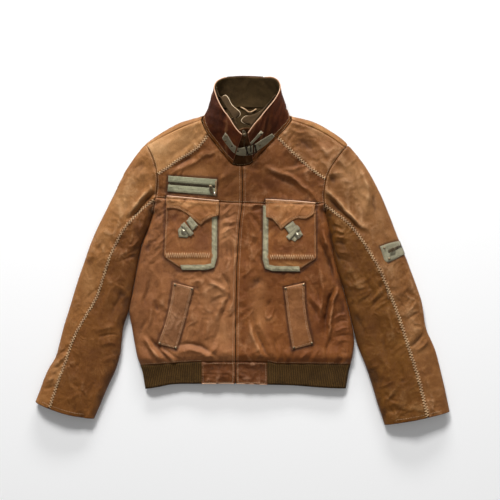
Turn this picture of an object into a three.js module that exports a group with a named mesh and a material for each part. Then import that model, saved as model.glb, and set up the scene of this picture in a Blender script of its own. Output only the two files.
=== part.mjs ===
// Worn leather blouson jacket, laid flat on its back with the sleeves out and the collar fastened by its strap.
// Millimetres. +X across the jacket (the wearer's left is at +X), +Y towards the collar, +Z up from the surface it lies on.
// Every panel is a thin wall. The front is a low rounded sheet over the back, the two meet at the outline's folds.
import * as THREE from "three";

// ---- driving dimensions ----
const LEATHER = 2.2; // leather with its backing
const CANVAS = 1.2; // canvas tape, binding and straps
const KNIT = 2.6; // ribbed knit
const SEAM = 0.25; // each panel stops this far from its seam line
const GAP = 0.4; // between a panel and what lies on it
const LOFT = 17.5; // top of the body above the surface
const RIB_LOFT = 13.5; // top of the hem band
const FOLD = 0.42; // height of the outline's fold, as a share of the loft
const EDGE_TOP = 20; // how far in from the fold the front becomes level
const EDGE_BOTTOM = 13; // and the back
const ZIP_HALF = 2.4; // half the opening between the fronts
const CENTRE = [0.0, -0.4]; // the middle of the outline, which is the origin

// ---- pattern lines, x,y in mm ----
const L = {
  outL: [[-99.1, 326.8], [-128.5, 319], [-155.5, 310.4], [-192.2, 290.3], [-221.6, 270.7], [-238.8, 256.5], [-258.4, 233.2], [-273.1, 212.4], [-286.5, 191.6], [-299.3, 165.9], [-314.2, 134], [-334.3, 94.8], [-353.9, 55.6], [-370.6, 16.4], [-384, -22.8], [-398, -62], [-410.3, -101.2], [-422, -140.4], [-434.3, -179.6], [-444.6, -218.8], [-453.4, -253.1], [-462.9, -272.7], [-473.2, -288.6], [-483.8, -311.9], [-494.5, -341.3], [-505.3, -368.7]],
  outR: [[120.9, 326.3], [150.8, 320.2], [180.2, 310.9], [214.5, 291.8], [243.9, 271.2], [263.5, 251.6], [280.6, 231.3], [295.3, 211.2], [308.8, 190.4], [319.8, 170.8], [329.6, 151.7], [338.7, 132.8], [346.8, 114.4], [354.6, 94.8], [362.5, 75.2], [369.8, 55.6], [377.4, 36], [385.5, 16.4], [393.3, -3.2], [401.2, -22.8], [408.5, -42.4], [415.9, -62], [423.2, -81.6], [430.1, -101.2], [436.5, -120.8], [441.6, -147.7], [445.3, -174.7], [450.7, -196.7], [459.5, -216.3], [469.1, -238.4], [476.4, -262.9], [482, -287.4], [487.9, -311.9], [493.8, -337.6], [499.4, -364.6], [505.3, -392.7]],
  inL: [[-217.7, 90.9], [-228.5, 55.6], [-245.4, 14], [-256.9, -39.9], [-267.2, -96.3], [-276.5, -142.8], [-281.4, -160], [-288, -179.6], [-291.9, -199.2], [-294.4, -223.7], [-296.6, -248.2], [-302.7, -272.7], [-311, -296], [-320.8, -316.8], [-332.3, -341.3], [-345.6, -373.1], [-361.7, -409.9]],
  inR: [[201.8, 94.8], [208.6, 69.1], [216, 28.7], [222.3, -10.5], [232.1, -49.7], [244.4, -88.9], [258.6, -140.4], [268.9, -184.5], [276.5, -217.6], [283.1, -238.4], [291.7, -259.2], [302.7, -287.4], [312.5, -316.8], [321.1, -345], [329.6, -374.4], [337.7, -396.4], [346.8, -425.1]],
  sideL: [[-217.7, 90.9], [-228.5, 55.6], [-245.4, 14], [-256.9, -39.9], [-267.2, -96.3], [-276.5, -142.8], [-274.5, -164.9], [-269.9, -189.4], [-263.3, -228.6], [-257.4, -258], [-249.5, -279.5]],
  sideR: [[201.8, 94.8], [208.6, 69.1], [216, 28.7], [222.3, -10.5], [232.1, -49.7], [244.4, -88.9], [258.6, -140.4], [268.9, -184.5], [273.1, -218.8], [270.8, -248.2], [265, -277.1]],
  ribL: [[-249.5, -279.5], [-243.9, -297.2], [-240.5, -316.8], [-237.3, -337.4]],
  ribR: [[265, -277.1], [260.1, -294.7], [256.6, -316.8], [253, -336.4]],
  cuffL: [[-505.3, -368.7], [-469.1, -384.4], [-417.6, -400.8], [-361.7, -409.9]],
  cuffR: [[505.3, -392.7], [459.5, -403.8], [405.6, -414.8], [346.8, -425.1]],
  hemSeam: [[-249.5, -279.5], [-203.7, -276.6], [-149.8, -272.7], [-99.3, -270.7], [-17, -270.7], [60.6, -271.2], [83.9, -275.1], [155.7, -275.9], [227.7, -277.1], [265, -277.1]],
  hemEdge: [[-237.3, -337.4], [-203.7, -332], [-167.7, -325.6], [-99.3, -324.6], [-17, -324.1], [60.6, -326.6], [119.9, -328.3], [191.7, -333.7], [253, -336.4]],
  zip: [[-1.1, 205.6], [-0.1, 173.2], [-0.4, 116.1], [-7.5, 58.1], [-12.9, -32.6], [-15.8, -140.4], [-17, -243.3], [-17, -270.7]],
  zipHem: [[-17, -270.7], [-17, -324.1]],
  armL: [[-232.9, 256], [-219.4, 230.1], [-208.6, 195.3], [-206.4, 164.4], [-210.8, 127.9], [-217.7, 90.9]],
  armR: [[250.3, 250.1], [229, 222.7], [211.6, 195.3], [202.2, 168.3], [198.1, 132.8], [201.8, 94.8]],
  armBL: [[-238.8, 256.5], [-226.5, 222.2], [-220.6, 185.5], [-218.2, 143.8], [-217.7, 90.9]],
  armBR: [[255.2, 255], [231.6, 222.2], [213.3, 185.5], [203.2, 143.8], [201.8, 94.8]],
  shL: [[-232.9, 256], [-189.8, 279.5], [-145.7, 300.1], [-100.3, 317]],
  shR: [[250.3, 250.1], [212, 277.6], [170.4, 299.1], [120.2, 316.5]],
  yokL: [[-206.9, 185], [-182.4, 200.2], [-156.2, 220.3], [-128.5, 235.7], [-107.7, 250.4], [-94.2, 265.1], [-83.7, 281]],
  yokR: [[203.2, 172.5], [167, 198.9], [132.7, 229.1], [106.7, 254.1], [84.6, 275.1]],
  colL: [[-100.3, 317], [-94.2, 300.6], [-83.7, 281], [-63.3, 254.1], [-42.8, 228.3], [-24.4, 209], [-1.1, 205.6]],
  colR: [[120.2, 316.5], [105.5, 295.7], [84.6, 275.1], [62.6, 253.3], [39.3, 229.6], [19.7, 210], [-1.1, 205.6]],
  neckB: [[-99.1, 326.8], [-88.1, 334.4], [-67.3, 340.8], [-30.5, 344.2], [8.7, 345.2], [47.9, 344.2], [87.1, 340.8], [109.1, 334.4], [120.9, 326.3]],
  chest: [[-210.8, 127.9], [-184.9, 126.9], [-57.5, 118.3], [-0.4, 116.1], [55.2, 114.4], [165.5, 112.9], [198.8, 116.4]],
  zzL: [[-211.3, 125.4], [-236.3, 107.1], [-262.5, 81.8], [-282.9, 58.1], [-298.8, 32.3], [-311.8, 6.6], [-325, -25.2], [-339.7, -71.8], [-355.1, -115.6], [-380.4, -158.8], [-402.2, -196.7], [-416.4, -229.3], [-425.9, -260.4], [-438.7, -294.7], [-451.4, -330], [-469.1, -384.4]],
  zzR: [[199.3, 110.7], [226.7, 90.9], [256.1, 67.9], [283.1, 36], [304.4, 2.7], [332.1, -44.8], [356.1, -100.5], [380.1, -162.4], [404.1, -237.9], [428.1, -313.6], [450.2, -406]],
  bkL: [[-218.2, 143.8], [-280.4, 48.3], [-324.5, -30.1], [-356.4, -115.9], [-383.3, -194.3], [-405.4, -267.8], [-427.4, -397.6]],
  bkR: [[203.2, 143.8], [263.5, 65.4], [305.1, 1.7], [344.3, -84], [371.3, -169.8], [393.3, -255.5], [422.7, -411.1]],
};
for (const k in L) L[k] = L[k].map(([x, y]) => [x - CENTRE[0], y - CENTRE[1]]);
const M = (x, y) => [x - CENTRE[0], y - CENTRE[1]];

// ---- plane curves ----
const hyp = Math.hypot;
const lerp = (a, b, t) => a.map((v, i) => v + (b[i] - v) * t);
const lengthOf = (p) => p.slice(1).reduce((s, q, i) => s + hyp(...q.map((v, k) => v - p[i][k])), 0);
// A denser curve through the points.
function curve(p, n = 8) {
  const out = [];
  for (let i = 0; i + 1 < p.length; i++) {
    const a = p[Math.max(i - 1, 0)], b = p[i], c = p[i + 1], d = p[Math.min(i + 2, p.length - 1)];
    for (let k = 0; k < n; k++) {
      const t = k / n;
      out.push(b.map((v, m) => 0.5 * (2 * v + (c[m] - a[m]) * t + (2 * a[m] - 5 * v + 4 * c[m] - d[m]) * t * t + (3 * v - a[m] - 3 * c[m] + d[m]) * t * t * t)));
    }
  }
  out.push(p[p.length - 1]);
  return out;
}
// Points at the given distances along a polyline.
function at(p, ss) {
  const cum = [0];
  for (let i = 1; i < p.length; i++) cum.push(cum[i - 1] + hyp(...p[i].map((v, k) => v - p[i - 1][k])));
  return ss.map((s) => {
    let i = 1;
    while (i < p.length - 1 && cum[i] < s) i++;
    return lerp(p[i - 1], p[i], Math.min(1, Math.max(0, (s - cum[i - 1]) / (cum[i] - cum[i - 1]))));
  });
}
// n steps along a polyline, with closer points from the start (head) and from the end (tail), given as distances.
function steps(p, n, head = [], tail = []) {
  const len = lengthOf(p), a = head.length ? head[head.length - 1] : 0, b = len - (tail.length ? tail[tail.length - 1] : 0);
  const m = n - head.length - tail.length, ss = [0, ...head];
  for (let i = 1; i < m; i++) ss.push(a + ((b - a) * i) / m);
  ss.push(b);
  for (let i = tail.length - 2; i >= 0; i--) ss.push(len - tail[i]);
  if (tail.length) ss.push(len);
  return at(p, ss);
}
const rev = (p) => [...p].reverse();
const join = (...ps) => ps.reduce((a, p) => [...a, ...(a.length ? p.slice(1) : p)], []);
const nearest = (p, x, y) => {
  let best = [1e9, 0, 0];
  for (let i = 0; i + 1 < p.length; i++) {
    const [ax, ay] = p[i], dx = p[i + 1][0] - ax, dy = p[i + 1][1] - ay;
    const t = Math.min(1, Math.max(0, ((x - ax) * dx + (y - ay) * dy) / (dx * dx + dy * dy || 1)));
    const cx = ax + dx * t, cy = ay + dy * t, d = hyp(x - cx, y - cy);
    if (d < best[0]) best = [d, cx, cy];
  }
  return best;
};
// The part of a line between its points nearest to two marks.
function between(p, m0, m1) {
  const where = ([x, y]) => {
    let best = [1e9, 0], s = 0;
    for (let i = 0; i + 1 < p.length; i++) {
      const [d, cx, cy] = nearest([p[i], p[i + 1]], x, y);
      if (d < best[0]) best = [d, s + hyp(cx - p[i][0], cy - p[i][1])];
      s += hyp(p[i + 1][0] - p[i][0], p[i + 1][1] - p[i][1]);
    }
    return best[1];
  };
  const a = where(m0), b = where(m1), n = 24;
  return at(p, Array.from({ length: n + 1 }, (_, i) => a + ((b - a) * i) / n));
}

const W = {};
for (const k in L) W[k] = curve(L[k]);
// The sleeves and the sides touch from the armpit down, so each is drawn in by 1.3 mm there.
const apart = (p, dx) => p.map(([x, y]) => [x + dx * Math.min(1, Math.max(0, (L.inL[0][1] - y) / 60)), y]);
W.inL = apart(W.inL, -1.3); W.sideL = apart(W.sideL, 1.3); W.ribL = apart(W.ribL, 1.3);
W.inR = apart(W.inR, 1.3); W.sideR = apart(W.sideR, -1.3); W.ribR = apart(W.ribR, -1.3);
const FOLDS = [W.outL, W.inL, W.sideL, W.ribL, W.outR, W.inR, W.sideR, W.ribR];

// ---- the height of the laid jacket ----
// Ridges and troughs: a line, its half width, its height.
const R = (a, w, ...p) => ({ a, w, p: p.map(([x, y]) => M(x, y)) });
const RIDGES = [
  R(8, 62, [-190, 222], [-246, 124], [-315, -28], [-351, -145], [-383, -243], [-432, -385]),
  R(8, 62, [214, 222], [263, 124], [325, -23], [366, -170], [391, -292], [425, -403]),
  R(10, 52, [-97, 308], [-67, 247], [-26, 198], [-1, 193], [38, 210], [85, 259], [116, 308]),
  R(3, 40, [200, 51], [214, -11], [232, -84]),
];
const smooth = (t) => { t = Math.min(1, Math.max(0, t)); return t * t * (3 - 2 * t); };
function loft(x, y) {
  let h = LOFT;
  for (const r of RIDGES) { const [d] = nearest(r.p, x, y); h += r.a * Math.exp(-((d / r.w) ** 2)); }
  const [, , sy] = nearest(W.hemSeam, x, y);
  if (Math.abs(x - (L.hemSeam[0][0] + L.hemSeam[9][0]) / 2) < 262 && y < sy + 60) {
    const s = y - sy;
    h += 3.5 * Math.exp(-(((s - 22) / 16) ** 2));
    h = RIB_LOFT + (h - RIB_LOFT) * smooth((s + 2) / 18);
  }
  return h;
}
// [height, nx, ny, nz] of the top sheet's outer face, or the bottom sheet's.
function sheet(x, y, top) {
  let d = 1e9, gx = 0, gy = 0;
  for (const f of FOLDS) {
    const [e, cx, cy] = nearest(f, x, y);
    if (e < d) { d = e; gx = (x - cx) / (e || 1); gy = (y - cy) / (e || 1); }
  }
  const h = loft(x, y), e = 0.5, hx = (loft(x + e, y) - h) / e, hy = (loft(x, y + e) - h) / e;
  const r = top ? EDGE_TOP : EDGE_BOTTOM, q = Math.min(1, Math.max(0, d - SEAM) / r), E = Math.sqrt(1 - (1 - q) ** 2);
  const mid = FOLD * h, A = top ? h - mid : -mid, far = top ? 1 : 0;
  const z = mid + A * E, s = (far - FOLD) * E + FOLD;
  const k = (A * (1 - q)) / r;
  let n = [-(s * hx * E) - k * gx, -(s * hy * E) - k * gy, E];
  if (!top) n = n.map((v) => -v);
  const l = hyp(...n);
  return [z, n[0] / l, n[1] / l, n[2] / l];
}

// ---- solids ----
const root = new THREE.Group();
const looks = {
  leather: new THREE.MeshStandardMaterial({ color: 0x8f5f38, roughness: 0.55 }),
  tan: new THREE.MeshStandardMaterial({ color: 0x9d6e42, roughness: 0.55 }),
  dark_leather: new THREE.MeshStandardMaterial({ color: 0x5a3018, roughness: 0.55 }),
  canvas: new THREE.MeshStandardMaterial({ color: 0x8d8865, roughness: 0.9 }),
  strap: new THREE.MeshStandardMaterial({ color: 0x5b5540, roughness: 0.9 }),
  knit: new THREE.MeshStandardMaterial({ color: 0x3f2d12, roughness: 0.95 }),
  metal: new THREE.MeshStandardMaterial({ color: 0x6b6250, roughness: 0.4, metalness: 1 }),
};
function add(name, geometry, look, parent = root) {
  const mesh = new THREE.Mesh(geometry, looks[look]);
  mesh.name = name;
  parent.add(mesh);
  return mesh;
}
// A closed wall: grids of outer and inner points, rows by columns. has(j, i) says which cells there are.
function wall(outer, inner, has = () => true) {
  const rows = outer.length, cols = outer[0].length, pos = [], cells = [], idx = [], seen = new Set();
  const o = (j, i) => j * cols + i, n = (k) => k + rows * cols;
  for (const g of [outer, inner]) for (const r of g) for (const p of r) pos.push(...p);
  for (let j = 0; j + 1 < rows; j++) for (let i = 0; i + 1 < cols; i++)
    if (has(j, i)) cells.push([o(j, i), o(j, i + 1), o(j + 1, i + 1), o(j + 1, i)]);
  for (const c of cells) for (let k = 0; k < 4; k++) seen.add(c[k] + "_" + c[(k + 1) % 4]);
  for (const c of cells) {
    idx.push(c[0], c[1], c[2], c[0], c[2], c[3], n(c[0]), n(c[2]), n(c[1]), n(c[0]), n(c[3]), n(c[2]));
    for (let k = 0; k < 4; k++) {
      const p = c[k], q = c[(k + 1) % 4];
      if (!seen.has(q + "_" + p)) idx.push(p, n(p), n(q), p, n(q), q);
    }
  }
  let vol = 0;
  for (let t = 0; t < idx.length; t += 3) {
    const [a, b, c] = [0, 1, 2].map((k) => pos.slice(idx[t + k] * 3, idx[t + k] * 3 + 3));
    vol += a[0] * (b[1] * c[2] - b[2] * c[1]) + a[1] * (b[2] * c[0] - b[0] * c[2]) + a[2] * (b[0] * c[1] - b[1] * c[0]);
  }
  if (vol < 0) for (let t = 0; t < idx.length; t += 3) [idx[t + 1], idx[t + 2]] = [idx[t + 2], idx[t + 1]];
  const g = new THREE.BufferGeometry();
  g.setAttribute("position", new THREE.Float32BufferAttribute(pos, 3));
  g.setIndex(idx);
  return g.toNonIndexed();
}
// A patch between four lines: c0 and c1 run from a to b; a and b run from c0 to c1.
function coons(c0, c1, a, b) {
  const share = (p) => { const l = lengthOf(p); let s = 0; return p.map((q, i) => (s += i ? hyp(...q.map((v, k) => v - p[i - 1][k])) : 0) / l); };
  const mean = (p, q) => { const s = share(p), t = share(q); return s.map((v, i) => (v + t[i]) / 2); };
  const us = mean(c0, c1), vs = mean(a, b), n = c0.length - 1, m = a.length - 1;
  if (c1.length !== c0.length || b.length !== a.length) throw new Error("patch sides differ: " + [c0.length, c1.length, a.length, b.length]);
  return vs.map((v, j) => us.map((u, i) => c0[0].map((_, k) =>
    (1 - v) * c0[i][k] + v * c1[i][k] + (1 - u) * a[j][k] + u * b[j][k]
    - ((1 - u) * (1 - v) * c0[0][k] + u * (1 - v) * c0[n][k] + (1 - u) * v * c1[0][k] + u * v * c1[n][k]))));
}
// The grid with its edges drawn in by g, in the plane. sides: which of c0, b, c1, a are drawn in.
function inset(grid, g = SEAM, sides = [1, 1, 1, 1]) {
  const rows = grid.length, cols = grid[0].length, ring = [];
  for (let i = 0; i < cols - 1; i++) ring.push([0, i, 0]);
  for (let j = 0; j < rows - 1; j++) ring.push([j, cols - 1, 1]);
  for (let i = cols - 1; i > 0; i--) ring.push([rows - 1, i, 2]);
  for (let j = rows - 1; j > 0; j--) ring.push([j, 0, 3]);
  const pts = ring.map(([j, i]) => grid[j][i]), n = pts.length;
  let area = 0;
  pts.forEach((p, i) => { const q = pts[(i + 1) % n]; area += p[0] * q[1] - q[0] * p[1]; });
  const turn = area > 0 ? 1 : -1;
  const out = grid.map((r) => r.map((p) => [...p]));
  ring.forEach(([j, i, side], k) => {
    const p = pts[k], a = pts[(k + n - 1) % n], b = pts[(k + 1) % n];
    const before = ring[(k + n - 1) % n][2];
    const e0 = [p[0] - a[0], p[1] - a[1]], e1 = [b[0] - p[0], b[1] - p[1]], l0 = hyp(...e0), l1 = hyp(...e1);
    const n0 = [(-e0[1] / l0) * turn, (e0[0] / l0) * turn], n1 = [(-e1[1] / l1) * turn, (e1[0] / l1) * turn];
    const g0 = sides[before] * g, g1 = sides[side] * g, det = n0[0] * n1[1] - n0[1] * n1[0];
    const m = Math.abs(det) > 0.15 ? [(g0 * n1[1] - g1 * n0[1]) / det, (g1 * n0[0] - g0 * n1[0]) / det] : [(n0[0] * g0 + n1[0] * g1) / 2, (n0[1] * g0 + n1[1] * g1) / 2];
    out[j][i] = [p[0] + m[0], p[1] + m[1]];
  });
  return out;
}
// Plane grid to a wall that follows the top or bottom sheet, thick mm deep, lifted by lift.
const follow = (grid, top, thick, lift = 0, shift = 0) => {
  const outer = [], inner = [];
  grid.forEach((r) => {
    outer.push([]); inner.push([]);
    r.forEach(([x, y]) => {
      const [z, nx, ny, nz] = sheet(x, y, top), o = lift > 0 ? lift + thick : 0;
      outer[outer.length - 1].push([x + nx * o, y + ny * o, z + shift + nz * o]);
      inner[inner.length - 1].push([x + nx * (o - thick), y + ny * (o - thick), z + shift + nz * (o - thick)]);
    });
  });
  return [outer, inner];
};
const beside = ([o1, i1], [o2, i2]) => [o1.map((r, j) => [...r, ...o2[j].slice(1)]), i1.map((r, j) => [...r, ...i2[j].slice(1)])];
// At an outline fold inside one piece both sheets meet at the fold's own height.
function level([outer, inner], col) {
  outer.forEach((r, j) => {
    const [x, y] = r[col], h = loft(x, y) * FOLD, s = inner[j][col];
    r[col] = [x, y, h]; inner[j][col] = [s[0], s[1], h];
  });
  return [outer, inner];
}

// ---- shared seam samples ----
const HEAD = [1, 3.5, 8, 14.5, 22];
const armS = {}, chestS = {}, yokeS = {}, collarS = {};
for (const s of ["L", "R"]) {
  const arm = W["arm" + s], out = W["out" + s], sgn = s === "L" ? 0 : 1;
  const tip = L["armB" + s][0];
  armS["0" + s] = steps([tip, arm[0]], 2, [1.2]);
  armS["a" + s] = steps(between(arm, L["arm" + s][0], L["yok" + s][sgn ? 0 : 0]), 4);
  armS["b" + s] = steps(between(arm, L["yok" + s][0], sgn ? L.chest[6] : L.chest[0]), 3);
  armS["c" + s] = steps(between(arm, sgn ? L.chest[6] : L.chest[0], L["arm" + s][5]), 2);
}
const zipTop = L.zip[0], zipChest = L.chest[3], zipHem = L.zip[7];
chestS.L = steps(between(W.chest, L.chest[0], zipChest), 11);
chestS.R = steps(rev(between(W.chest, zipChest, L.chest[6])), 11);
yokeS.L = steps(W.yokL, 6); yokeS.R = steps(W.yokR, 6);
const fix = (p, a, b) => { p[0] = a; p[p.length - 1] = b; return p; };
for (const s of ["L", "R"]) {
  fix(armS["b" + s], armS["a" + s][4], chestS[s][0]); armS["c" + s][0] = chestS[s][0];
  yokeS[s][0] = armS["a" + s][4];
  const c = W["col" + s], mark = L["yok" + s][L["yok" + s].length - 1];
  collarS["a" + s] = fix(steps(between(c, L["col" + s][0], mark), 4), L["col" + s][0], yokeS[s][6]);
  collarS["b" + s] = fix(steps(between(c, mark, zipTop), 5), yokeS[s][6], zipTop);
}
armS.aL[0] = L.shL[0]; armS.aR[0] = L.shR[0]; armS["0L"][2] = L.shL[0]; armS["0R"][2] = L.shR[0];

// the hem seam, from each side seam past the tab's corner to the zip
const hemS = {};
for (const s of ["L", "R"]) {
  const corner = W["side" + s][W["side" + s].length - 1], tab = L.hemSeam[s === "L" ? 3 : 5];
  hemS[s] = join(fix(steps(between(W.hemSeam, corner, tab), 8, HEAD.slice(0, 4)), corner, tab), fix(steps(between(W.hemSeam, tab, zipHem), 3), tab, zipHem));
}

// ---- body panels ----
const panel = (name, grid, look, sides) => add(name, wall(...follow(inset(grid, SEAM, sides), true, LEATHER)), look);
const away = (p, d) => p.map(([x, y]) => [x + d, y]); // the zip's opening
for (const s of ["L", "R"]) {
  const side = s === "L" ? "right" : "left", z = s === "L" ? -ZIP_HALF : ZIP_HALF; // the wearer's side
  const sh = steps(W["sh" + s], 6);
  fix(sh, armS["a" + s][0], collarS["a" + s][0]);
  panel("yoke_" + side, coons(sh, yokeS[s], armS["a" + s], collarS["a" + s]), "tan");
  const zc = away(between(W.zip, zipTop, zipChest), z), top = join(yokeS[s], collarS["b" + s]), low = chestS[s];
  const top2 = [...top.slice(0, -1), zc[0]], low2 = [...low.slice(0, -1), zc[24]];
  panel("chest_" + side, coons(top2, low2, armS["b" + s], fix(steps(zc, 3), top2[11], low2[11])), "leather");
  // lower front: from the chest seam to the hem seam
  const corner = W["side" + s][W["side" + s].length - 1];
  const a = join(armS["c" + s], steps(W["side" + s], 11, [], [5, 12, 20, 31]));
  const zl = away(between(W.zip, zipChest, zipHem), z);
  const hem2 = [...hemS[s].slice(0, -1), zl[24]];
  const b = steps(zl, 13, [], [5, 12, 20, 31]);
  panel("front_" + side, coons(low2, hem2, a, fix(b, low2[11], hem2[11])), "leather");
}

// ---- back panel: the shoulders turn over to the front as far as the shoulder seams ----
const armBack = {};
for (const s of ["L", "R"]) {
  const a = W["armB" + s], k = L["armB" + s];
  armBack["up" + s] = fix(steps(between(a, k[0], k[3]), 5, [1.2, 5]), k[0], k[3]); // from the shoulder fold to the back sleeve seam
  armBack["low" + s] = fix(steps(between(a, k[3], k[4]), 4, [], [1.2, 5]), k[3], k[4]); // and on to the armpit
}
{
  const side = (s) => join(fix(steps(rev(W["side" + s]), 8), W["side" + s][W["side" + s].length - 1], L["armB" + s][4]), rev(armBack["low" + s]), rev(armBack["up" + s]));
  const NS = 6, NN = 8;
  const foldL = steps(between(W.outL, L.outL[0], L.armBL[0]), NS).reverse(), foldR = steps(between(W.outR, L.outR[0], L.armBR[0]), NS);
  foldL[0] = L.armBL[0]; foldL[NS] = L.outL[0]; foldR[0] = L.outR[0]; foldR[NS] = L.armBR[0];
  const neck = fix(steps(W.neckB, NN), L.outL[0], L.outR[0]), top = join(foldL, neck, foldR), cols = top.length - 1;
  const left = side("L"), right = side("R"), rows = left.length - 1;
  const bottom = fix(steps(between(W.hemSeam, left[0], right[0]), cols, [1.2, 4, 9, 16], [1.2, 4, 9, 16]), left[0], right[0]);
  hemS.back = bottom;
  const flat = inset(coons(bottom, top, left, right), SEAM, [1, 1, 0, 1]);
  // the neck's edge alone is drawn in
  for (let i = NS; i <= NS + NN; i++) flat[rows][i] = [top[i][0], top[i][1] - SEAM];
  const [outer, inner] = follow(flat, false, LEATHER);
  // over the fold: two more rows on the top sheet, to the shoulder seam
  const seamL = steps(W.shL, NS), seamR = rev(steps(W.shR, NS));
  seamL[0] = L.shL[0]; seamR[NS] = L.shR[0];
  for (const t of [0.3, 1]) {
    const line = top.map((p, i) => {
      const q = i <= NS ? seamL[i] : i >= NS + NN ? seamR[i - NS - NN] : p, l = hyp(q[0] - p[0], q[1] - p[1]) || 1;
      const end = 1 - SEAM / l, r = lerp(p, q, t * (i > NS && i < NS + NN ? 0 : end));
      // the ends of each strip are drawn in along the shoulder
      if (i === 0) r[0] += SEAM; if (i === NS) r[0] -= SEAM; if (i === NS + NN) r[0] += SEAM; if (i === cols) r[0] -= SEAM;
      return r;
    });
    const [o, n] = follow([line], true, LEATHER);
    outer.push(o[0]); inner.push(n[0]);
  }
  for (const i of [...Array(NS + 1).keys(), ...Array.from({ length: NS + 1 }, (_, k) => NS + NN + k)]) {
    const [x, y] = outer[rows][i], h = loft(x, y) * FOLD, l = outer[rows + 1][i], dx = l[0] - x, dy = l[1] - y, d = hyp(dx, dy);
    outer[rows][i] = [x, y, h]; inner[rows][i] = [x + (dx / d) * LEATHER, y + (dy / d) * LEATHER, h];
    if (i === 0) outer[rows][i][0] += 0;
  }
  // along the side seams it stops just under the fronts
  for (let j = 0; j <= 8; j++) for (const c of [0, cols]) { outer[j][c][2] -= 0.3; inner[j][c][2] -= 0.3; }
  add("back_panel", wall(outer, inner, (j, i) => j < rows || i < NS || i >= NS + NN), "leather");
}

// ---- sleeves: the upper piece turns round the outer fold, the under piece round the inner fold ----
const ROWS = 15;
// The left sleeve's pieces are each two solids that meet at the fold, so the sleeve stays open inside.
function halves(name, side, [outer, inner], col, tags) {
  if (side === "right") return add(name + "_" + side, wall(outer, inner), "tan");
  tags.forEach((tag, k) => {
    const cut = (g) => g.map((r) => {
      const q = (k ? r.slice(col) : r.slice(0, col + 1)).map((p) => [...p]);
      q[k ? 0 : col][2] += tag === "_" ? 0.2 : -0.2;
      return q;
    });
    add(name + tag + side, wall(cut(outer), cut(inner)), "tan");
  });
}
for (const s of ["L", "R"]) {
  const side = s === "L" ? "right" : "left", out = W["out" + s], inn = W["in" + s];
  const tip = L["armB" + s][0], cuff = W["cuff" + s], zz = W["zz" + s];
  const A = fix(steps(between(out, tip, cuff[0]), ROWS, [10]), tip, cuff[0]);
  const start = chestS[s][0], zEnd = zz[zz.length - 1], inEnd = cuff[cuff.length - 1];
  const B = fix(steps(zz, ROWS, [10]), start, zEnd), I = fix(steps(inn, ROWS, [10]), armS["c" + s][2], inEnd);
  const armB = W["armB" + s], kStart = L["bk" + s][0], kEnd = L["bk" + s][L["bk" + s].length - 1];
  const K = fix(steps(W["bk" + s], ROWS, [10]), kStart, kEnd);
  // upper piece
  const c0 = join(armS["0" + s], armS["a" + s], armS["b" + s]), cu = between(cuff, cuff[0], zEnd);
  const c1 = fix(steps(cu, c0.length - 1, [1, 3.5, 8]), cuff[0], zEnd);
  const front = follow(inset(coons(c0, c1, A, B)), true, LEATHER);
  const b0 = armBack["up" + s], b1 = steps(between(cuff, cuff[0], kEnd), 5, [1.2, 5]);
  const back = follow(inset(coons(fix(rev(b0), kStart, tip), fix(rev(b1), kEnd, cuff[0]), K, A)), false, LEATHER);
  halves("sleeve_upper", side, level(beside(back, front), 5), 5, ["_back_", "_"]);
  // under piece
  const d0 = armS["c" + s].length === 3 ? steps(armS["c" + s], 6, [], [1, 3.5, 8]) : null, d1 = steps(between(cuff, zEnd, inEnd), 6, [], [1, 3.5, 8]);
  const f2 = follow(inset(coons(fix(d0, start, armS["c" + s][2]), fix(d1, zEnd, inEnd), B, I)), true, LEATHER);
  const e0 = rev(armBack["low" + s]), e1 = steps(between(cuff, inEnd, kEnd), 4, [1.2, 5]);
  const k2 = follow(inset(coons(fix(e0, armS["c" + s][2], kStart), fix(e1, inEnd, kEnd), I, K)), false, LEATHER);
  halves("sleeve_under", side, level(beside(f2, k2), 6), 6, ["_", "_back_"]);
}

// ---- hem: one knit band round the back, and two leather tabs at the zip ----
{
  const seamL = W.hemSeam[0], tabL = L.hemSeam[3], tabR = L.hemSeam[5], eL = L.hemEdge[3], eR = L.hemEdge[5];
  const cL = W.sideL[W.sideL.length - 1], cR = W.sideR[W.sideR.length - 1], hL = W.ribL[W.ribL.length - 1], hR = W.ribR[W.ribR.length - 1];
  const edge = (q0, q1, n, head = [], tail = []) => fix(steps(between(W.hemEdge, q0, q1), n, head, tail), q0, q1);
  const rL = fix(steps(W.ribL, 3), cL, hL), rR = fix(steps(W.ribR, 3), cR, hR), tL = steps([tabL, eL], 3), tR = steps([tabR, eR], 3);
  const near = HEAD.slice(0, 4), n = hemS.back.length - 1;
  const f1 = follow(inset(coons(rev(hemS.L.slice(0, 9)), edge(eL, hL, 8, [], near), tL, rL)), true, KNIT);
  const bk = follow(inset(coons(hemS.back, edge(hL, hR, n, [1.2, 4, 9, 16], [1.2, 4, 9, 16]), rL, rR)), false, KNIT);
  const f2 = follow(inset(coons(hemS.R.slice(0, 9), edge(hR, eR, 8, near), rR, tR)), true, KNIT);
  add("hem_rib", wall(...level(level(beside(beside(f1, bk), f2), 8), 8 + n)), "knit");
  const z0 = L.zip[7], z1 = L.zipHem[1];
  const zl = steps(away([z0, z1], -ZIP_HALF), 3), zr = steps(away([z0, z1], ZIP_HALF), 3);
  panel("hem_tab_right", coons([...hemS.L.slice(8, 11), zl[0]], [...edge(eL, z1, 3).slice(0, 3), zl[3]], tL, zl), "leather");
  panel("hem_tab_left", coons([zr[0], ...rev(hemS.R.slice(8, 11))], [zr[3], ...edge(z1, eR, 3).slice(1)], zr, tR), "leather");
}

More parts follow.
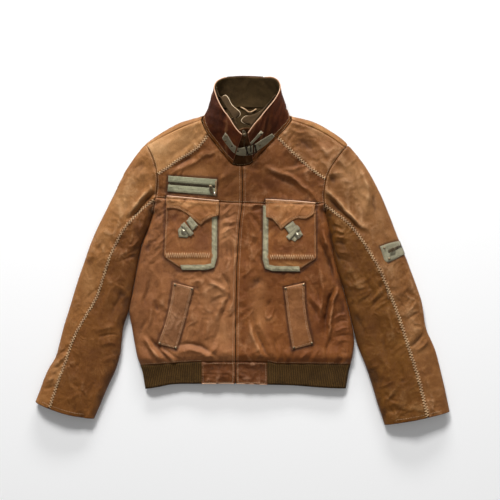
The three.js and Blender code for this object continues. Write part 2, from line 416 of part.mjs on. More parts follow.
// ---- front zip: tape under the fronts, chain in the opening ----
const zipLine = join(between(W.zip, zipTop, zipHem), [zipHem, L.zipHem[1]]);
const strip = (mid, half, n) => { // plane ribbon round a line
  const p = steps(mid, n);
  return p.map(([x, y], i) => {
    const a = p[Math.max(0, i - 1)], b = p[Math.min(n, i + 1)], l = hyp(b[0] - a[0], b[1] - a[1]), nx = -(b[1] - a[1]) / l, ny = (b[0] - a[0]) / l;
    return [[x + nx * half, y + ny * half], [x - nx * half, y - ny * half]];
  });
};
const sunk = (grid, depth, thick) => { // under the top sheet
  const [o, i] = follow(grid, true, 0.001);
  const move = (d) => grid.map((r) => r.map(([x, y]) => { const [z, nx, ny, nz] = sheet(x, y, true); return [x - nx * d, y - ny * d, z - nz * d]; }));
  return [move(depth), move(depth + thick)];
};
add("front_zip_tape", wall(...sunk(strip(zipLine, 9, 30), LEATHER + 1.8, 0.9)), "knit");

// ---- the height of what is already built, looking down ----
const CELL = 16, hash = new Map();
function remember(mesh) {
  mesh.updateMatrixWorld(true);
  const p = mesh.geometry.attributes.position, v = [new THREE.Vector3(), new THREE.Vector3(), new THREE.Vector3()];
  const ix = mesh.geometry.index, n = ix ? ix.count : p.count;
  for (let t = 0; t < n; t += 3) {
    for (let k = 0; k < 3; k++) v[k].fromBufferAttribute(p, ix ? ix.getX(t + k) : t + k).applyMatrix4(mesh.matrixWorld);
    const [a, b, c] = v.map((q) => [q.x, q.y, q.z]);
    const det = (b[0] - a[0]) * (c[1] - a[1]) - (c[0] - a[0]) * (b[1] - a[1]);
    if (Math.abs(det) < 1e-6) continue;
    const tri = [a, b, c, det, mesh.name];
    const x0 = Math.floor(Math.min(a[0], b[0], c[0]) / CELL), x1 = Math.floor(Math.max(a[0], b[0], c[0]) / CELL);
    const y0 = Math.floor(Math.min(a[1], b[1], c[1]) / CELL), y1 = Math.floor(Math.max(a[1], b[1], c[1]) / CELL);
    for (let i = x0; i <= x1; i++) for (let j = y0; j <= y1; j++) {
      const key = i * 1000 + j;
      if (!hash.has(key)) hash.set(key, []);
      hash.get(key).push(tri);
    }
  }
}
function heightAt(x, y, only = null, under = false) {
  let z = under ? 1e3 : -1;
  for (const [a, b, c, det, name] of hash.get(Math.floor(x / CELL) * 1000 + Math.floor(y / CELL)) || []) {
    if ((only && !only.test(name)) || det > 0 === under) continue;
    const w1 = ((x - a[0]) * (c[1] - a[1]) - (c[0] - a[0]) * (y - a[1])) / det, w2 = ((b[0] - a[0]) * (y - a[1]) - (x - a[0]) * (b[1] - a[1])) / det;
    if (w1 < -1e-6 || w2 < -1e-6 || w1 + w2 > 1 + 1e-6) continue;
    const h = a[2] + (b[2] - a[2]) * w1 + (c[2] - a[2]) * w2;
    z = under ? Math.min(z, h) : Math.max(z, h);
  }
  return z;
}
root.children.forEach(remember);
// A flat piece laid over what is there. shape(x, y) gives the surface it follows; it is raised until it clears everything by GAP.
function lay(name, grid, thick, look, shape = (x, y) => sheet(x, y, true)[0], parent = root) {
  const rows = grid.length, cols = grid[0].length, z = grid.map((r) => r.map(([x, y]) => shape(x, y)));
  let up = 0;
  const tri = (p, q, r, zp, zq, zr) => {
    for (let i = 0; i <= 6; i++) for (let j = 0; j <= 6 - i; j++) {
      const u = i / 6, v = j / 6, w = 1 - u - v;
      const x = p[0] * w + q[0] * u + r[0] * v, y = p[1] * w + q[1] * u + r[1] * v;
      up = Math.max(up, heightAt(x, y) + GAP - (zp * w + zq * u + zr * v));
    }
  };
  for (let j = 0; j + 1 < rows; j++) for (let i = 0; i + 1 < cols; i++) {
    const a = [j, i], b = [j, i + 1], c = [j + 1, i + 1], d = [j + 1, i], g = ([m, k]) => grid[m][k], h = ([m, k]) => z[m][k];
    tri(g(a), g(b), g(c), h(a), h(b), h(c)); tri(g(a), g(c), g(d), h(a), h(c), h(d)); tri(g(b), g(c), g(d), h(b), h(c), h(d));
  }
  if (up < -50) throw new Error(name + " lies on nothing");
  const face = (d) => grid.map((r, j) => r.map(([x, y], i) => [x, y, z[j][i] + up + d]));
  const mesh = add(name, wall(face(thick), face(0)), look, parent);
  remember(mesh);
  return mesh;
}
// a four-sided patch of n by m cells from its corners, or from two lines of equal count
const quadGrid = (a, b, c, d, n, m) => Array.from({ length: m + 1 }, (_, j) => Array.from({ length: n + 1 }, (_, i) => lerp(lerp(a, b, i / n), lerp(d, c, i / n), j / m)));
const between2 = (p, q, m) => Array.from({ length: m + 1 }, (_, j) => p.map((v, i) => lerp(v, q[i], j / m)));
const P = (px, py) => M((px - 242.45) * 2.45, (250.7 - py) * 2.45);

// ---- collar: a standing band, round the back and open at the front ----
const foot = [], head = [];
foot.push([232.6, 164.4, 1], [228.9, 161, 1], [225.4, 157, 1], [221.2, 151.6, 1], [217, 146.2, 1], [212.8, 141, 1], [208.8, 135.4, 1], [204.8, 127, 1], [203.4, 120.8, 1], [205.3, 114.4, 6], [209, 112.2, 1.4], [215.4, 110.8, 0.3], [225, 109.7, 0.3], [236, 109.2, 0.3], [246, 109, 0.3], [256, 109.2, 0.3], [267, 109.7, 0.3], [277, 110.8, 0.3], [284.4, 112.2, 1.4], [288.6, 114.4, 6], [290, 121.2, 1], [288.6, 125, 1], [284.9, 129.6, 1], [276.6, 137.6, 1], [272.2, 142.2, 1], [267.6, 147.2, 1], [262.8, 151.8, 1], [258, 156.6, 1], [253, 162, 1]);
head.push([242.2, 137.6, 66], [239.2, 135.2, 66], [236.2, 131.8, 65.5], [233.2, 127.4, 64.5], [230.4, 122.6, 63.5], [227.4, 118.2, 62], [223.8, 113.5, 60], [217.8, 102.1, 52], [214.4, 90.4, 41], [216, 84.6, 32], [220, 81, 26], [226, 78.7, 20], [233, 77.9, 17.5], [239.5, 77.5, 16.5], [246, 77.4, 16], [252.5, 77.6, 16], [259, 77.9, 16.5], [265.3, 78.4, 18], [271.5, 78.6, 22], [276.4, 80.8, 28], [279.6, 85.2, 34], [280, 90.8, 41], [277.6, 97.4, 48], [274, 103.5, 54], [270.2, 108.4, 57.5], [266, 113.5, 60], [260.6, 120.6, 63.5], [254.2, 128, 66], [248.2, 136.6, 66]);
{
  const cols = foot.length;
  const base = foot.map(([x, y, where]) => {
    const [px, py] = P(x, y);
    return where === 1 ? [px, py, sheet(px, py, true)[0]] : [px, py, where];
  });
  const top = head.map(([x, y, z]) => [...P(x, y), z]);
  // each row leans out a little at mid height
  const rowAt = (v) => base.map((b, i) => {
    const t = top[i], p = lerp(b, t, v);
    return p;
  });
  const VS = [0, 0.3, 0.65, 1];
  const grid = VS.map(rowAt);
  const centre = (row) => row.reduce((s, p) => s.map((v, k) => v + p[k] / row.length), [0, 0, 0]);
  const inwards = grid.map((row, j) => row.map((p, i) => {
    const a = row[Math.max(0, i - 1)], b = row[Math.min(cols - 1, i + 1)], c = grid[Math.max(0, j - 1)][i], d = grid[Math.min(VS.length - 1, j + 1)][i];
    const u = b.map((v, k) => v - a[k]), w = d.map((v, k) => v - c[k]);
    let n = [u[1] * w[2] - u[2] * w[1], u[2] * w[0] - u[0] * w[2], u[0] * w[1] - u[1] * w[0]];
    const l = hyp(...n);
    n = n.map((v) => v / l);
    return n;
  }));
  const mid = centre(grid[1]), s0 = inwards[1][10].reduce((s, v, k) => s + v * (mid[k] - grid[1][10][k]), 0) > 0 ? 1 : -1;
  const off = (d, v0 = 0, v1 = 1, e = 0) => grid.map((row, j) => row.map((p, i) => {
    let q = p.map((v, k) => v + inwards[j][i][k] * s0 * d);
    if (j === 0 && v0) q = lerp(q, grid[1][i].map((v, k) => v + inwards[1][i][k] * s0 * d), v0);
    if (j === VS.length - 1 && v1 < 1) q = lerp(grid[j - 1][i].map((v, k) => v + inwards[j - 1][i][k] * s0 * d), q, v1);
    return q;
  }));
  const trim = (g, t) => g.map((r) => { const o = [...r]; o[0] = lerp(r[0], r[1], t); o[cols - 1] = lerp(r[cols - 1], r[cols - 2], t); return o; });
  remember(add("collar_shell", wall(off(0), off(LEATHER)), "dark_leather"));
  const l0 = LEATHER + GAP, l1 = l0 + 1.4;
  remember(add("collar_lining", wall(trim(off(l0, 0.08, 0.92), 0.2), trim(off(l1, 0.08, 0.92), 0.2)), "knit"));
}
// the slope the two wings share at the front
const wing = (x, y) => { const [, y0] = P(0, 165), [, y1] = P(0, 137); return 28 + ((y - y0) / (y1 - y0)) * 38; };

// the layer under the wings, with the zip's top up its middle
{
  const g = quadGrid(P(233.6, 163.6), P(252.0, 162.6), P(253.2, 133.4), P(237.6, 134.2), 5, 4);
  g[0] = [P(233.2, 164.6), P(236.6, 165.4), P(240.4, 165.8), P(245.0, 165.6), P(249.2, 164.4), P(252.4, 162.4)];
  g[4] = [P(237.6, 134.2), P(240.6, 132.4), P(243.6, 131.4), P(246.6, 131.2), P(250, 131.8), P(253.2, 133.4)];
  const under = (x, y) => {
    let z = wing(x, y) - 6.6;
    for (let i = -3; i <= 3; i++) for (let j = -3; j <= 3; j++) {
      const h = heightAt(x + i * 2.5, y + j * 2.5, /^collar/, true);
      if (h < 1e3) z = Math.min(z, h - 0.7);
    }
    return z;
  };
  remember(add("collar_placket", wall(g.map((r) => r.map(([x, y]) => [x, y, under(x, y)])), g.map((r) => r.map(([x, y]) => [x, y + 0.9, under(x, y) - 2]))), "knit"));
}
// the knit stand inside each wing, its top edge waving
{
  const ridge = (name, pts, dark) => {
    const o = pts.map(([a]) => [...P(a[0], a[1]), a[2]]), i = pts.map(([, b]) => [...P(b[0], b[1]), b[2]]);
    const g = [o, o.map((p, k) => lerp(p, i[k], 0.5).map((v, m) => (m === 2 ? v + 1 : v))), i];
    remember(add(name, wall(g, g.map((r) => r.map(([x, y, z]) => [x, y, z - KNIT]))), "knit"));
  };
  ridge("inner_collar_right", [
    [[218.2, 94.5, 34], [220.6, 93.5, 29]], [[221.0, 101.5, 41], [224.2, 98.5, 35]], [[225.6, 109.5, 47], [229.5, 101.5, 39]],
    [[230.2, 116.5, 50], [234.5, 109.0, 43]], [[235.0, 123.5, 52], [239.3, 114.5, 45]], [[239.6, 128.6, 53], [241.6, 119.5, 46]]]);
  ridge("inner_collar_left", [
    [[275.2, 96.5, 36], [272.0, 94.0, 29]], [[271.0, 103.0, 43], [266.5, 99.0, 36]], [[265.0, 110.0, 48], [259.5, 107.0, 42]],
    [[259.0, 117.5, 51], [253.5, 113.5, 45]], [[253.5, 123.5, 52], [248.5, 118.0, 46]], [[247.2, 128.2, 53], [244.0, 121.0, 46]]]);
}
{
  const p = [[240.8, 107.6], [244.6, 109.6], [248.8, 112.6], [252.6, 111.8], [256.2, 109.4]].map(([x, y]) => P(x, y));
  const g = strip(p, 1.6, 6).map(([a, b]) => [a, b]);
  lay("hanger_loop", g, 1.2, "canvas", () => 5);
}
// ---- collar strap and its buckle ----
const lineP = (...p) => p.map(([x, y]) => P(x, y));
const laid = (name, up, down, n, thick, look, shape) => lay(name, between2(steps(up, n), steps(down, n), 1), thick, look, shape);
const wingTop = (x, y) => Math.min(wing(x, y), 66) + 0;
laid("collar_strap_right", lineP([226.4, 136.6], [228.8, 139.2], [233.5, 146.6], [238.9, 150], [245.7, 149], [248.7, 148.7], [252.6, 147.4]),
  lineP([223.4, 141.2], [223.9, 142.8], [227.4, 147], [233.2, 153.7], [237.2, 156.1], [243.6, 157.1], [252.6, 156.1]), 9, CANVAS, "strap", wingTop);
laid("collar_strap_left", lineP([254.4, 146.6], [258.6, 144.3], [262.6, 141.9], [271.4, 137.2]), lineP([254.4, 155.4], [259.2, 151], [265.9, 147], [273.7, 139.6]), 6, CANVAS, "strap", wingTop);
laid("collar_strap_end", lineP([250.4, 145.4], [254.2, 141.2], [260.9, 134.4]), lineP([251.6, 146.6], [255.8, 142.4], [262.8, 136.2]), 4, CANVAS, "strap", wingTop);

// ---- hardware ----
const UP = new THREE.Vector3(0, 0, 1);
// a frame on the surface: origin, x along a plane direction, z up
function frameAt(x, y, dir, shape, clear, span = 5) {
  const e = 3, dx = (shape(x + e, y) - shape(x - e, y)) / (2 * e), dy = (shape(x, y + e) - shape(x, y - e)) / (2 * e);
  const n = new THREE.Vector3(-dx, -dy, 1).normalize(), a = new THREE.Vector3(dir[0], dir[1], dir[0] * dx + dir[1] * dy).normalize();
  const b = new THREE.Vector3().crossVectors(n, a).normalize();
  // the lowest plane along n that clears what is there
  let up = -1e9;
  for (let i = -4; i <= 4; i++) for (let j = -4; j <= 4; j++) {
    const u = (i / 4) * span, v = (j / 4) * span, px = x + a.x * u + b.x * v, py = y + a.y * u + b.y * v;
    const h = heightAt(px, py);
    if (h > -1) up = Math.max(up, h - (a.z * u + b.z * v));
  }
  const m = new THREE.Matrix4().makeBasis(a, b, n);
  m.setPosition(x + n.x * clear, y + n.y * clear, up + n.z * clear);
  return m;
}
function place(name, geometry, m, look) {
  geometry.applyMatrix4(m);
  const mesh = add(name, geometry, look);
  remember(mesh);
  return mesh;
}
// a turned solid about z: [r, z] from the axis at the bottom to the axis at the top
function turned(profile, seg = 14) {
  const pos = [], idx = [], rings = profile.map(([r, z]) => {
    if (r === 0) { pos.push(0, 0, z); return [pos.length / 3 - 1]; }
    return Array.from({ length: seg }, (_, i) => { const t = (i / seg) * Math.PI * 2; pos.push(r * Math.cos(t), r * Math.sin(t), z); return pos.length / 3 - 1; });
  });
  for (let k = 0; k + 1 < rings.length; k++) for (let i = 0; i < seg; i++) {
    const a = rings[k], b = rings[k + 1], j = (i + 1) % seg;
    if (a.length > 1 && b.length > 1) idx.push(a[i], a[j], b[j], a[i], b[j], b[i]);
    else if (a.length === 1) idx.push(a[0], b[j], b[i]);
    else idx.push(a[i], a[j], b[0]);
  }
  const g = new THREE.BufferGeometry();
  g.setAttribute("position", new THREE.Float32BufferAttribute(pos, 3));
  g.setIndex(idx);
  return g.toNonIndexed();
}
const bareExtrude = (shape, depth, segs = 2) => {
  const g = new THREE.ExtrudeGeometry(shape, { depth, bevelEnabled: false, curveSegments: segs });
  g.deleteAttribute("normal"); g.deleteAttribute("uv");
  return g;
};
const poly = (pts, ...holes) => {
  const s = new THREE.Shape(pts.map(([x, y]) => new THREE.Vector2(x, y)));
  for (const h of holes) s.holes.push(new THREE.Path(h.map(([x, y]) => new THREE.Vector2(x, y))));
  return s;
};
const rect = (x0, y0, x1, y1) => [[x0, y0], [x1, y0], [x1, y1], [x0, y1]];
// Slider: a body with a bridge over it, drawn from the side and made W wide. Pull: a flat tab whose end bar runs under the bridge.
const SLIDER = { length: 7, width: 6, base: 1.1, window: 3.4, top: 4.6 };
const EYE = 2.3; // height of the pull's bar over the slider's foot
function slider(name, m, look = "metal") {
  const { length: l, width: w, base, window: win, top } = SLIDER;
  const g = bareExtrude(poly([[-l / 2, 0], [l / 2, 0], [l / 2, top - 1], [l / 2 - 1, top], [-l / 2 + 1, top], [-l / 2, top - 1]], rect(-1.7, base, 1.7, win + 0.1)), w);
  g.applyMatrix4(new THREE.Matrix4().makeRotationX(Math.PI / 2)); // x along, z up, y across
  g.translate(0, w / 2, 0);
  return place(name, g, m, look);
}
function pull(name, m, long, wide = 9.4) {
  const a = 0.6, h = 4.9, c = wide / 2;
  const g = bareExtrude(poly([[-a, -c], [h + 1, -c], [long - 2, -c + 1.2], [long, -c + 2.6], [long, c - 2.6], [long - 2, c - 1.2], [h + 1, c], [-a, c]], rect(a, -3.5, h, 3.5)), 0.9);
  g.translate(0, 0, EYE - 0.45);
  return place(name, g, m, "metal");
}
const hinge = {};
function zipPull(tag, x, y, dir, shape, long, ahead = long) {
  const m = frameAt(x, y, dir, shape, GAP, 4.5);
  // the tab lies over whatever is ahead of the slider
  const o = new THREE.Vector3(), inv = m.clone().invert();
  let up = 0;
  for (let u = 0; u <= ahead; u += 1.5) for (let v = -4.6; v <= 4.6; v += 1.15) {
    o.set(u, v, 0).applyMatrix4(m);
    const h = heightAt(o.x, o.y);
    if (h > 0) up = Math.max(up, o.set(o.x, o.y, h).applyMatrix4(inv).z + GAP - (EYE - 0.45));
  }
  m.multiply(new THREE.Matrix4().makeTranslation(0, 0, up));
  slider(tag + "_slider", m);
  pull(tag + "_pull", m, long);
  o.set(0, 0, EYE).applyMatrix4(m);
  const ax = new THREE.Vector3(0, -1, 0).transformDirection(m);
  hinge[tag] = { pos: o.toArray(), axis: ax.toArray() };
}
{ // buckle: a flat frame over both straps
  const [bx, by] = P(251.2, 151.4);
  const dir = P(255.4, 150.4).map((v, i) => v - P(247.0, 152.9)[i]), l = hyp(...dir);
  const m = frameAt(bx, by, dir.map((v) => v / l), wingTop, GAP, 12.5);
  place("collar_buckle", bareExtrude(poly(rect(-12.2, -11.6, 12.2, 11.6), rect(-9.6, -9.4, 9.6, 9.4)), 1.8), m, "metal");
}
const stud = (name, px, py, shape, rOut, h, rDome, hDome, span) => {
  const m = frameAt(...P(px, py), [1, 0], shape, GAP, span);
  return place(name, turned([[0, 0], [rOut, 0], [rOut, h], [rDome, h], [rDome * 0.8, (h + hDome) / 2 + 0.3], [0, hDome]]), m, "metal");
};
stud("strap_rivet_1", 226.9, 138.8, wingTop, 2.6, 0.7, 1.9, 1.6, 2.4);
stud("strap_rivet_2", 226.2, 143.4, wingTop, 2.6, 0.7, 1.9, 1.6, 2.4);
stud("strap_rivet_3", 259.4, 147.2, wingTop, 2.6, 0.7, 1.9, 1.6, 2.4);

// ---- chest pockets ----
const top = (x, y) => sheet(x, y, true)[0];
const grid4 = (a, b, c, d, n, m) => quadGrid(P(...a), P(...b), P(...c), P(...d), n, m);
const ruled = (name, a, b, n, m, thick, look) => lay(name, between2(steps(lineP(...a), n), steps(lineP(...b), n), m), thick, look, top);
// the wearer's right pocket: body, canvas binding down its inner side and along the bottom, flap, tab
ruled("pocket_right", [[167.3, 206.4], [211.6, 208.2]], [[164.9, 255], [168.6, 258.6], [176.5, 263.9], [211.8, 263.9]], 6, 6, 1.8, "leather");
const corner = (i0, i1, o0, o1) => between2(join(steps(lineP(...i0), 5), steps(lineP(...i1), 4)), join(steps(lineP(...o0), 5), steps(lineP(...o1), 4)), 1);
lay("pocket_binding_right", corner([[212.3, 209.4], [212.3, 264.6]], [[212.3, 264.6], [178.6, 264.7]],
  [[217.6, 208.5], [217.4, 262.5], [214.6, 267.4]], [[214.6, 267.4], [206, 269.6], [181.5, 269.7]]), 1.8, "canvas", top);
ruled("pocket_left", [[268.1, 208.2], [314.6, 208.6]], [[268.2, 265.6], [290, 265.6], [300, 265.5], [315.2, 258.8]], 6, 6, 1.8, "leather");
lay("pocket_binding_left", corner([[267.3, 209.2], [267.3, 266.4]], [[267.3, 266.4], [299.8, 266.4]],
  [[262.9, 208.4], [262.6, 262], [264.8, 268.4]], [[264.8, 268.4], [271, 270.4], [290, 271.4], [299.6, 271.3]]), 1.8, "canvas", top);
ruled("pocket_flap_right", [[167.6, 197.4], [185, 198.6], [202, 200], [219.2, 201.8]], [[167.4, 208.6], [187.5, 213.9], [201.3, 225.6], [218.6, 215.8]], 6, 3, LEATHER, "leather");
ruled("pocket_flap_left", [[265.7, 202.2], [280, 202.6], [296, 203], [314.6, 204.8]], [[266, 217.8], [280.8, 229.8], [296, 218.6], [312.4, 216]], 6, 3, LEATHER, "leather");
// tabs: a short strap from under the flap, a bar across it and a pointed end with a snap
lay("pocket_tab_right", grid4([186.4, 223.8], [193.3, 230.6], [197.2, 226.2], [189.9, 219.0], 1, 1), 1.6, "canvas", top);
lay("pocket_tab_end_right", between2(lineP([179.2, 229.4], [181.3, 226.8], [185.2, 226.6]), lineP([180.3, 236.6], [187.6, 237.2], [190.6, 232.2]), 1), 1.6, "canvas", top);
lay("pocket_tab_bar_right", grid4([181.9, 225.4], [191, 236.0], [194.0, 233.4], [184.9, 222.8], 2, 1), 1.4, "canvas", top);
lay("pocket_tab_left", grid4([284.6, 229.4], [289.0, 234.2], [296.4, 226.8], [292.6, 223.6], 1, 1), 1.6, "canvas", top);
lay("pocket_tab_end_left", between2(lineP([291.7, 239.4], [294.8, 241.6], [300.3, 240.8]), lineP([291.0, 236.0], [297.8, 230.4], [302.2, 234.0]), 1), 1.6, "canvas", top);
lay("pocket_tab_bar_left", grid4([286.2, 237.2], [289.4, 240.4], [299.6, 228.9], [296.5, 225.7], 2, 1), 1.4, "canvas", top);
const snap = (name, px, py) => stud(name, px, py, top, 6.6, 1.3, 4.3, 3.4, 5.6);
snap("pocket_snap_right", 184.4, 232.0);
snap("pocket_snap_left", 297.6, 236.4);

// ---- zipped chest patch on the wearer's right, above the flap ----
{
  const mix = (a, b, t) => lerp(a, b, t), a = [169.2, 176.5], b = [217.3, 180], c = [216.5, 196.2], d = [168.1, 192.2];
  const za = [168.9, 184.0], zb = [216.9, 187.7];
  lay("patch_upper_right", grid4(a, b, [zb[0], zb[1] - 0.35], [za[0], za[1] - 0.35], 5, 1), CANVAS, "canvas", top);
  lay("patch_lower_right", grid4([za[0], za[1] + 0.35], [zb[0], zb[1] + 0.35], c, d, 5, 1), CANVAS, "canvas", top);
  zipPull("patch_zip", ...P(211.2, 187.3), [Math.cos(-1.4), Math.sin(-1.4)], top, 17);
  stud("patch_snap", 214.9, 194.2, top, 3.0, 0.8, 2.6, 1.9, 2.6);
}

// ---- slanting side pockets: a stitched welt each ----
ruled("welt_right", [[173.8, 282.6], [183.8, 284.9], [193.8, 287.4]], [[158.4, 343.4], [167.8, 345.8], [177.3, 348.2]], 2, 5, 1.8, "leather");
ruled("welt_left", [[283.8, 287.2], [294.0, 284.9], [304.2, 282.8]], [[292.4, 348.6], [302.4, 346.2], [312.3, 343.6]], 2, 5, 1.8, "leather");

// ---- zipped patch on the wearer's left sleeve ----
{
  const u = P(400.2, 244.4).map((v, i) => v - P(391.5, 248.8)[i]), l = hyp(...u), dir = u.map((v) => v / l);
  lay("sleeve_patch", between2(lineP([378.6, 246.6], [388.0, 243.8], [397.6, 241.0]), lineP([382.4, 259.4], [387.4, 261.6], [402.6, 254.0]), 3), CANVAS, "canvas", top);
  zipPull("sleeve_zip", ...P(391.8, 249.2), dir.map((v) => -v), top, 13);
  stud("sleeve_rivet_1", 382.7, 248.2, top, 2.6, 0.7, 1.9, 1.6, 2.4);
  stud("sleeve_rivet_2", 387.6, 258.6, top, 2.6, 0.7, 1.9, 1.6, 2.4);
}

// ---- the front zip's slider, at the top of the placket ----
zipPull("front_zip", ...P(244.8, 137.0), [-0.3, 0.954], (x, y) => wing(x, y) - 6.6, 12, 8);

// where each zip pull tab turns: its bar under the slider's bridge
root.userData.hinges = hinge;
export default root;
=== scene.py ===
# Worn leather blouson, laid flat on its back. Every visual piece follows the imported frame; sizes are in mm here and metres in the scene.
import bpy, math
import numpy as np
from mathutils import Matrix, Vector


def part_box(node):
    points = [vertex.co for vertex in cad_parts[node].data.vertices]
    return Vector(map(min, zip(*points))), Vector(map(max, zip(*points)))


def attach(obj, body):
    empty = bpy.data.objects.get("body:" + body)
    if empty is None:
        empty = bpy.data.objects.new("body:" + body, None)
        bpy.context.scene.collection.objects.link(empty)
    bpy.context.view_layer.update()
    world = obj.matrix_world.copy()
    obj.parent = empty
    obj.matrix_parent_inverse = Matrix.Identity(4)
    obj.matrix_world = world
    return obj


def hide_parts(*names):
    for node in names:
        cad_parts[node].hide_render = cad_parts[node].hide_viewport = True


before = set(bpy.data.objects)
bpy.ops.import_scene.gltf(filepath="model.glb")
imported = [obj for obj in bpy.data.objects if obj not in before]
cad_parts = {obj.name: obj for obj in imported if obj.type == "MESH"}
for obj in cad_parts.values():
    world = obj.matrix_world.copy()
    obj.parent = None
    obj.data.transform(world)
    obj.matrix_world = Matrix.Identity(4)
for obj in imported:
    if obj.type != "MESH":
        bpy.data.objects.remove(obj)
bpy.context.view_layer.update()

BODY = "jacket"
rng = np.random.default_rng(7)

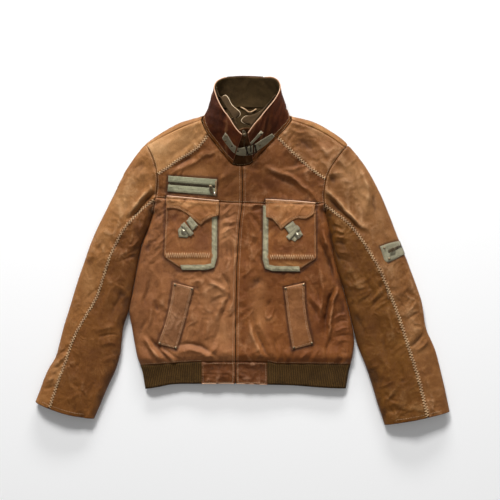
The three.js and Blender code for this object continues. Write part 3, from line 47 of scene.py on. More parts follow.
# ---- driving sizes, the same as the frame's ----
LEATHER, CANVAS, KNIT, SEAM, GAP = 2.2, 1.2, 2.6, 0.15, 0.45
LOFT, RIB_LOFT, FOLD, EDGE_TOP, EDGE_BOTTOM = 17.5, 13.5, 0.42, 20.0, 13.0
ZIP_HALF = 0.8
GRID = 2.45  # the pattern is drawn on a grid of this many mm
def P(u, v): return np.array([(u - 242.45) * GRID, (250.7 - v) * GRID + 0.4])
def PL(*p): return np.array([P(a, b) for a, b in p])
L = {
    "outL": [[-99.1, 326.8], [-128.5, 319], [-155.5, 310.4], [-192.2, 290.3], [-221.6, 270.7], [-238.8, 256.5], [-258.4, 233.2], [-273.1, 212.4], [-286.5, 191.6], [-299.3, 165.9], [-314.2, 134], [-334.3, 94.8], [-353.9, 55.6], [-370.6, 16.4], [-384, -22.8], [-398, -62], [-410.3, -101.2], [-422, -140.4], [-434.3, -179.6], [-444.6, -218.8], [-453.4, -253.1], [-462.9, -272.7], [-473.2, -288.6], [-483.8, -311.9], [-494.5, -341.3], [-505.3, -368.7]],
    "outR": [[120.9, 326.3], [150.8, 320.2], [180.2, 310.9], [214.5, 291.8], [243.9, 271.2], [263.5, 251.6], [280.6, 231.3], [295.3, 211.2], [308.8, 190.4], [319.8, 170.8], [329.6, 151.7], [338.7, 132.8], [346.8, 114.4], [354.6, 94.8], [362.5, 75.2], [369.8, 55.6], [377.4, 36], [385.5, 16.4], [393.3, -3.2], [401.2, -22.8], [408.5, -42.4], [415.9, -62], [423.2, -81.6], [430.1, -101.2], [436.5, -120.8], [441.6, -147.7], [445.3, -174.7], [450.7, -196.7], [459.5, -216.3], [469.1, -238.4], [476.4, -262.9], [482, -287.4], [487.9, -311.9], [493.8, -337.6], [499.4, -364.6], [505.3, -392.7]],
    "inL": [[-217.7, 90.9], [-228.5, 55.6], [-245.4, 14], [-256.9, -39.9], [-267.2, -96.3], [-276.5, -142.8], [-281.4, -160], [-288, -179.6], [-291.9, -199.2], [-294.4, -223.7], [-296.6, -248.2], [-302.7, -272.7], [-311, -296], [-320.8, -316.8], [-332.3, -341.3], [-345.6, -373.1], [-361.7, -409.9]],
    "inR": [[201.8, 94.8], [208.6, 69.1], [216, 28.7], [222.3, -10.5], [232.1, -49.7], [244.4, -88.9], [258.6, -140.4], [268.9, -184.5], [276.5, -217.6], [283.1, -238.4], [291.7, -259.2], [302.7, -287.4], [312.5, -316.8], [321.1, -345], [329.6, -374.4], [337.7, -396.4], [346.8, -425.1]],
    "sideL": [[-217.7, 90.9], [-228.5, 55.6], [-245.4, 14], [-256.9, -39.9], [-267.2, -96.3], [-276.5, -142.8], [-274.5, -164.9], [-269.9, -189.4], [-263.3, -228.6], [-257.4, -258], [-249.5, -279.5]],
    "sideR": [[201.8, 94.8], [208.6, 69.1], [216, 28.7], [222.3, -10.5], [232.1, -49.7], [244.4, -88.9], [258.6, -140.4], [268.9, -184.5], [273.1, -218.8], [270.8, -248.2], [265, -277.1]],
    "ribL": [[-249.5, -279.5], [-243.9, -297.2], [-240.5, -316.8], [-237.3, -337.4]],
    "ribR": [[265, -277.1], [260.1, -294.7], [256.6, -316.8], [253, -336.4]],
    "cuffL": [[-505.3, -368.7], [-469.1, -384.4], [-417.6, -400.8], [-361.7, -409.9]],
    "cuffR": [[505.3, -392.7], [459.5, -403.8], [405.6, -414.8], [346.8, -425.1]],
    "hemSeam": [[-249.5, -279.5], [-203.7, -276.6], [-149.8, -272.7], [-99.3, -270.7], [-17, -270.7], [60.6, -271.2], [83.9, -275.1], [155.7, -275.9], [227.7, -277.1], [265, -277.1]],
    "hemEdge": [[-237.3, -337.4], [-203.7, -332], [-167.7, -325.6], [-99.3, -324.6], [-17, -324.1], [60.6, -326.6], [119.9, -328.3], [191.7, -333.7], [253, -336.4]],
    "zip": [[-1.1, 205.6], [-0.1, 173.2], [-0.4, 116.1], [-7.5, 58.1], [-12.9, -32.6], [-15.8, -140.4], [-17, -243.3], [-17, -270.7]],
    "zipHem": [[-17, -270.7], [-17, -324.1]],
    "armL": [[-232.9, 256], [-219.4, 230.1], [-208.6, 195.3], [-206.4, 164.4], [-210.8, 127.9], [-217.7, 90.9]],
    "armR": [[250.3, 250.1], [229, 222.7], [211.6, 195.3], [202.2, 168.3], [198.1, 132.8], [201.8, 94.8]],
    "armBL": [[-238.8, 256.5], [-226.5, 222.2], [-220.6, 185.5], [-218.2, 143.8], [-217.7, 90.9]],
    "armBR": [[255.2, 255], [231.6, 222.2], [213.3, 185.5], [203.2, 143.8], [201.8, 94.8]],
    "shL": [[-232.9, 256], [-189.8, 279.5], [-145.7, 300.1], [-100.3, 317]],
    "shR": [[250.3, 250.1], [212, 277.6], [170.4, 299.1], [120.2, 316.5]],
    "yokL": [[-206.9, 185], [-182.4, 200.2], [-156.2, 220.3], [-128.5, 235.7], [-107.7, 250.4], [-94.2, 265.1], [-83.7, 281]],
    "yokR": [[203.2, 172.5], [167, 198.9], [132.7, 229.1], [106.7, 254.1], [84.6, 275.1]],
    "colL": [[-100.3, 317], [-94.2, 300.6], [-83.7, 281], [-63.3, 254.1], [-42.8, 228.3], [-24.4, 209], [-1.1, 205.6]],
    "colR": [[120.2, 316.5], [105.5, 295.7], [84.6, 275.1], [62.6, 253.3], [39.3, 229.6], [19.7, 210], [-1.1, 205.6]],
    "neckB": [[-99.1, 326.8], [-88.1, 334.4], [-67.3, 340.8], [-30.5, 344.2], [8.7, 345.2], [47.9, 344.2], [87.1, 340.8], [109.1, 334.4], [120.9, 326.3]],
    "chest": [[-210.8, 127.9], [-184.9, 126.9], [-57.5, 118.3], [-0.4, 116.1], [55.2, 114.4], [165.5, 112.9], [198.8, 116.4]],
    "zzL": [[-211.3, 125.4], [-236.3, 107.1], [-262.5, 81.8], [-282.9, 58.1], [-298.8, 32.3], [-311.8, 6.6], [-325, -25.2], [-339.7, -71.8], [-355.1, -115.6], [-380.4, -158.8], [-402.2, -196.7], [-416.4, -229.3], [-425.9, -260.4], [-438.7, -294.7], [-451.4, -330], [-469.1, -384.4]],
    "zzR": [[199.3, 110.7], [226.7, 90.9], [256.1, 67.9], [283.1, 36], [304.4, 2.7], [332.1, -44.8], [356.1, -100.5], [380.1, -162.4], [404.1, -237.9], [428.1, -313.6], [450.2, -406]],
    "bkL": [[-218.2, 143.8], [-280.4, 48.3], [-324.5, -30.1], [-356.4, -115.9], [-383.3, -194.3], [-405.4, -267.8], [-427.4, -397.6]],
    "bkR": [[203.2, 143.8], [263.5, 65.4], [305.1, 1.7], [344.3, -84], [371.3, -169.8], [393.3, -255.5], [422.7, -411.1]],
}
L = {k: np.array(v, float) + [0.0, 0.4] for k, v in L.items()}

# ---- plane curves ----
def curve(p, n=8):
    p = np.asarray(p, float); out = []
    for i in range(len(p) - 1):
        a, b, c, d = p[max(i - 1, 0)], p[i], p[i + 1], p[min(i + 2, len(p) - 1)]
        t = (np.arange(n) / n)[:, None]
        out.append(0.5 * (2 * b + (c - a) * t + (2 * a - 5 * b + 4 * c - d) * t * t + (3 * b - a - 3 * c + d) * t ** 3))
    out.append(p[-1:])
    return np.vstack(out)
def cumlen(p):
    return np.concatenate([[0.0], np.cumsum(np.linalg.norm(np.diff(p, axis=0), axis=1))])
def at(p, s):
    c = cumlen(p); s = np.clip(s, 0, c[-1])
    return np.stack([np.interp(s, c, p[:, k]) for k in range(p.shape[1])], axis=1)
def steps(p, n, head=(), tail=()):
    p = np.asarray(p, float); l = cumlen(p)[-1]
    a = head[-1] if len(head) else 0.0; b = l - (tail[-1] if len(tail) else 0.0)
    m = n - len(head) - len(tail)
    s = [0.0, *head] + [a + (b - a) * i / m for i in range(1, m)] + [b]
    s += [l - t for t in tail[-2::-1]] if len(tail) > 1 else []
    if len(tail): s.append(l)
    return at(p, np.array(s))
def nearest(poly, X, Y, chunk=3000):
    """distance, nearest x, nearest y and length along, for flat arrays X, Y"""
    a = poly[:-1]; d = poly[1:] - a; dd = (d ** 2).sum(1); dd[dd == 0] = 1e-9; cum = cumlen(poly)[:-1]; ln = np.sqrt(dd)
    D = np.empty(len(X)); CX = np.empty(len(X)); CYY = np.empty(len(X)); S = np.empty(len(X))
    for i in range(0, len(X), chunk):
        x = X[i:i + chunk, None]; y = Y[i:i + chunk, None]
        t = np.clip(((x - a[:, 0]) * d[:, 0] + (y - a[:, 1]) * d[:, 1]) / dd, 0, 1)
        cx = a[:, 0] + d[:, 0] * t; cy = a[:, 1] + d[:, 1] * t
        e = (x - cx) ** 2 + (y - cy) ** 2
        k = e.argmin(1); r = np.arange(len(k))
        D[i:i + chunk] = np.sqrt(e[r, k]); CX[i:i + chunk] = cx[r, k]; CYY[i:i + chunk] = cy[r, k]; S[i:i + chunk] = cum[k] + t[r, k] * ln[k]
    return D, CX, CYY, S
def between(p, m0, m1, n=48):
    s = nearest(p, np.array([m0[0], m1[0]], float), np.array([m0[1], m1[1]], float))[3]
    return at(p, np.linspace(s[0], s[1], n + 1))
def join(*ps): return np.vstack([ps[0]] + [p[1:] for p in ps[1:]])
def fix(p, a, b): p = p.copy(); p[0] = a; p[-1] = b; return p
W = {k: curve(v) for k, v in L.items()}
def apart(p, dx):
    p = p.copy(); p[:, 0] += dx * np.clip((L["inL"][0, 1] - p[:, 1]) / 60, 0, 1); return p
for k, dx in dict(inL=-0.4, sideL=0.4, ribL=0.4, inR=0.4, sideR=-0.4, ribR=-0.4).items(): W[k] = apart(W[k], dx)
FOLDS = [W[k] for k in ("outL", "inL", "sideL", "ribL", "outR", "inR", "sideR", "ribR")]

# ---- fields over the whole garment, on a fine raster ----
RES = 1.5; X0, Y0, X1, Y1 = -516.0, -436.0, 516.0, 436.0
gx = np.arange(X0, X1 + RES, RES); gy = np.arange(Y0, Y1 + RES, RES)
GX, GY = np.meshgrid(gx, gy)
def sample(F, x, y):
    u = np.clip((x - X0) / RES, 0, len(gx) - 1.001); v = np.clip((y - Y0) / RES, 0, len(gy) - 1.001)
    i = u.astype(int); j = v.astype(int); a = u - i; b = v - j
    return F[j, i] * (1 - a) * (1 - b) + F[j, i + 1] * a * (1 - b) + F[j + 1, i] * (1 - a) * b + F[j + 1, i + 1] * a * b
def window(poly, reach):
    lo = poly.min(0) - reach; hi = poly.max(0) + reach
    i0, i1 = np.searchsorted(gx, [lo[0], hi[0]]); j0, j1 = np.searchsorted(gy, [lo[1], hi[1]])
    return slice(max(j0, 0), min(j1 + 1, len(gy))), slice(max(i0, 0), min(i1 + 1, len(gx)))
def smooth(t): t = np.clip(t, 0, 1); return t * t * (3 - 2 * t)
def noise(x, y, seed, scale, octaves=3, gain=0.5):
    """smooth value noise, about -1 to 1"""
    out = 0; amp = 1; tot = 0
    for o in range(octaves):
        r = np.random.default_rng(seed * 31 + o).uniform(-1, 1, (256, 256))
        u = x / scale * 2 ** o + 57.3 * o; v = y / scale * 2 ** o + 91.7 * o
        i = np.floor(u).astype(int); j = np.floor(v).astype(int); a = smooth(u - i); b = smooth(v - j); i &= 255; j &= 255; i2 = (i + 1) & 255; j2 = (j + 1) & 255
        out = out + amp * (r[j, i] * (1 - a) * (1 - b) + r[j, i2] * a * (1 - b) + r[j2, i] * (1 - a) * b + r[j2, i2] * a * b)
        tot += amp; amp *= gain
    return out / tot * 1.6
# the broad loft, as in the frame
RIDGES = [
    (8, 62, [[-190, 222], [-246, 124], [-315, -28], [-351, -145], [-383, -243], [-432, -385]]),
    (8, 62, [[214, 222], [263, 124], [325, -23], [366, -170], [391, -292], [425, -403]]),
    (10, 52, [[-97, 308], [-67, 247], [-26, 198], [-1, 193], [38, 210], [85, 259], [116, 308]]),
    (3, 40, [[200, 51], [214, -11], [232, -84]]),
]
HR = np.full(GX.shape, LOFT)
for a, w, p in RIDGES:
    d = nearest(np.array(p, float) + [0, 0.4], GX.ravel(), GY.ravel(), 60000)[0].reshape(GX.shape); HR += a * np.exp(-(d / w) ** 2)
hs = W["hemSeam"]; seamY = np.interp(GX, hs[:, 0], hs[:, 1])
hx0, hx1 = L["hemSeam"][0, 0], L["hemSeam"][-1, 0]
HM = (np.abs(GX - (hx0 + hx1) / 2) < 262) & (GY < seamY + 60)
S_ = GY - seamY; hh = HR + 3.5 * np.exp(-(((S_ - 22) / 16) ** 2)); hh = RIB_LOFT + (hh - RIB_LOFT) * smooth((S_ + 2) / 18)
HR = np.where(HM, hh, HR)

# creases: [height, half width, taper 0..1, points]; a negative height is a trough
CREASES = [
    # wearer's right front (left here)
    [-3.0, 4.5, 1, (172, 170), (182, 163), (192, 157), (205, 150)], [2.2, 6, 1, (176, 174), (186, 167), (200, 160.5), (214, 152)],
    [1.6, 4, 1, (188, 158.5), (196, 155), (205, 153.5)], [-1.6, 3.5, 1, (196, 164), (208, 159), (219, 156)],
    [1.5, 7, 1, (206, 190), (224, 178), (236, 170)], [-1.3, 5, 1, (222, 192), (231, 184), (239, 172)],
    [2.6, 3, 1, (153.6, 249), (159, 244.5), (165, 238.8)], [-2.8, 3, 1, (154, 243), (159, 238), (164, 231)], [2.0, 3, 1, (156, 229), (160, 226), (164, 221.5)],
    [-2.4, 3, 1, (155, 221), (159, 218), (165, 214)], [1.8, 3.2, 1, (151, 259), (157, 254), (163, 247)], [-1.8, 3, 1, (150.4, 266), (155, 262), (161, 257)],
    [2.4, 2.6, 1, (221, 216), (227, 211), (233, 206.5)], [-2.4, 2.4, 1, (220.6, 211), (226, 207.5), (231, 204.6)], [2.8, 2.8, 1, (221, 226), (228, 222.5), (236, 221.5)],
    [-2.6, 2.4, 1, (221, 221), (228, 217.5), (236, 214)], [2.2, 2.6, 1, (221, 234), (228, 230.5), (235, 228)], [-2.2, 2.4, 1, (220.4, 230), (227, 227), (235, 225)],
    [-1.9, 2.4, 1, (221, 240), (228, 237), (234, 233.6)], [1.9, 2.8, 1, (234.6, 238), (234.8, 252), (233.4, 276)], [-1.9, 2.6, 1, (230.8, 236), (231.4, 252), (230, 270)],
    [-1.5, 3, 1, (226, 240), (227, 256), (225, 268)], [1.3, 3.5, 1, (223, 246), (224.5, 262), (222, 276)],
    [3.0, 4.5, 1, (206, 277), (214, 283), (221, 289.5), (227, 296.5)], [-3.6, 4, 1, (221.5, 273), (227.5, 281), (230, 290), (228, 301), (224, 312), (219.5, 324)],
    [-2.6, 4, 1, (219.5, 324), (217, 334), (212, 344)], [2.6, 5, 1, (223, 300), (218.5, 311), (214, 321)], [2.0, 3.4, 1, (232.6, 286), (232.8, 300), (229.6, 316)],
    [-2.4, 3.5, 1, (211, 301), (218, 298), (225, 296.5)], [2.0, 3, 1, (199.7, 316), (200, 324), (198, 333)], [-2.2, 3, 1, (203, 316), (203.6, 325), (202, 334)],
    [2.2, 3, 1, (208, 320), (208, 328), (205.5, 338)], [-2.2, 3, 1, (194, 322), (194, 332), (191, 340)], [1.8, 3, 1, (190, 326), (189, 334), (186, 342)],
    [-3.2, 4.5, 1, (179, 345), (189, 343), (199, 344.6), (209, 350), (217, 356)], [2.6, 4.5, 1, (180, 351), (191, 349.5), (202, 352), (212, 357.5)],
    [3.0, 4, 1, (217, 345), (213, 352), (205, 357.5)], [-2.8, 3.6, 1, (222, 341), (219.5, 350), (213, 358)], [1.8, 5, 1, (225, 330), (224, 342), (221, 354)],
    [5.0, 4.4, 1, (143.6, 338), (149, 344), (154, 350), (161.8, 360.4)], [-4.2, 3.6, 1, (144.8, 345), (150.5, 352), (156, 360)], [-4.4, 3.8, 1, (149, 336.5), (156, 344.5), (163, 352), (169, 360.4)],
    [3.8, 3.6, 1, (158, 346.8), (167, 353.5), (177, 361.4)], [-3.0, 3.4, 1, (164, 347.6), (172, 353), (182, 359.6)], [-3.6, 5, 1, (146.4, 318), (144, 327), (141.4, 336.5)],
    [2.8, 5, 1, (152, 300), (150.6, 316), (149, 330)], [-2.2, 5, 1, (157.4, 282), (157.4, 300), (155, 318)], [2.0, 6, 1, (160, 276), (164, 292), (163, 306)],
    [1.8, 5, 1, (146, 282), (141.6, 300), (138.5, 318)], [-2.4, 4, 1, (151, 275), (147.6, 290), (145, 306)], [1.4, 3.4, 1, (178, 274), (186, 277), (197, 277)],
    [-1.8, 3.4, 1, (196, 286), (200, 299), (197, 312)], [1.8, 4.5, 1, (201.6, 284), (206, 294), (205, 306)],
    # wearer's left front (right here)
    [3.0, 4.2, 1, (259, 168.4), (267, 169), (275, 171.5), (289, 176.2), (303, 186), (316, 199)], [-2.2, 4.5, 1, (264, 175), (277, 178), (291, 184), (303, 194)],
    [1.8, 2.8, 1, (276, 171.6), (290, 169.4), (305, 167.4)], [-1.7, 3.2, 1, (290, 166), (300, 164), (308, 165)], [1.6, 3, 1, (300, 176), (308, 172.4), (315, 172)],
    [-1.7, 6, 1, (262, 186), (277, 192), (292, 199)], [1.6, 9, 1, (258, 195), (270, 190.5), (283, 193)], [1.8, 3, 1, (248, 159), (258, 164), (270, 163)], [-1.8, 3.5, 1, (247, 166), (257, 170), (268, 166)],
    [2.8, 2.6, 1, (249, 206.5), (254, 206), (260, 204.6)], [-2.6, 2.4, 1, (250, 210.6), (256, 210.5), (262, 208)], [2.2, 2.6, 1, (247.5, 215), (252, 221), (256.5, 231)],
    [-2.2, 2.4, 1, (251, 214), (256, 220), (260, 228)], [-2.0, 2.6, 1, (246.4, 220), (249, 229), (250, 240)], [1.8, 2.6, 1, (257, 214), (260, 219), (261.4, 225)],
    [1.8, 3, 1, (248, 240), (252, 250), (254, 262)], [-1.8, 3, 1, (252.4, 240), (256.6, 250), (257.4, 262)], [1.5, 4, 1, (246, 262), (247, 276), (246, 290)],
    [-1.6, 3, 1, (256, 268), (258.4, 280), (256, 290)], [2.2, 3, 1, (263, 306), (268.4, 318), (275.5, 306)], [-2.2, 3, 1, (271, 298), (268, 305), (266, 311)],
    [-3.6, 4.2, 1, (252, 314), (256, 331), (264, 348), (271, 358)], [3.0, 4.6, 1, (248, 314), (251, 332), (258, 348), (266, 359)], [2.0, 4, 1, (258, 316), (262.4, 331), (269, 345)],
    [-2.8, 3, 1, (274, 338), (275.6, 348), (274.5, 360)], [2.8, 3, 1, (278.4, 344), (279.6, 352), (277, 361)], [-2.4, 3, 1, (284, 347), (283, 354), (281, 362)],
    [2.4, 3, 1, (288.5, 350), (286.6, 356), (285, 362.6)], [-2.2, 3, 1, (293, 352), (292, 357), (291, 363)], [2.8, 3, 1, (308, 350), (303.4, 355), (299, 363)],
    [-2.6, 3, 1, (313, 349), (309, 356), (306, 363)], [2.4, 3, 1, (317, 346), (314.4, 354), (313, 363)], [-3.4, 3.6, 1, (330.8, 336), (326.4, 350), (326, 363)],
    [2.8, 3, 1, (337, 346), (336, 354), (335, 363)], [-2.6, 3, 1, (341, 344), (341.6, 352), (341, 362)], [2.4, 3, 1, (346, 342), (346.4, 352), (346, 361)],
    [7.0, 4.6, 1, (323.4, 234), (325.4, 243), (330.6, 251), (334.4, 262), (336.6, 274)], [-5.5, 4.4, 1, (319, 236), (321, 247), (326, 256), (330, 268), (331.8, 280)],
    [-3.5, 3.2, 1, (328.4, 233), (330.6, 243), (335, 251), (338.4, 262)], [2.8, 6, 1, (317.6, 262), (321, 278), (322.6, 292)], [-3.0, 5, 1, (313.6, 282), (318, 296), (321, 306)],
    [-6.0, 4.6, 1, (334, 288), (330.4, 297), (327.4, 308), (325, 322), (323.6, 336)], [5.0, 4.4, 1, (338.4, 286), (335, 297), (331.4, 308), (328.8, 322), (327.6, 338)],
    [3.0, 4.6, 1, (323, 286), (321.4, 299), (319.6, 313), (319, 328)], [-3.4, 4, 1, (307.6, 300), (314.4, 309), (319.6, 319)], [2.6, 3.6, 1, (309.4, 295), (316.4, 303), (322, 311)],
    [2.8, 3, 1, (333, 319), (339, 315.4), (347, 314.4)], [-2.6, 3, 1, (333.6, 324), (340, 321.4), (348, 320)], [2.6, 3, 1, (332.4, 332), (339, 328.4), (348, 326.8)], [-2.6, 3, 1, (333, 338.4), (340, 335), (350, 333.4)],
    [2.2, 3, 1, (335, 344), (342, 340), (350, 340)], [-2.6, 3.6, 1, (344, 298), (342, 308), (340.4, 318)], [2.2, 4, 1, (349, 312), (347.4, 324), (346, 336)], [1.6, 5, 1, (316, 232), (316.4, 250), (315, 268)],
    [2.0, 3.2, 1, (318, 214), (321, 222), (322.4, 231)], [-2.4, 3, 1, (321.4, 211), (324.6, 219), (326.4, 228)],
    # yokes
    [2.0, 9, 1, (157, 152), (168, 145.6), (182, 136)], [-1.4, 7, 1, (168, 161), (179, 152), (192, 143)], [1.2, 5, 1, (186, 152), (194, 146), (202, 138)], [-1.5, 4, 1, (196, 126), (199, 133), (200.6, 143)],
    [-1.6, 5, 1, (300, 143), (309, 148), (316, 158)], [1.8, 6, 1, (308, 134), (318, 144), (329, 158)], [-1.4, 4, 1, (306, 159.4), (315, 162), (324, 159.6)], [1.4, 4, 1, (288, 129), (298, 133.6), (309, 133)],
    # wearer's right sleeve (left here)
    [-5.5, 4.6, 1, (130, 220.4), (138, 211), (147, 201), (156, 192)], [3.0, 5.5, 1, (128, 214), (137, 204), (148, 192), (155, 184)], [-1.8, 5, 1, (133, 172), (139, 167.4), (146, 163)],
    [1.6, 7, 1, (131, 185), (140, 178), (150, 170)], [2.6, 5, 1, (145.6, 214), (143, 222), (141, 232)], [-2.6, 4, 1, (149, 217), (147, 227), (143.4, 236)], [-3.2, 3.2, 1, (130, 253), (137, 248.6), (144.6, 243)],
    [2.6, 3.2, 1, (129, 247.6), (136, 243.6), (143, 238)], [-2.0, 3.5, 1, (119, 262), (128, 258.4), (138, 255)], [2.0, 5, 1, (118, 256), (127, 252.4), (134, 250)], [1.8, 8, 1, (114, 270), (110, 292), (103, 312)],
    [-2.2, 7, 1, (124, 282), (119, 300), (111, 318)], [-1.6, 8, 1, (104, 236), (97, 256), (90, 276)], [1.6, 9, 1, (112, 222), (104, 243), (98, 262)], [-1.8, 5, 1, (84, 300), (93, 294), (100, 288)],
    [2.2, 5, 1, (98, 330), (107, 326), (118, 326)], [-2.4, 4, 1, (99, 337), (108, 333.6), (119, 334)], [1.8, 4, 1, (101, 345), (109, 342), (118, 343)], [-2.2, 3.4, 1, (111, 357), (115.6, 353.4), (119.6, 350)],
    [2.0, 4, 1, (103, 362), (110, 357), (117, 355)], [-2.4, 4, 1, (58.4, 356), (65, 350), (72.4, 344)], [2.8, 4, 1, (56, 362.6), (64, 357.6), (72, 351)], [-2.4, 3.6, 1, (49, 369.6), (57, 367), (66, 361)],
    [2.6, 4.4, 1, (46, 381), (52, 378.4), (59, 377)], [-2.0, 4, 1, (43, 388), (51, 386), (59, 386)], [2.0, 3.2, 1, (80, 385), (86, 389.6), (91, 396)], [-1.8, 3.4, 1, (74, 382), (82, 386.6), (87, 395)],
    [1.8, 4, 1, (70, 398), (77, 393), (84, 392)], [-1.8, 5, 1, (98, 372), (94, 384), (90, 394)], [1.6, 5, 1, (89, 366), (87, 378), (80, 388)], [-1.5, 6, 1, (84, 350), (81, 362), (76, 374)],
    # wearer's left sleeve (right here)
    [5.0, 5.6, 1, (324.4, 188.6), (331, 196.4), (339, 205.6), (348, 214.6), (357, 222.4), (366, 229)], [-4.4, 4.2, 1, (326.4, 198), (334, 206), (343, 214.6), (353, 224), (360, 231)],
    [-2.2, 5, 1, (326, 182.4), (336, 179.4), (348, 177)], [2.0, 4, 1, (327, 177.4), (336, 173.6), (345, 172)], [2.6, 6, 1, (361, 170), (364.6, 184), (367, 199), (365.4, 215)], [-2.4, 5, 1, (370, 188), (373, 202), (374, 216)],
    [-2.0, 5, 1, (354, 176), (356, 190), (360, 206)], [-2.0, 3.2, 1, (336, 152), (341, 154.6), (346, 160)], [1.8, 4, 1, (334, 158), (340, 162), (346, 170)], [2.2, 6, 1, (377, 214), (383, 228), (388, 240)],
    [3.0, 3.2, 1, (331.6, 239), (338, 237.6), (346, 239.4)], [-3.2, 3, 1, (331.4, 244), (338, 243), (346.4, 245)], [2.4, 3, 1, (332.6, 231.6), (338, 231.4), (345, 234)], [-2.6, 3, 1, (330, 227), (336, 227), (342, 229.6)],
    [2.0, 4, 1, (335, 251), (343, 252), (350, 256)], [-2.0, 4, 1, (336, 258), (344, 260), (351, 266)], [2.0, 8, 1, (348, 262), (355, 280), (360, 300)], [-2.0, 8, 1, (362, 268), (368, 286), (372, 304)],
    [-3.2, 2.6, 1, (369.6, 306), (376, 300.4), (383.4, 294.6)], [2.8, 2.8, 1, (367.6, 301.4), (374.6, 296), (381, 290.4)], [2.0, 3, 1, (372, 311), (379, 305), (386, 301)], [-1.8, 6, 1, (352, 312), (360, 322), (364, 338)],
    [2.2, 6, 1, (384, 306), (390, 322), (393, 340)], [-2.0, 6, 1, (376, 318), (381, 334), (384, 352)], [-3.4, 3.8, 1, (409, 347.6), (417, 340), (424.4, 330.4)], [3.2, 4, 1, (414, 351.6), (422, 345), (429.4, 337)],
    [-2.2, 4, 1, (404, 322), (412, 315), (421, 309)], [2.2, 4.4, 1, (402, 314), (410, 307), (418, 301)], [-1.6, 6, 1, (394, 282), (402, 276), (408, 268)], [1.8, 6, 1, (398, 292), (406, 287), (413, 281)],
    [2.4, 3, 1, (385.4, 399), (390, 393.6), (394.6, 388.6)], [-2.4, 3, 1, (383.4, 392), (388, 396), (394, 401)], [2.0, 3.6, 1, (378, 385), (385, 384), (392, 380)], [-2.0, 4, 1, (388, 412), (396, 408.6), (405, 410)],
    [2.0, 5, 1, (384, 406), (393, 403.4), (402, 404)], [-2.0, 5, 1, (370, 368), (376, 376), (378, 388)], [2.2, 6, 1, (377, 352), (384, 364), (387, 378)], [-1.8, 5, 1, (396, 356), (400, 370), (401, 386)], [1.8, 6, 1, (420, 366), (426, 380), (431, 396)],
    [-1.8, 5, 1, (414, 372), (420, 386), (424, 400)],
]
# the same sort of creases on the side that lies down
BACK_CREASES = [
    [2.4, 6, 1, (160, 215), (190, 240), (215, 275)], [2.0, 5, 1, (322, 215), (297, 244), (276, 282)], [1.8, 5, 1, (150, 262), (176, 274), (206, 281)], [1.8, 5, 1, (334, 262), (310, 276), (284, 282)],
    [2.2, 6, 1, (200, 130), (230, 138), (262, 137), (290, 129)], [1.6, 5, 1, (206, 146), (240, 154), (280, 147)], [2.0, 5, 1, (150, 330), (180, 338), (214, 334)], [2.0, 5, 1, (345, 330), (312, 341), (280, 334)],
    [1.8, 4, 1, (160, 350), (164, 340), (166, 330)], [1.8, 4, 1, (200, 356), (201, 344), (198, 332)], [1.8, 4, 1, (236, 357), (238, 342), (236, 330)], [1.8, 4, 1, (276, 357), (275, 344), (278, 332)],
    [1.8, 4, 1, (318, 357), (316, 344), (318, 333)], [1.6, 6, 1, (160, 180), (176, 196), (186, 216)], [1.6, 6, 1, (320, 180), (306, 197), (298, 217)], [2.2, 5, 1, (112, 250), (126, 262), (138, 268)],
    [2.2, 5, 1, (376, 250), (360, 262), (344, 268)], [2.0, 5, 1, (80, 320), (96, 330), (116, 334)], [2.0, 5, 1, (410, 320), (392, 332), (366, 336)], [1.8, 4, 1, (62, 360), (78, 368), (96, 370)],
    [1.8, 4, 1, (424, 362), (404, 370), (382, 372)], [1.8, 5, 1, (128, 190), (140, 204), (150, 212)], [1.8, 5, 1, (356, 190), (342, 204), (330, 212)],
]
def crease_field(items, cusp=0.35):
    F = np.zeros(GX.shape); V = np.zeros(GX.shape)
    for h, w, taper, *pts in items:
        p = curve(PL(*pts), 10); sl = window(p, 3.4 * w)
        x = GX[sl].ravel(); y = GY[sl].ravel()
        d, _, _, s = nearest(p, x + 2.6 * noise(x, y, 41, 24, 2), y + 2.6 * noise(x, y, 42, 24, 2), 20000)
        l = cumlen(p)[-1]; t = s / l; h = h * (0.5 + 0.5 * float(smooth(np.array((l - 35) / 60.0)))); w = w * 1.12
        along = np.sin(np.pi * np.clip(t * 0.94 + 0.03, 0, 1)) ** 0.7
        r = d / w
        prof = np.where(h < 0, np.exp(-np.abs(r) ** 1.45), np.exp(-np.abs(r) ** 1.8))
        F[sl] += (h * along * prof).reshape(F[sl].shape)
        # V colours each crease: lighter on a ridge as rubbed wear, darker in a trough as painted shade
        V[sl] += (np.sign(h) * min(abs(h), 4) / 3 * along * np.exp(-(r * 1.25) ** 2)).reshape(F[sl].shape)
    return F, V
CR, CV = crease_field(CREASES)
BR, BV = crease_field(BACK_CREASES)
# fine wrinkling: ridged noise, stretched along the garment's pull
def ridged(x, y, seed, scale, stretch, ang):
    c, s = math.cos(ang), math.sin(ang)
    u = x * c + y * s; v = -x * s + y * c
    u = u + noise(x, y, seed + 5, scale * 2.2, 2) * scale * 0.8; v = v + noise(x, y, seed + 9, scale * 2.2, 2) * scale * 0.8
    n = noise(u / stretch, v, seed, scale, 2)
    return 1 - np.abs(n) * 1.5
patchy = smooth(noise(GX, GY, 3, 90, 2) * 0.9 + 0.5)
fine = (ridged(GX, GY, 11, 20, 2.4, 1.1) * 0.55 + ridged(GX, GY, 12, 24, 2.2, -0.9) * 0.5 + ridged(GX, GY, 13, 12, 1.6, 0.2) * 0.22) * (0.35 + 0.8 * patchy)
broad = noise(GX, GY, 21, 70, 2) * 1.5 + noise(GX, GY, 22, 34, 2) * 0.7
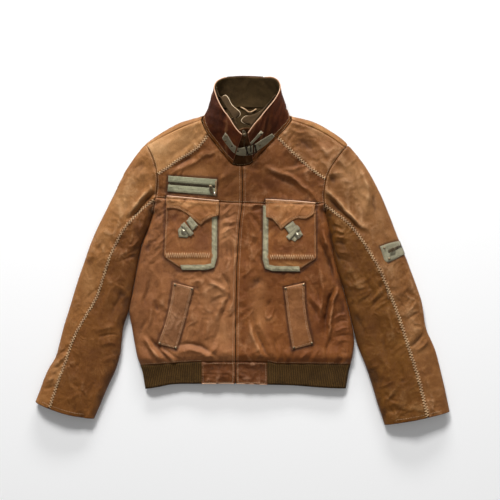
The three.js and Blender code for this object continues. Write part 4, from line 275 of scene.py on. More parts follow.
# seams press in, with the leather puffed either side and puckered along them
SEAMS = {}
def seam_field(lines):
    F = np.zeros(GX.shape); E = np.zeros(GX.shape)
    for p, depth, puck in lines:
        sl = window(p, 30); x = GX[sl].ravel(); y = GY[sl].ravel()
        d, _, _, s = nearest(p, x, y, 20000)
        puckers = puck * np.exp(-((d - 5) / 7) ** 2) * (np.sin(s / 3.1 + 2 * np.sin(s / 17.0)) * 0.5 + noise(s, d * 0.6, 41, 9, 2) * 0.9)
        f = -depth * np.exp(-(d / 1.5) ** 2) + 0.55 * depth * np.exp(-((d - 6.0) / 4.2) ** 2) + puckers
        F[sl] += f.reshape(F[sl].shape); E[sl] = np.maximum(E[sl], np.exp(-(d / 3.0) ** 2).reshape(F[sl].shape))
    return F, E
TOPSEAMS = [(W["armL"], 1.5, 0.35), (W["armR"], 1.5, 0.35), (W["yokL"], 1.1, 0.5), (W["yokR"], 1.1, 0.5), (W["shL"], 1.0, 0.25), (W["shR"], 1.0, 0.25), (W["colL"], 1.3, 0.6), (W["colR"], 1.3, 0.6),
            (W["chest"], 1.1, 0.7), (W["zzL"], 1.2, 0.5), (W["zzR"], 1.2, 0.5), (W["hemSeam"], 1.6, 1.0)]
SR, SE = seam_field(TOPSEAMS)
SP = np.zeros(GX.shape)
for p, _, _ in TOPSEAMS:
    sl = window(p, 14); SP[sl] = np.maximum(SP[sl], np.exp(-((nearest(p, GX[sl].ravel(), GY[sl].ravel(), 20000)[0] - 5.2) / 1.6) ** 2).reshape(SP[sl].shape) * (0.6 + 0.8 * noise(GX[sl], GY[sl], 43, 14, 2)))
BSEAMS = [(W["bkL"], 1.0, 0.3), (W["bkR"], 1.0, 0.3), (W["armBL"], 1.0, 0.3), (W["armBR"], 1.0, 0.3), (W["hemSeam"], 1.2, 0.8)]
SB, SBE = seam_field(BSEAMS)
TOPD = CR * 1.7 + (fine - fine.mean()) * 1.8 + broad * 1.1 + SR
for u, v in ((211, 189), (389, 250)):
    c = P(u, v); TOPD *= 1 - 0.85 * np.exp(-(((GX - c[0]) ** 2 + (GY - c[1]) ** 2) / 26 ** 2) ** 2)
calm = 1 - smooth((np.abs(GX - 22) - 300) / 60) * 0  # kept for tuning
# wear and shade: +1 where it is rubbed light on the crests, -1 where it is dark, in the troughs of the creases and fine
# wrinkles as painted shade, and along the seams
WEAR_AND_SHADE_TOP = np.clip(CV * 0.7 + (fine - fine.mean()) * 0.75 - SE * 0.15 + SP * 0.5, -1.4, 1.4)
BOTD = np.maximum(BR, 0) * 0.8 + np.maximum(broad + 0.2, 0) * 0.5 + np.maximum(fine, 0) * 0.5 + 0.8 * np.exp(-(0)) * 0
# painted shade: darkening in the angle round each piece that is sewn on, along a crease by the sleeve's lacing, along
# the laced seams, and over the folds and armholes between sleeves and body
LAID = [((167.0, 197), (217.6, 201.4), (217.4, 262), (214, 269.6), (180, 270), (165, 256), (167.0, 197)), ((265.4, 200), (315.2, 203.4), (315.6, 259), (299.6, 271.6), (266, 270.6), (262.6, 262), (263.4, 207), (265.4, 200)),
        ((173.8, 282.4), (193.8, 287.4), (186.6, 315), (177.3, 348.4), (158.3, 343.5), (168, 316), (173.8, 282.4)), ((283.8, 287.2), (304.3, 282.6), (305.4, 312), (312.4, 343.5), (292.3, 348.8), (287.4, 316), (283.8, 287.2)),
        ((169.2, 176.5), (217.3, 180), (216.5, 196.2), (168.1, 192.2), (169.2, 176.5)), ((378.6, 246.6), (400.2, 240.6), (405.4, 253.2), (387.4, 262), (378.6, 246.6))]
PAINTED_SHADE = np.zeros(GX.shape)
for q in LAID:
    p = PL(*q); sl = window(p, 12); dd = nearest(p, GX[sl].ravel(), GY[sl].ravel(), 20000)[0].reshape(PAINTED_SHADE[sl].shape); PAINTED_SHADE[sl] = np.maximum(PAINTED_SHADE[sl], 1.4 * np.exp(-(dd / 3.2) ** 2) + 0.6 * np.exp(-(dd / 8) ** 2))
p = curve(PL((384, 283), (385.6, 290), (386.9, 298.4)), 8); sl = window(p, 12); dd = nearest(p, GX[sl].ravel(), GY[sl].ravel(), 20000)[0].reshape(PAINTED_SHADE[sl].shape); PAINTED_SHADE[sl] = np.maximum(PAINTED_SHADE[sl], 1.3 * np.exp(-(dd / 2.4) ** 2))
for k in ("yokL", "yokR", "zzL", "zzR"):
    p = W[k]; sl = window(p, 14); dd = nearest(p, GX[sl].ravel(), GY[sl].ravel(), 20000)[0].reshape(PAINTED_SHADE[sl].shape); PAINTED_SHADE[sl] = np.maximum(PAINTED_SHADE[sl], 1.0 * np.exp(-(dd / 3.6) ** 2))
for k in ("inL", "inR", "armL", "armR"):
    p = W[k]; sl = window(p, 60); dd = nearest(p, GX[sl].ravel(), GY[sl].ravel(), 20000)[0].reshape(PAINTED_SHADE[sl].shape); PAINTED_SHADE[sl] = np.maximum(PAINTED_SHADE[sl], (0.55 if k[0] == "i" else 0.3) * np.exp(-(dd / (20 if k[0] == "i" else 7)) ** 2))
WEAR_AND_SHADE_BOT = np.clip(BV * 0.8 + (fine - fine.mean()) * 0.7 - SBE * 0.3, -1.4, 1.4)

def fold_dist(x, y):
    d = np.full(len(x), 1e9); nx = np.zeros(len(x)); ny = np.zeros(len(x))
    for f in FOLDS:
        m = (x > f[:, 0].min() - 60) & (x < f[:, 0].max() + 60) & (y > f[:, 1].min() - 60) & (y < f[:, 1].max() + 60)
        if not m.any(): continue
        i = np.nonzero(m)[0]
        e, cx, cy, _ = nearest(f, x[i], y[i])
        k = e < d[i]; i = i[k]
        d[i] = e[k]; q = np.maximum(e[k], 1e-6); nx[i] = (x[i] - cx[k]) / q; ny[i] = (y[i] - cy[k]) / q
    return d, nx, ny
def surface(x, y, top=True, detail=1.0):
    """height of the outer face over flat arrays x, y"""
    shp = np.shape(x); x = np.ravel(x).astype(float); y = np.ravel(y).astype(float)
    d, _, _ = fold_dist(x, y)
    h = sample(HR, x, y); r = EDGE_TOP if top else EDGE_BOTTOM
    q = np.clip((d - 0.25) / r, 0, 1); E = np.sqrt(1 - (1 - q) ** 2); mid = FOLD * h
    z = mid + ((h - mid) if top else -mid) * E
    if detail:
        fade = smooth((d - 1) / 16)
        z = z + sample(TOPD, x, y) * fade * detail if top else z + sample(BOTD, x, y) * fade * detail
    if top:
        z = np.where(d > 20, np.maximum(z, 8.0), z)
    return np.maximum(z, 0.0 if not top else 1.0).reshape(shp)

# ---- meshes ----
LINKED = bpy.context.scene.collection
def make(name, verts, faces, mat, attrs=None, smooth_faces=True):
    me = bpy.data.meshes.new(name)
    verts = np.asarray(verts, np.float32) / 1000.0
    if isinstance(faces, np.ndarray):
        k = faces.shape[1]
        me.vertices.add(len(verts)); me.vertices.foreach_set("co", verts.ravel())
        me.loops.add(faces.size); me.loops.foreach_set("vertex_index", faces.ravel().astype(np.int32))
        me.polygons.add(len(faces)); me.polygons.foreach_set("loop_start", np.arange(0, faces.size, k, dtype=np.int32))
        me.update(calc_edges=True)
    else:
        me.from_pydata(verts.tolist(), [], faces)
    me.validate()
    for k, v in (attrs or {}).items():
        a = me.attributes.new(k, "FLOAT", "POINT"); a.data.foreach_set("value", np.asarray(v, np.float32).ravel())
    me.polygons.foreach_set("use_smooth", np.full(len(me.polygons), smooth_faces)); me.update()
    o = bpy.data.objects.new(name, me); LINKED.objects.link(o)
    me.materials.append(mat)
    return o
def shell_faces(R, C, mask=None):
    if mask is None: mask = np.ones((R - 1, C - 1), bool)
    id_ = np.arange(R * C).reshape(R, C); N = R * C
    a, b, c, d = id_[:-1, :-1], id_[:-1, 1:], id_[1:, 1:], id_[1:, :-1]
    top = np.stack([a[mask], b[mask], c[mask], d[mask]], 1)
    bot = top[:, ::-1] + N
    m = np.pad(mask, 1)
    out = [top, bot]
    # edges along the rows: between (j,i) and (j,i+1)
    lo, hi = m[:-1, 1:-1], m[1:, 1:-1]
    j, i = np.nonzero(hi & ~lo); p, q = id_[j, i], id_[j, i + 1]; out.append(np.stack([q, p, p + N, q + N], 1))
    j, i = np.nonzero(lo & ~hi); p, q = id_[j, i], id_[j, i + 1]; out.append(np.stack([p, q, q + N, p + N], 1))
    lo, hi = m[1:-1, :-1], m[1:-1, 1:]
    j, i = np.nonzero(hi & ~lo); p, q = id_[j, i], id_[j + 1, i]; out.append(np.stack([p, q, q + N, p + N], 1))
    j, i = np.nonzero(lo & ~hi); p, q = id_[j, i], id_[j + 1, i]; out.append(np.stack([q, p, p + N, q + N], 1))
    return np.vstack(out)
def volume(v, f):
    v = np.asarray(v, float); s = 0
    for t in ((0, 1, 2), (0, 2, 3)):
        a, b, c = v[f[:, t[0]]], v[f[:, t[1]]], v[f[:, t[2]]]; s += np.einsum("ij,ij->i", a, np.cross(b, c)).sum()
    return s
def grid_len(G, axis):
    return float(np.linalg.norm(np.diff(G, axis=axis), axis=2).sum(axis=axis).max()) / 1000
def grid_area(G, mask=None):
    a, b, c, d = G[:-1, :-1], G[:-1, 1:], G[1:, 1:], G[1:, :-1]
    A = 0.5 * np.linalg.norm(np.cross(c - a, d - b), axis=2)
    return float((A if mask is None else A[mask]).sum()) / 1e6
SHEETS = []
def shell(name, outer, inner, mat, nodes, mask=None, attrs=None, rests=(), cloth=True, body=BODY):
    R, C = outer.shape[:2]; f = shell_faces(R, C, mask); outer, inner = outer.copy(), inner.copy(); outer[..., 2] = np.maximum(outer[..., 2], 0); inner[..., 2] = np.maximum(inner[..., 2], 0); v = np.vstack([outer.reshape(-1, 3), inner.reshape(-1, 3)])
    if mask is not None:
        used = np.zeros(len(v), bool); used[f.ravel()] = True; new = np.cumsum(used) - 1
        f = new[f]; v = v[used]
        attrs = {k: np.concatenate([np.ravel(a), np.ravel(a)])[used] for k, a in (attrs or {}).items()}
    else:
        attrs = {k: np.concatenate([np.ravel(a), np.ravel(a)]) for k, a in (attrs or {}).items()}
    if volume(v, f) < 0: f = f[:, ::-1]
    o = make(name, v, f, mat, attrs)
    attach(o, body)
    if nodes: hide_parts(*nodes)
    if cloth:
        w, l = grid_len(outer, 1), grid_len(outer, 0); A = grid_area(outer, mask)
        SHEETS.append((o, max(w, A / l * 1.0), l, A, rests))
    return o
def normals(G):
    du = np.gradient(G, axis=1); dv = np.gradient(G, axis=0); n = np.cross(du, dv)
    l = np.linalg.norm(n, axis=2, keepdims=True); return n / np.maximum(l, 1e-9)
def spaced(l, n, h, t):
    near = np.array([0.22, 0.85, 1.9, 3.4, 5.4, 7.8])
    a = near if h and l > 24 else np.zeros(0); b = near if t and l > 24 else np.zeros(0)
    s0 = a[-1] if len(a) else 0; s1 = l - (b[-1] if len(b) else 0); m = n - len(a) - len(b)
    mid = np.linspace(s0, s1, m + 1)
    return np.concatenate([[0.0] if len(a) else [], a[:-1], mid, l - b[-2::-1] if len(b) else [], [l] if len(b) else []])
def patch(c0, c1, a, b, cell, hc=(0, 0), ha=(0, 0), n=None, m=None):
    lc = max(cumlen(c0)[-1], cumlen(c1)[-1]); la = max(cumlen(a)[-1], cumlen(b)[-1])
    n = n or int(math.ceil(lc / cell)) + 4 * (hc[0] + hc[1]); m = m or int(math.ceil(la / cell)) + 4 * (ha[0] + ha[1])
    rs = lambda p, k, e: at(p, spaced(cumlen(p)[-1], k, *e))
    c0, c1, a, b = rs(c0, n, hc), rs(c1, n, hc), rs(a, m, ha), rs(b, m, ha)
    if len(c0) != len(c1) or len(a) != len(b): raise ValueError("patch")
    sh = lambda p: cumlen(p) / cumlen(p)[-1]
    u = ((sh(c0) + sh(c1)) / 2)[None, :, None]; v = ((sh(a) + sh(b)) / 2)[:, None, None]
    return (1 - v) * c0[None] + v * c1[None] + (1 - u) * a[:, None] + u * b[:, None] - ((1 - u) * (1 - v) * c0[0] + u * (1 - v) * c0[-1] + (1 - u) * v * c1[0] + u * v * c1[-1])
def inset(G, g=SEAM, sides=(1, 1, 1, 1)):
    rows, cols = G.shape[:2]
    ring = [(0, i, 0) for i in range(cols - 1)] + [(j, cols - 1, 1) for j in range(rows - 1)] + [(rows - 1, i, 2) for i in range(cols - 1, 0, -1)] + [(j, 0, 3) for j in range(rows - 1, 0, -1)]
    pts = np.array([G[j, i] for j, i, _ in ring]); k = len(pts); nx = np.roll(pts, -1, 0); pv = np.roll(pts, 1, 0)
    area = (pts[:, 0] * nx[:, 1] - nx[:, 0] * pts[:, 1]).sum(); turn = 1 if area > 0 else -1
    out = G.copy()
    for q, (j, i, side) in enumerate(ring):
        before = ring[q - 1][2]; e0 = pts[q] - pv[q]; e1 = nx[q] - pts[q]; l0 = np.hypot(*e0) or 1; l1 = np.hypot(*e1) or 1
        n0 = np.array([-e0[1], e0[0]]) / l0 * turn; n1 = np.array([-e1[1], e1[0]]) / l1 * turn; g0 = sides[before] * g; g1 = sides[side] * g
        det = n0[0] * n1[1] - n0[1] * n1[0]
        mm = np.array([(g0 * n1[1] - g1 * n0[1]) / det, (g1 * n0[0] - g0 * n1[0]) / det]) if abs(det) > 0.15 else (n0 * g0 + n1 * g1) / 2
        out[j, i] = pts[q] + mm
    return out
def lift(G, top=True, detail=1.0):
    z = surface(G[..., 0], G[..., 1], top, detail); return np.dstack([G, z])
def tones(G, top=True):
    x, y = G[..., 0], G[..., 1]
    # the painted shade darkens the panels round sewn-on pieces and between sleeves and body
    return {"wear": sample(WEAR_AND_SHADE_TOP - 1.1 * PAINTED_SHADE if top else WEAR_AND_SHADE_BOT, x, y), "tone": sample(TONE_AND_PAINTED_LIGHT if top else TONE_AND_PAINTED_LIGHT * 0.5, x, y)}
def solid(name, S, thick, mat, nodes, up, T, mask=None, rests=()):
    """a wall from its outer face; up is True where the face marked by 'up' index looks up"""
    N = normals(S); j, i, sgn = up
    if N[j, i, 2] * sgn < 0: N = -N
    return shell(name, S, S - N * thick, mat, nodes, mask, T, rests)

# soft light and dark areas, listed one by one: mostly the old leather's own rubbed and darker patches, with painted
# shadow under the pocket flaps and painted highlights on them: u, v, half widths, amount
TONE_AND_PAINTED_LIGHT = np.zeros(GX.shape)
for u, v, a, b, k in (
    (156, 148, 16, 10, 0.45), (172, 152, 14, 9, 0.2), (186, 138, 14, 9, 0.3), (236.5, 300, 5, 50, -0.3), (243, 300, 4, 60, -0.25), (190, 255.4, 21, 2.0, 0.5), (290, 257.1, 21, 2.0, 0.5), (204, 172, 20, 8, 0.45), (224, 232, 9, 16, 0.5), (222, 292, 12, 20, 0.6), (206, 296, 10, 18, 0.35), (222, 336, 10, 14, 0.3),
    (140, 176, 16, 12, 0.5), (124, 204, 12, 18, 0.55), (104, 240, 10, 26, 0.4), (88, 284, 10, 30, 0.25), (138, 232, 10, 22, -0.35), (150, 300, 9, 34, -0.35), (136, 330, 8, 18, -0.3), (118, 300, 12, 34, -0.2),
    (176, 320, 12, 20, 0.1), (258, 322, 10, 34, 0.55), (262, 286, 8, 16, 0.35), (252, 240, 7, 22, 0.3), (276, 186, 24, 10, -0.35), (290, 172, 20, 5, 0.35), (326, 262, 6, 24, 0.4), (320, 320, 10, 30, -0.35),
    (338, 320, 9, 26, -0.2), (350, 170, 14, 12, 0.5), (362, 198, 10, 20, 0.6), (378, 216, 8, 24, 0.35), (392, 262, 8, 26, 0.4), (410, 320, 8, 40, 0.25), (352, 262, 10, 30, -0.3), (372, 330, 12, 34, -0.35), (386, 380, 12, 24, -0.2),
    # in this row, the dark spots at (174, 217), (206, 214), (274, 214) and (300, 214) are painted shadow under the
    # pocket flaps, and the light bands at (190, 204) and (290, 208) are painted highlights on the flaps
    (60, 372, 10, 18, 0.35), (84, 372, 12, 22, -0.15), (316, 132, 14, 8, 0.35), (306, 154, 16, 8, -0.3), (178, 206, 22, 10, 0.1), (174, 217, 8, 5, -0.9), (190, 249, 18, 6, -0.3), (203, 238, 9, 12, -0.5), (184, 240, 12, 8, 0.25), (190, 261.5, 22, 3, 0.7), (286, 250, 16, 8, -0.6), (300, 240, 10, 12, -0.3), (274, 226, 6, 8, -0.4), (290, 264, 22, 3, 0.7), (190, 204, 20, 3.5, 0.5), (206, 214, 8, 6, -0.4), (290, 208, 18, 4, 0.3), (300, 214, 8, 5, -0.4), (274, 214, 6, 5, -0.3)):
    c = P(u, v); TONE_AND_PAINTED_LIGHT += k * np.exp(-(((GX - c[0]) / (a * GRID)) ** 2 + ((GY - c[1]) / (b * GRID)) ** 2))
TONE_AND_PAINTED_LIGHT += noise(GX, GY, 77, 60, 3) * 0.16
TONE_AND_PAINTED_LIGHT = np.clip(TONE_AND_PAINTED_LIGHT, -1.3, 1.3)

# ---- materials ----
def lin(r, g, b): return tuple((c / 255 / 12.92 if c <= 10 else ((c / 255 + 0.055) / 1.055) ** 2.4) for c in (r, g, b)) + (1.0,)
def deep(r, g, b):
    c = lin(r, g, b); return tuple(max(v * 1.1 - 0.02, v * 0.25) for v in c[:3]) + (1.0,)
class Nodes:
    def __init__(self, name):
        self.m = bpy.data.materials.new(name); self.m.use_nodes = True; self.t = self.m.node_tree; self.t.nodes.clear()
        self.out = self.t.nodes.new("ShaderNodeOutputMaterial"); self.b = self.t.nodes.new("ShaderNodeBsdfPrincipled"); self.t.links.new(self.b.outputs[0], self.out.inputs[0])
        self.co = self.t.nodes.new("ShaderNodeTexCoord").outputs["Object"]
    def n(self, kind, **k):
        n = self.t.nodes.new("ShaderNode" + kind)
        for a, v in k.items(): setattr(n, a, v)
        return n
    def put(self, sock, v):
        if isinstance(v, bpy.types.NodeSocket): self.t.links.new(v, sock)
        else: sock.default_value = v
    def noise(self, scale, detail=4, rough=0.55, dist=0.0, vec=None, kind="FBM"):
        n = self.n("TexNoise"); n.noise_type = kind; n.normalize = True
        self.put(n.inputs["Vector"], vec or self.co); n.inputs["Scale"].default_value = scale; n.inputs["Detail"].default_value = detail; n.inputs["Roughness"].default_value = rough; n.inputs["Distortion"].default_value = dist
        return n.outputs["Fac"]
    def voronoi(self, scale, feature="F1", vec=None):
        n = self.n("TexVoronoi"); n.feature = feature; self.put(n.inputs["Vector"], vec or self.co); n.inputs["Scale"].default_value = scale; return n.outputs["Distance"]
    def attr(self, name): n = self.n("Attribute"); n.attribute_name = name; return n.outputs["Fac"]
    def math(self, op, a, b=0.0, c=0.0, clamp=False):
        n = self.n("Math", operation=op, use_clamp=clamp)
        for i, v in enumerate((a, b, c)): self.put(n.inputs[i], v)
        return n.outputs[0]
    def ramp(self, v, x0, x1, y0=0.0, y1=1.0):
        n = self.n("MapRange"); n.interpolation_type = "SMOOTHSTEP"; self.put(n.inputs[0], v)
        for i, w in zip((1, 2, 3, 4), (x0, x1, y0, y1)): n.inputs[i].default_value = w
        return n.outputs[0]
    def mix(self, f, a, b, mode="MIX"):
        n = self.n("Mix", data_type="RGBA", blend_type=mode); n.clamp_factor = True
        self.put(n.inputs[0], f); self.put(n.inputs[6], a); self.put(n.inputs[7], b); return n.outputs[2]
    def bump(self, h, dist, strength=1.0, under=None):
        n = self.n("Bump"); n.inputs["Strength"].default_value = strength; n.inputs["Distance"].default_value = dist; self.put(n.inputs["Height"], h)
        if under: self.put(n.inputs["Normal"], under)
        return n.outputs[0]
    def stretch(self, sx, sy, sz, rot=0.0):
        n = self.n("Mapping"); self.put(n.inputs["Vector"], self.co); n.inputs["Scale"].default_value = (sx, sy, sz); n.inputs["Rotation"].default_value = (0, 0, rot); return n.outputs[0]
def leather(name, base, light, dark, rough=0.5, depth=1.0, spec=0.22, sheen=0.02):
    lin = deep
    N = Nodes(name)
    wear, tone = N.attr("wear"), N.attr("tone")
    big, mid, small = N.noise(9, 4, 0.6, 0.6), N.noise(42, 6, 0.62, 0.8), N.noise(230, 5, 0.65)
    c = N.mix(N.ramp(big, 0.3, 0.72, 0.0, 0.55), lin(*base), N.mix(0.5, lin(*base), lin(*dark)))
    c = N.mix(N.ramp(mid, 0.42, 0.8, 0.0, 0.32), c, lin(*dark))
    c = N.mix(N.ramp(mid, 0.5, 0.2, 0.0, 0.3), c, lin(*light))
    c = N.mix(N.ramp(tone, 0.0, 1.0, 0.0, 0.7), c, lin(*light))
    c = N.mix(N.ramp(tone, 0.0, -1.0, 0.0, 0.7), c, lin(*dark))
    # rubbed crests go pale, and the folds, crease troughs and the angles round sewn-on pieces are darkened: painted
    # shade
    rub_and_shade = N.math("ADD", wear, N.math("MULTIPLY", N.math("SUBTRACT", small, 0.5), 0.9))
    c = N.mix(N.ramp(rub_and_shade, 0.15, 1.25, 0.0, 0.5), c, lin(*[min(255, v + 30) for v in light]))
    c = N.mix(N.ramp(rub_and_shade, -0.1, -1.2, 0.0, 0.6), c, lin(*[v * 0.62 for v in dark]))
    # scuffs, dry specks and darker spots
    streak = N.noise(90, 5, 0.7, 1.2, N.stretch(1.0, 0.35, 1.0, 0.5))
    c = N.mix(N.ramp(streak, 0.62, 0.75, 0.0, 0.16), c, lin(*[min(255, v + 22) for v in light]))
    spot = N.noise(160, 3, 0.5, 0.3, N.stretch(1.0, 1.2, 1.0))
    c = N.mix(N.ramp(spot, 0.64, 0.75, 0.0, 0.22), c, lin(*[v * 0.6 for v in dark]))
    grain = N.voronoi(620, "DISTANCE_TO_EDGE")
    c = N.mix(N.ramp(grain, 0.10, 0.0, 0.0, 0.34), c, lin(*[v * 0.7 for v in dark]))
    N.put(N.b.inputs["Base Color"], c)
    r = N.math("ADD", N.math("MULTIPLY", small, 0.22), N.math("MULTIPLY", mid, 0.16)); r = N.math("ADD", r, rough - 0.19)
    N.put(N.b.inputs["Roughness"], N.math("ADD", r, N.ramp(wear, 0.2, 1.0, 0.0, -0.05)))
    fold = N.noise(75, 6, 0.6, 0.9, N.stretch(1.0, 0.7, 1.0, 0.35), "RIDGED_MULTIFRACTAL")
    n1 = N.bump(fold, 0.0012 * depth, 0.8)
    n2 = N.bump(N.math("ADD", N.ramp(grain, 0.0, 0.22), N.math("MULTIPLY", small, 0.6)), 0.00022 * depth, 0.9, n1)
    N.put(N.b.inputs["Normal"], n2)
    N.b.inputs["Specular IOR Level"].default_value = spec
    N.b.inputs["Sheen Weight"].default_value = sheen; N.b.inputs["Sheen Roughness"].default_value = 0.4
    return N.m
def woven(name, base, light, dark, pitch=0.0008, rough=0.88, rot=0.0, stain=0.5, sheen=0.12):
    N = Nodes(name); wear = N.attr("wear")
    v = N.stretch(1, 1, 1, rot)
    sep = N.n("SeparateXYZ"); N.put(sep.inputs[0], v)
    k = math.pi * 2 / (pitch * 2)
    wx = N.math("SINE", N.math("MULTIPLY", sep.outputs[0], k)); wy = N.math("SINE", N.math("MULTIPLY", sep.outputs[1], k))
    over = N.math("MULTIPLY", wx, wy)
    mid, small = N.noise(55, 5, 0.6, 0.5), N.noise(500, 3, 0.6)
    c = N.mix(N.ramp(mid, 0.35, 0.7, 0.0, 0.6 * stain + 0.2), lin(*base), lin(*dark))
    c = N.mix(N.ramp(N.noise(24, 4, 0.6), 0.5, 0.8, 0.0, stain), c, lin(*dark))
    c = N.mix(N.ramp(over, -0.2, 1.0, 0.0, 0.45), c, lin(*light))
    c = N.mix(N.ramp(over, 0.0, -1.0, 0.0, 0.5), c, lin(*[q * 0.7 for q in dark]))
    # lighter where rubbed, darker in painted shade: in crease troughs and along darkened rims
    c = N.mix(N.ramp(wear, 0.1, 1.0, 0.0, 0.4), c, lin(*light)); c = N.mix(N.ramp(wear, -0.1, -1.0, 0.0, 0.6), c, lin(*[q * 0.6 for q in dark]))
    N.put(N.b.inputs["Base Color"], N.mix(N.ramp(small, 0.3, 0.7, 0.0, 0.3), c, lin(*light)))
    N.b.inputs["Roughness"].default_value = rough; N.b.inputs["Specular IOR Level"].default_value = 0.2
    N.put(N.b.inputs["Normal"], N.bump(N.math("ADD", over, N.math("MULTIPLY", small, 1.2)), 0.00022, 0.8, N.bump(mid, 0.0006, 0.6)))
    N.b.inputs["Sheen Weight"].default_value = sheen; N.b.inputs["Sheen Roughness"].default_value = 0.6
    return N.m
def knitted(name, base, light, dark, along=1):
    N = Nodes(name); rib = N.attr("rib")
    sep = N.n("SeparateXYZ"); N.put(sep.inputs[0], N.co)
    row = N.math("SINE", N.math("ADD", N.math("MULTIPLY", sep.outputs[along], math.pi * 2 / 0.0021), N.math("MULTIPLY", rib, 2.2)))
    small = N.noise(420, 4, 0.65)
    # the rib's valleys are coloured darker than its ridges: painted shade in the grooves; the rows are lighter in bands
    c = N.mix(N.ramp(rib, -0.6, 0.8, 0.0, 1.0), lin(*dark), lin(*base)); c = N.mix(N.ramp(row, 0.2, 1.0, 0.0, 0.45), c, lin(*light))
    c = N.mix(N.ramp(N.noise(40, 5, 0.6), 0.45, 0.75, 0.0, 0.55), c, lin(*dark)); c = N.mix(N.ramp(small, 0.55, 0.75, 0.0, 0.4), c, lin(*light))
    N.put(N.b.inputs["Base Color"], c); N.b.inputs["Roughness"].default_value = 0.92; N.b.inputs["Specular IOR Level"].default_value = 0.06
    N.b.inputs["Sheen Weight"].default_value = 0.05; N.b.inputs["Sheen Roughness"].default_value = 0.5
    N.put(N.b.inputs["Normal"], N.bump(N.math("ADD", row, N.math("MULTIPLY", small, 1.4)), 0.0004, 0.8))
    return N.m
def metal(name, base, dark, rough=0.38):
    N = Nodes(name); mid, small = N.noise(320, 5, 0.6), N.noise(1500, 3, 0.6)
    N.put(N.b.inputs["Base Color"], N.mix(N.ramp(mid, 0.35, 0.65, 0.0, 0.75), lin(*base), lin(*dark)))
    N.b.inputs["Metallic"].default_value = 1.0
    N.put(N.b.inputs["Roughness"], N.math("ADD", N.math("MULTIPLY", mid, 0.3), rough - 0.12)); N.put(N.b.inputs["Normal"], N.bump(N.math("ADD", mid, small), 0.00008, 0.6))
    return N.m
def thread(name, base, dark):
    N = Nodes(name); small = N.noise(900, 3, 0.6)
    N.put(N.b.inputs["Base Color"], N.mix(N.ramp(N.noise(60, 4, 0.6), 0.35, 0.7, 0.0, 0.7), lin(*base), lin(*dark))); N.b.inputs["Roughness"].default_value = 0.8
    N.put(N.b.inputs["Normal"], N.bump(small, 0.0001, 0.8)); N.b.inputs["Sheen Weight"].default_value = 0.2
    return N.m
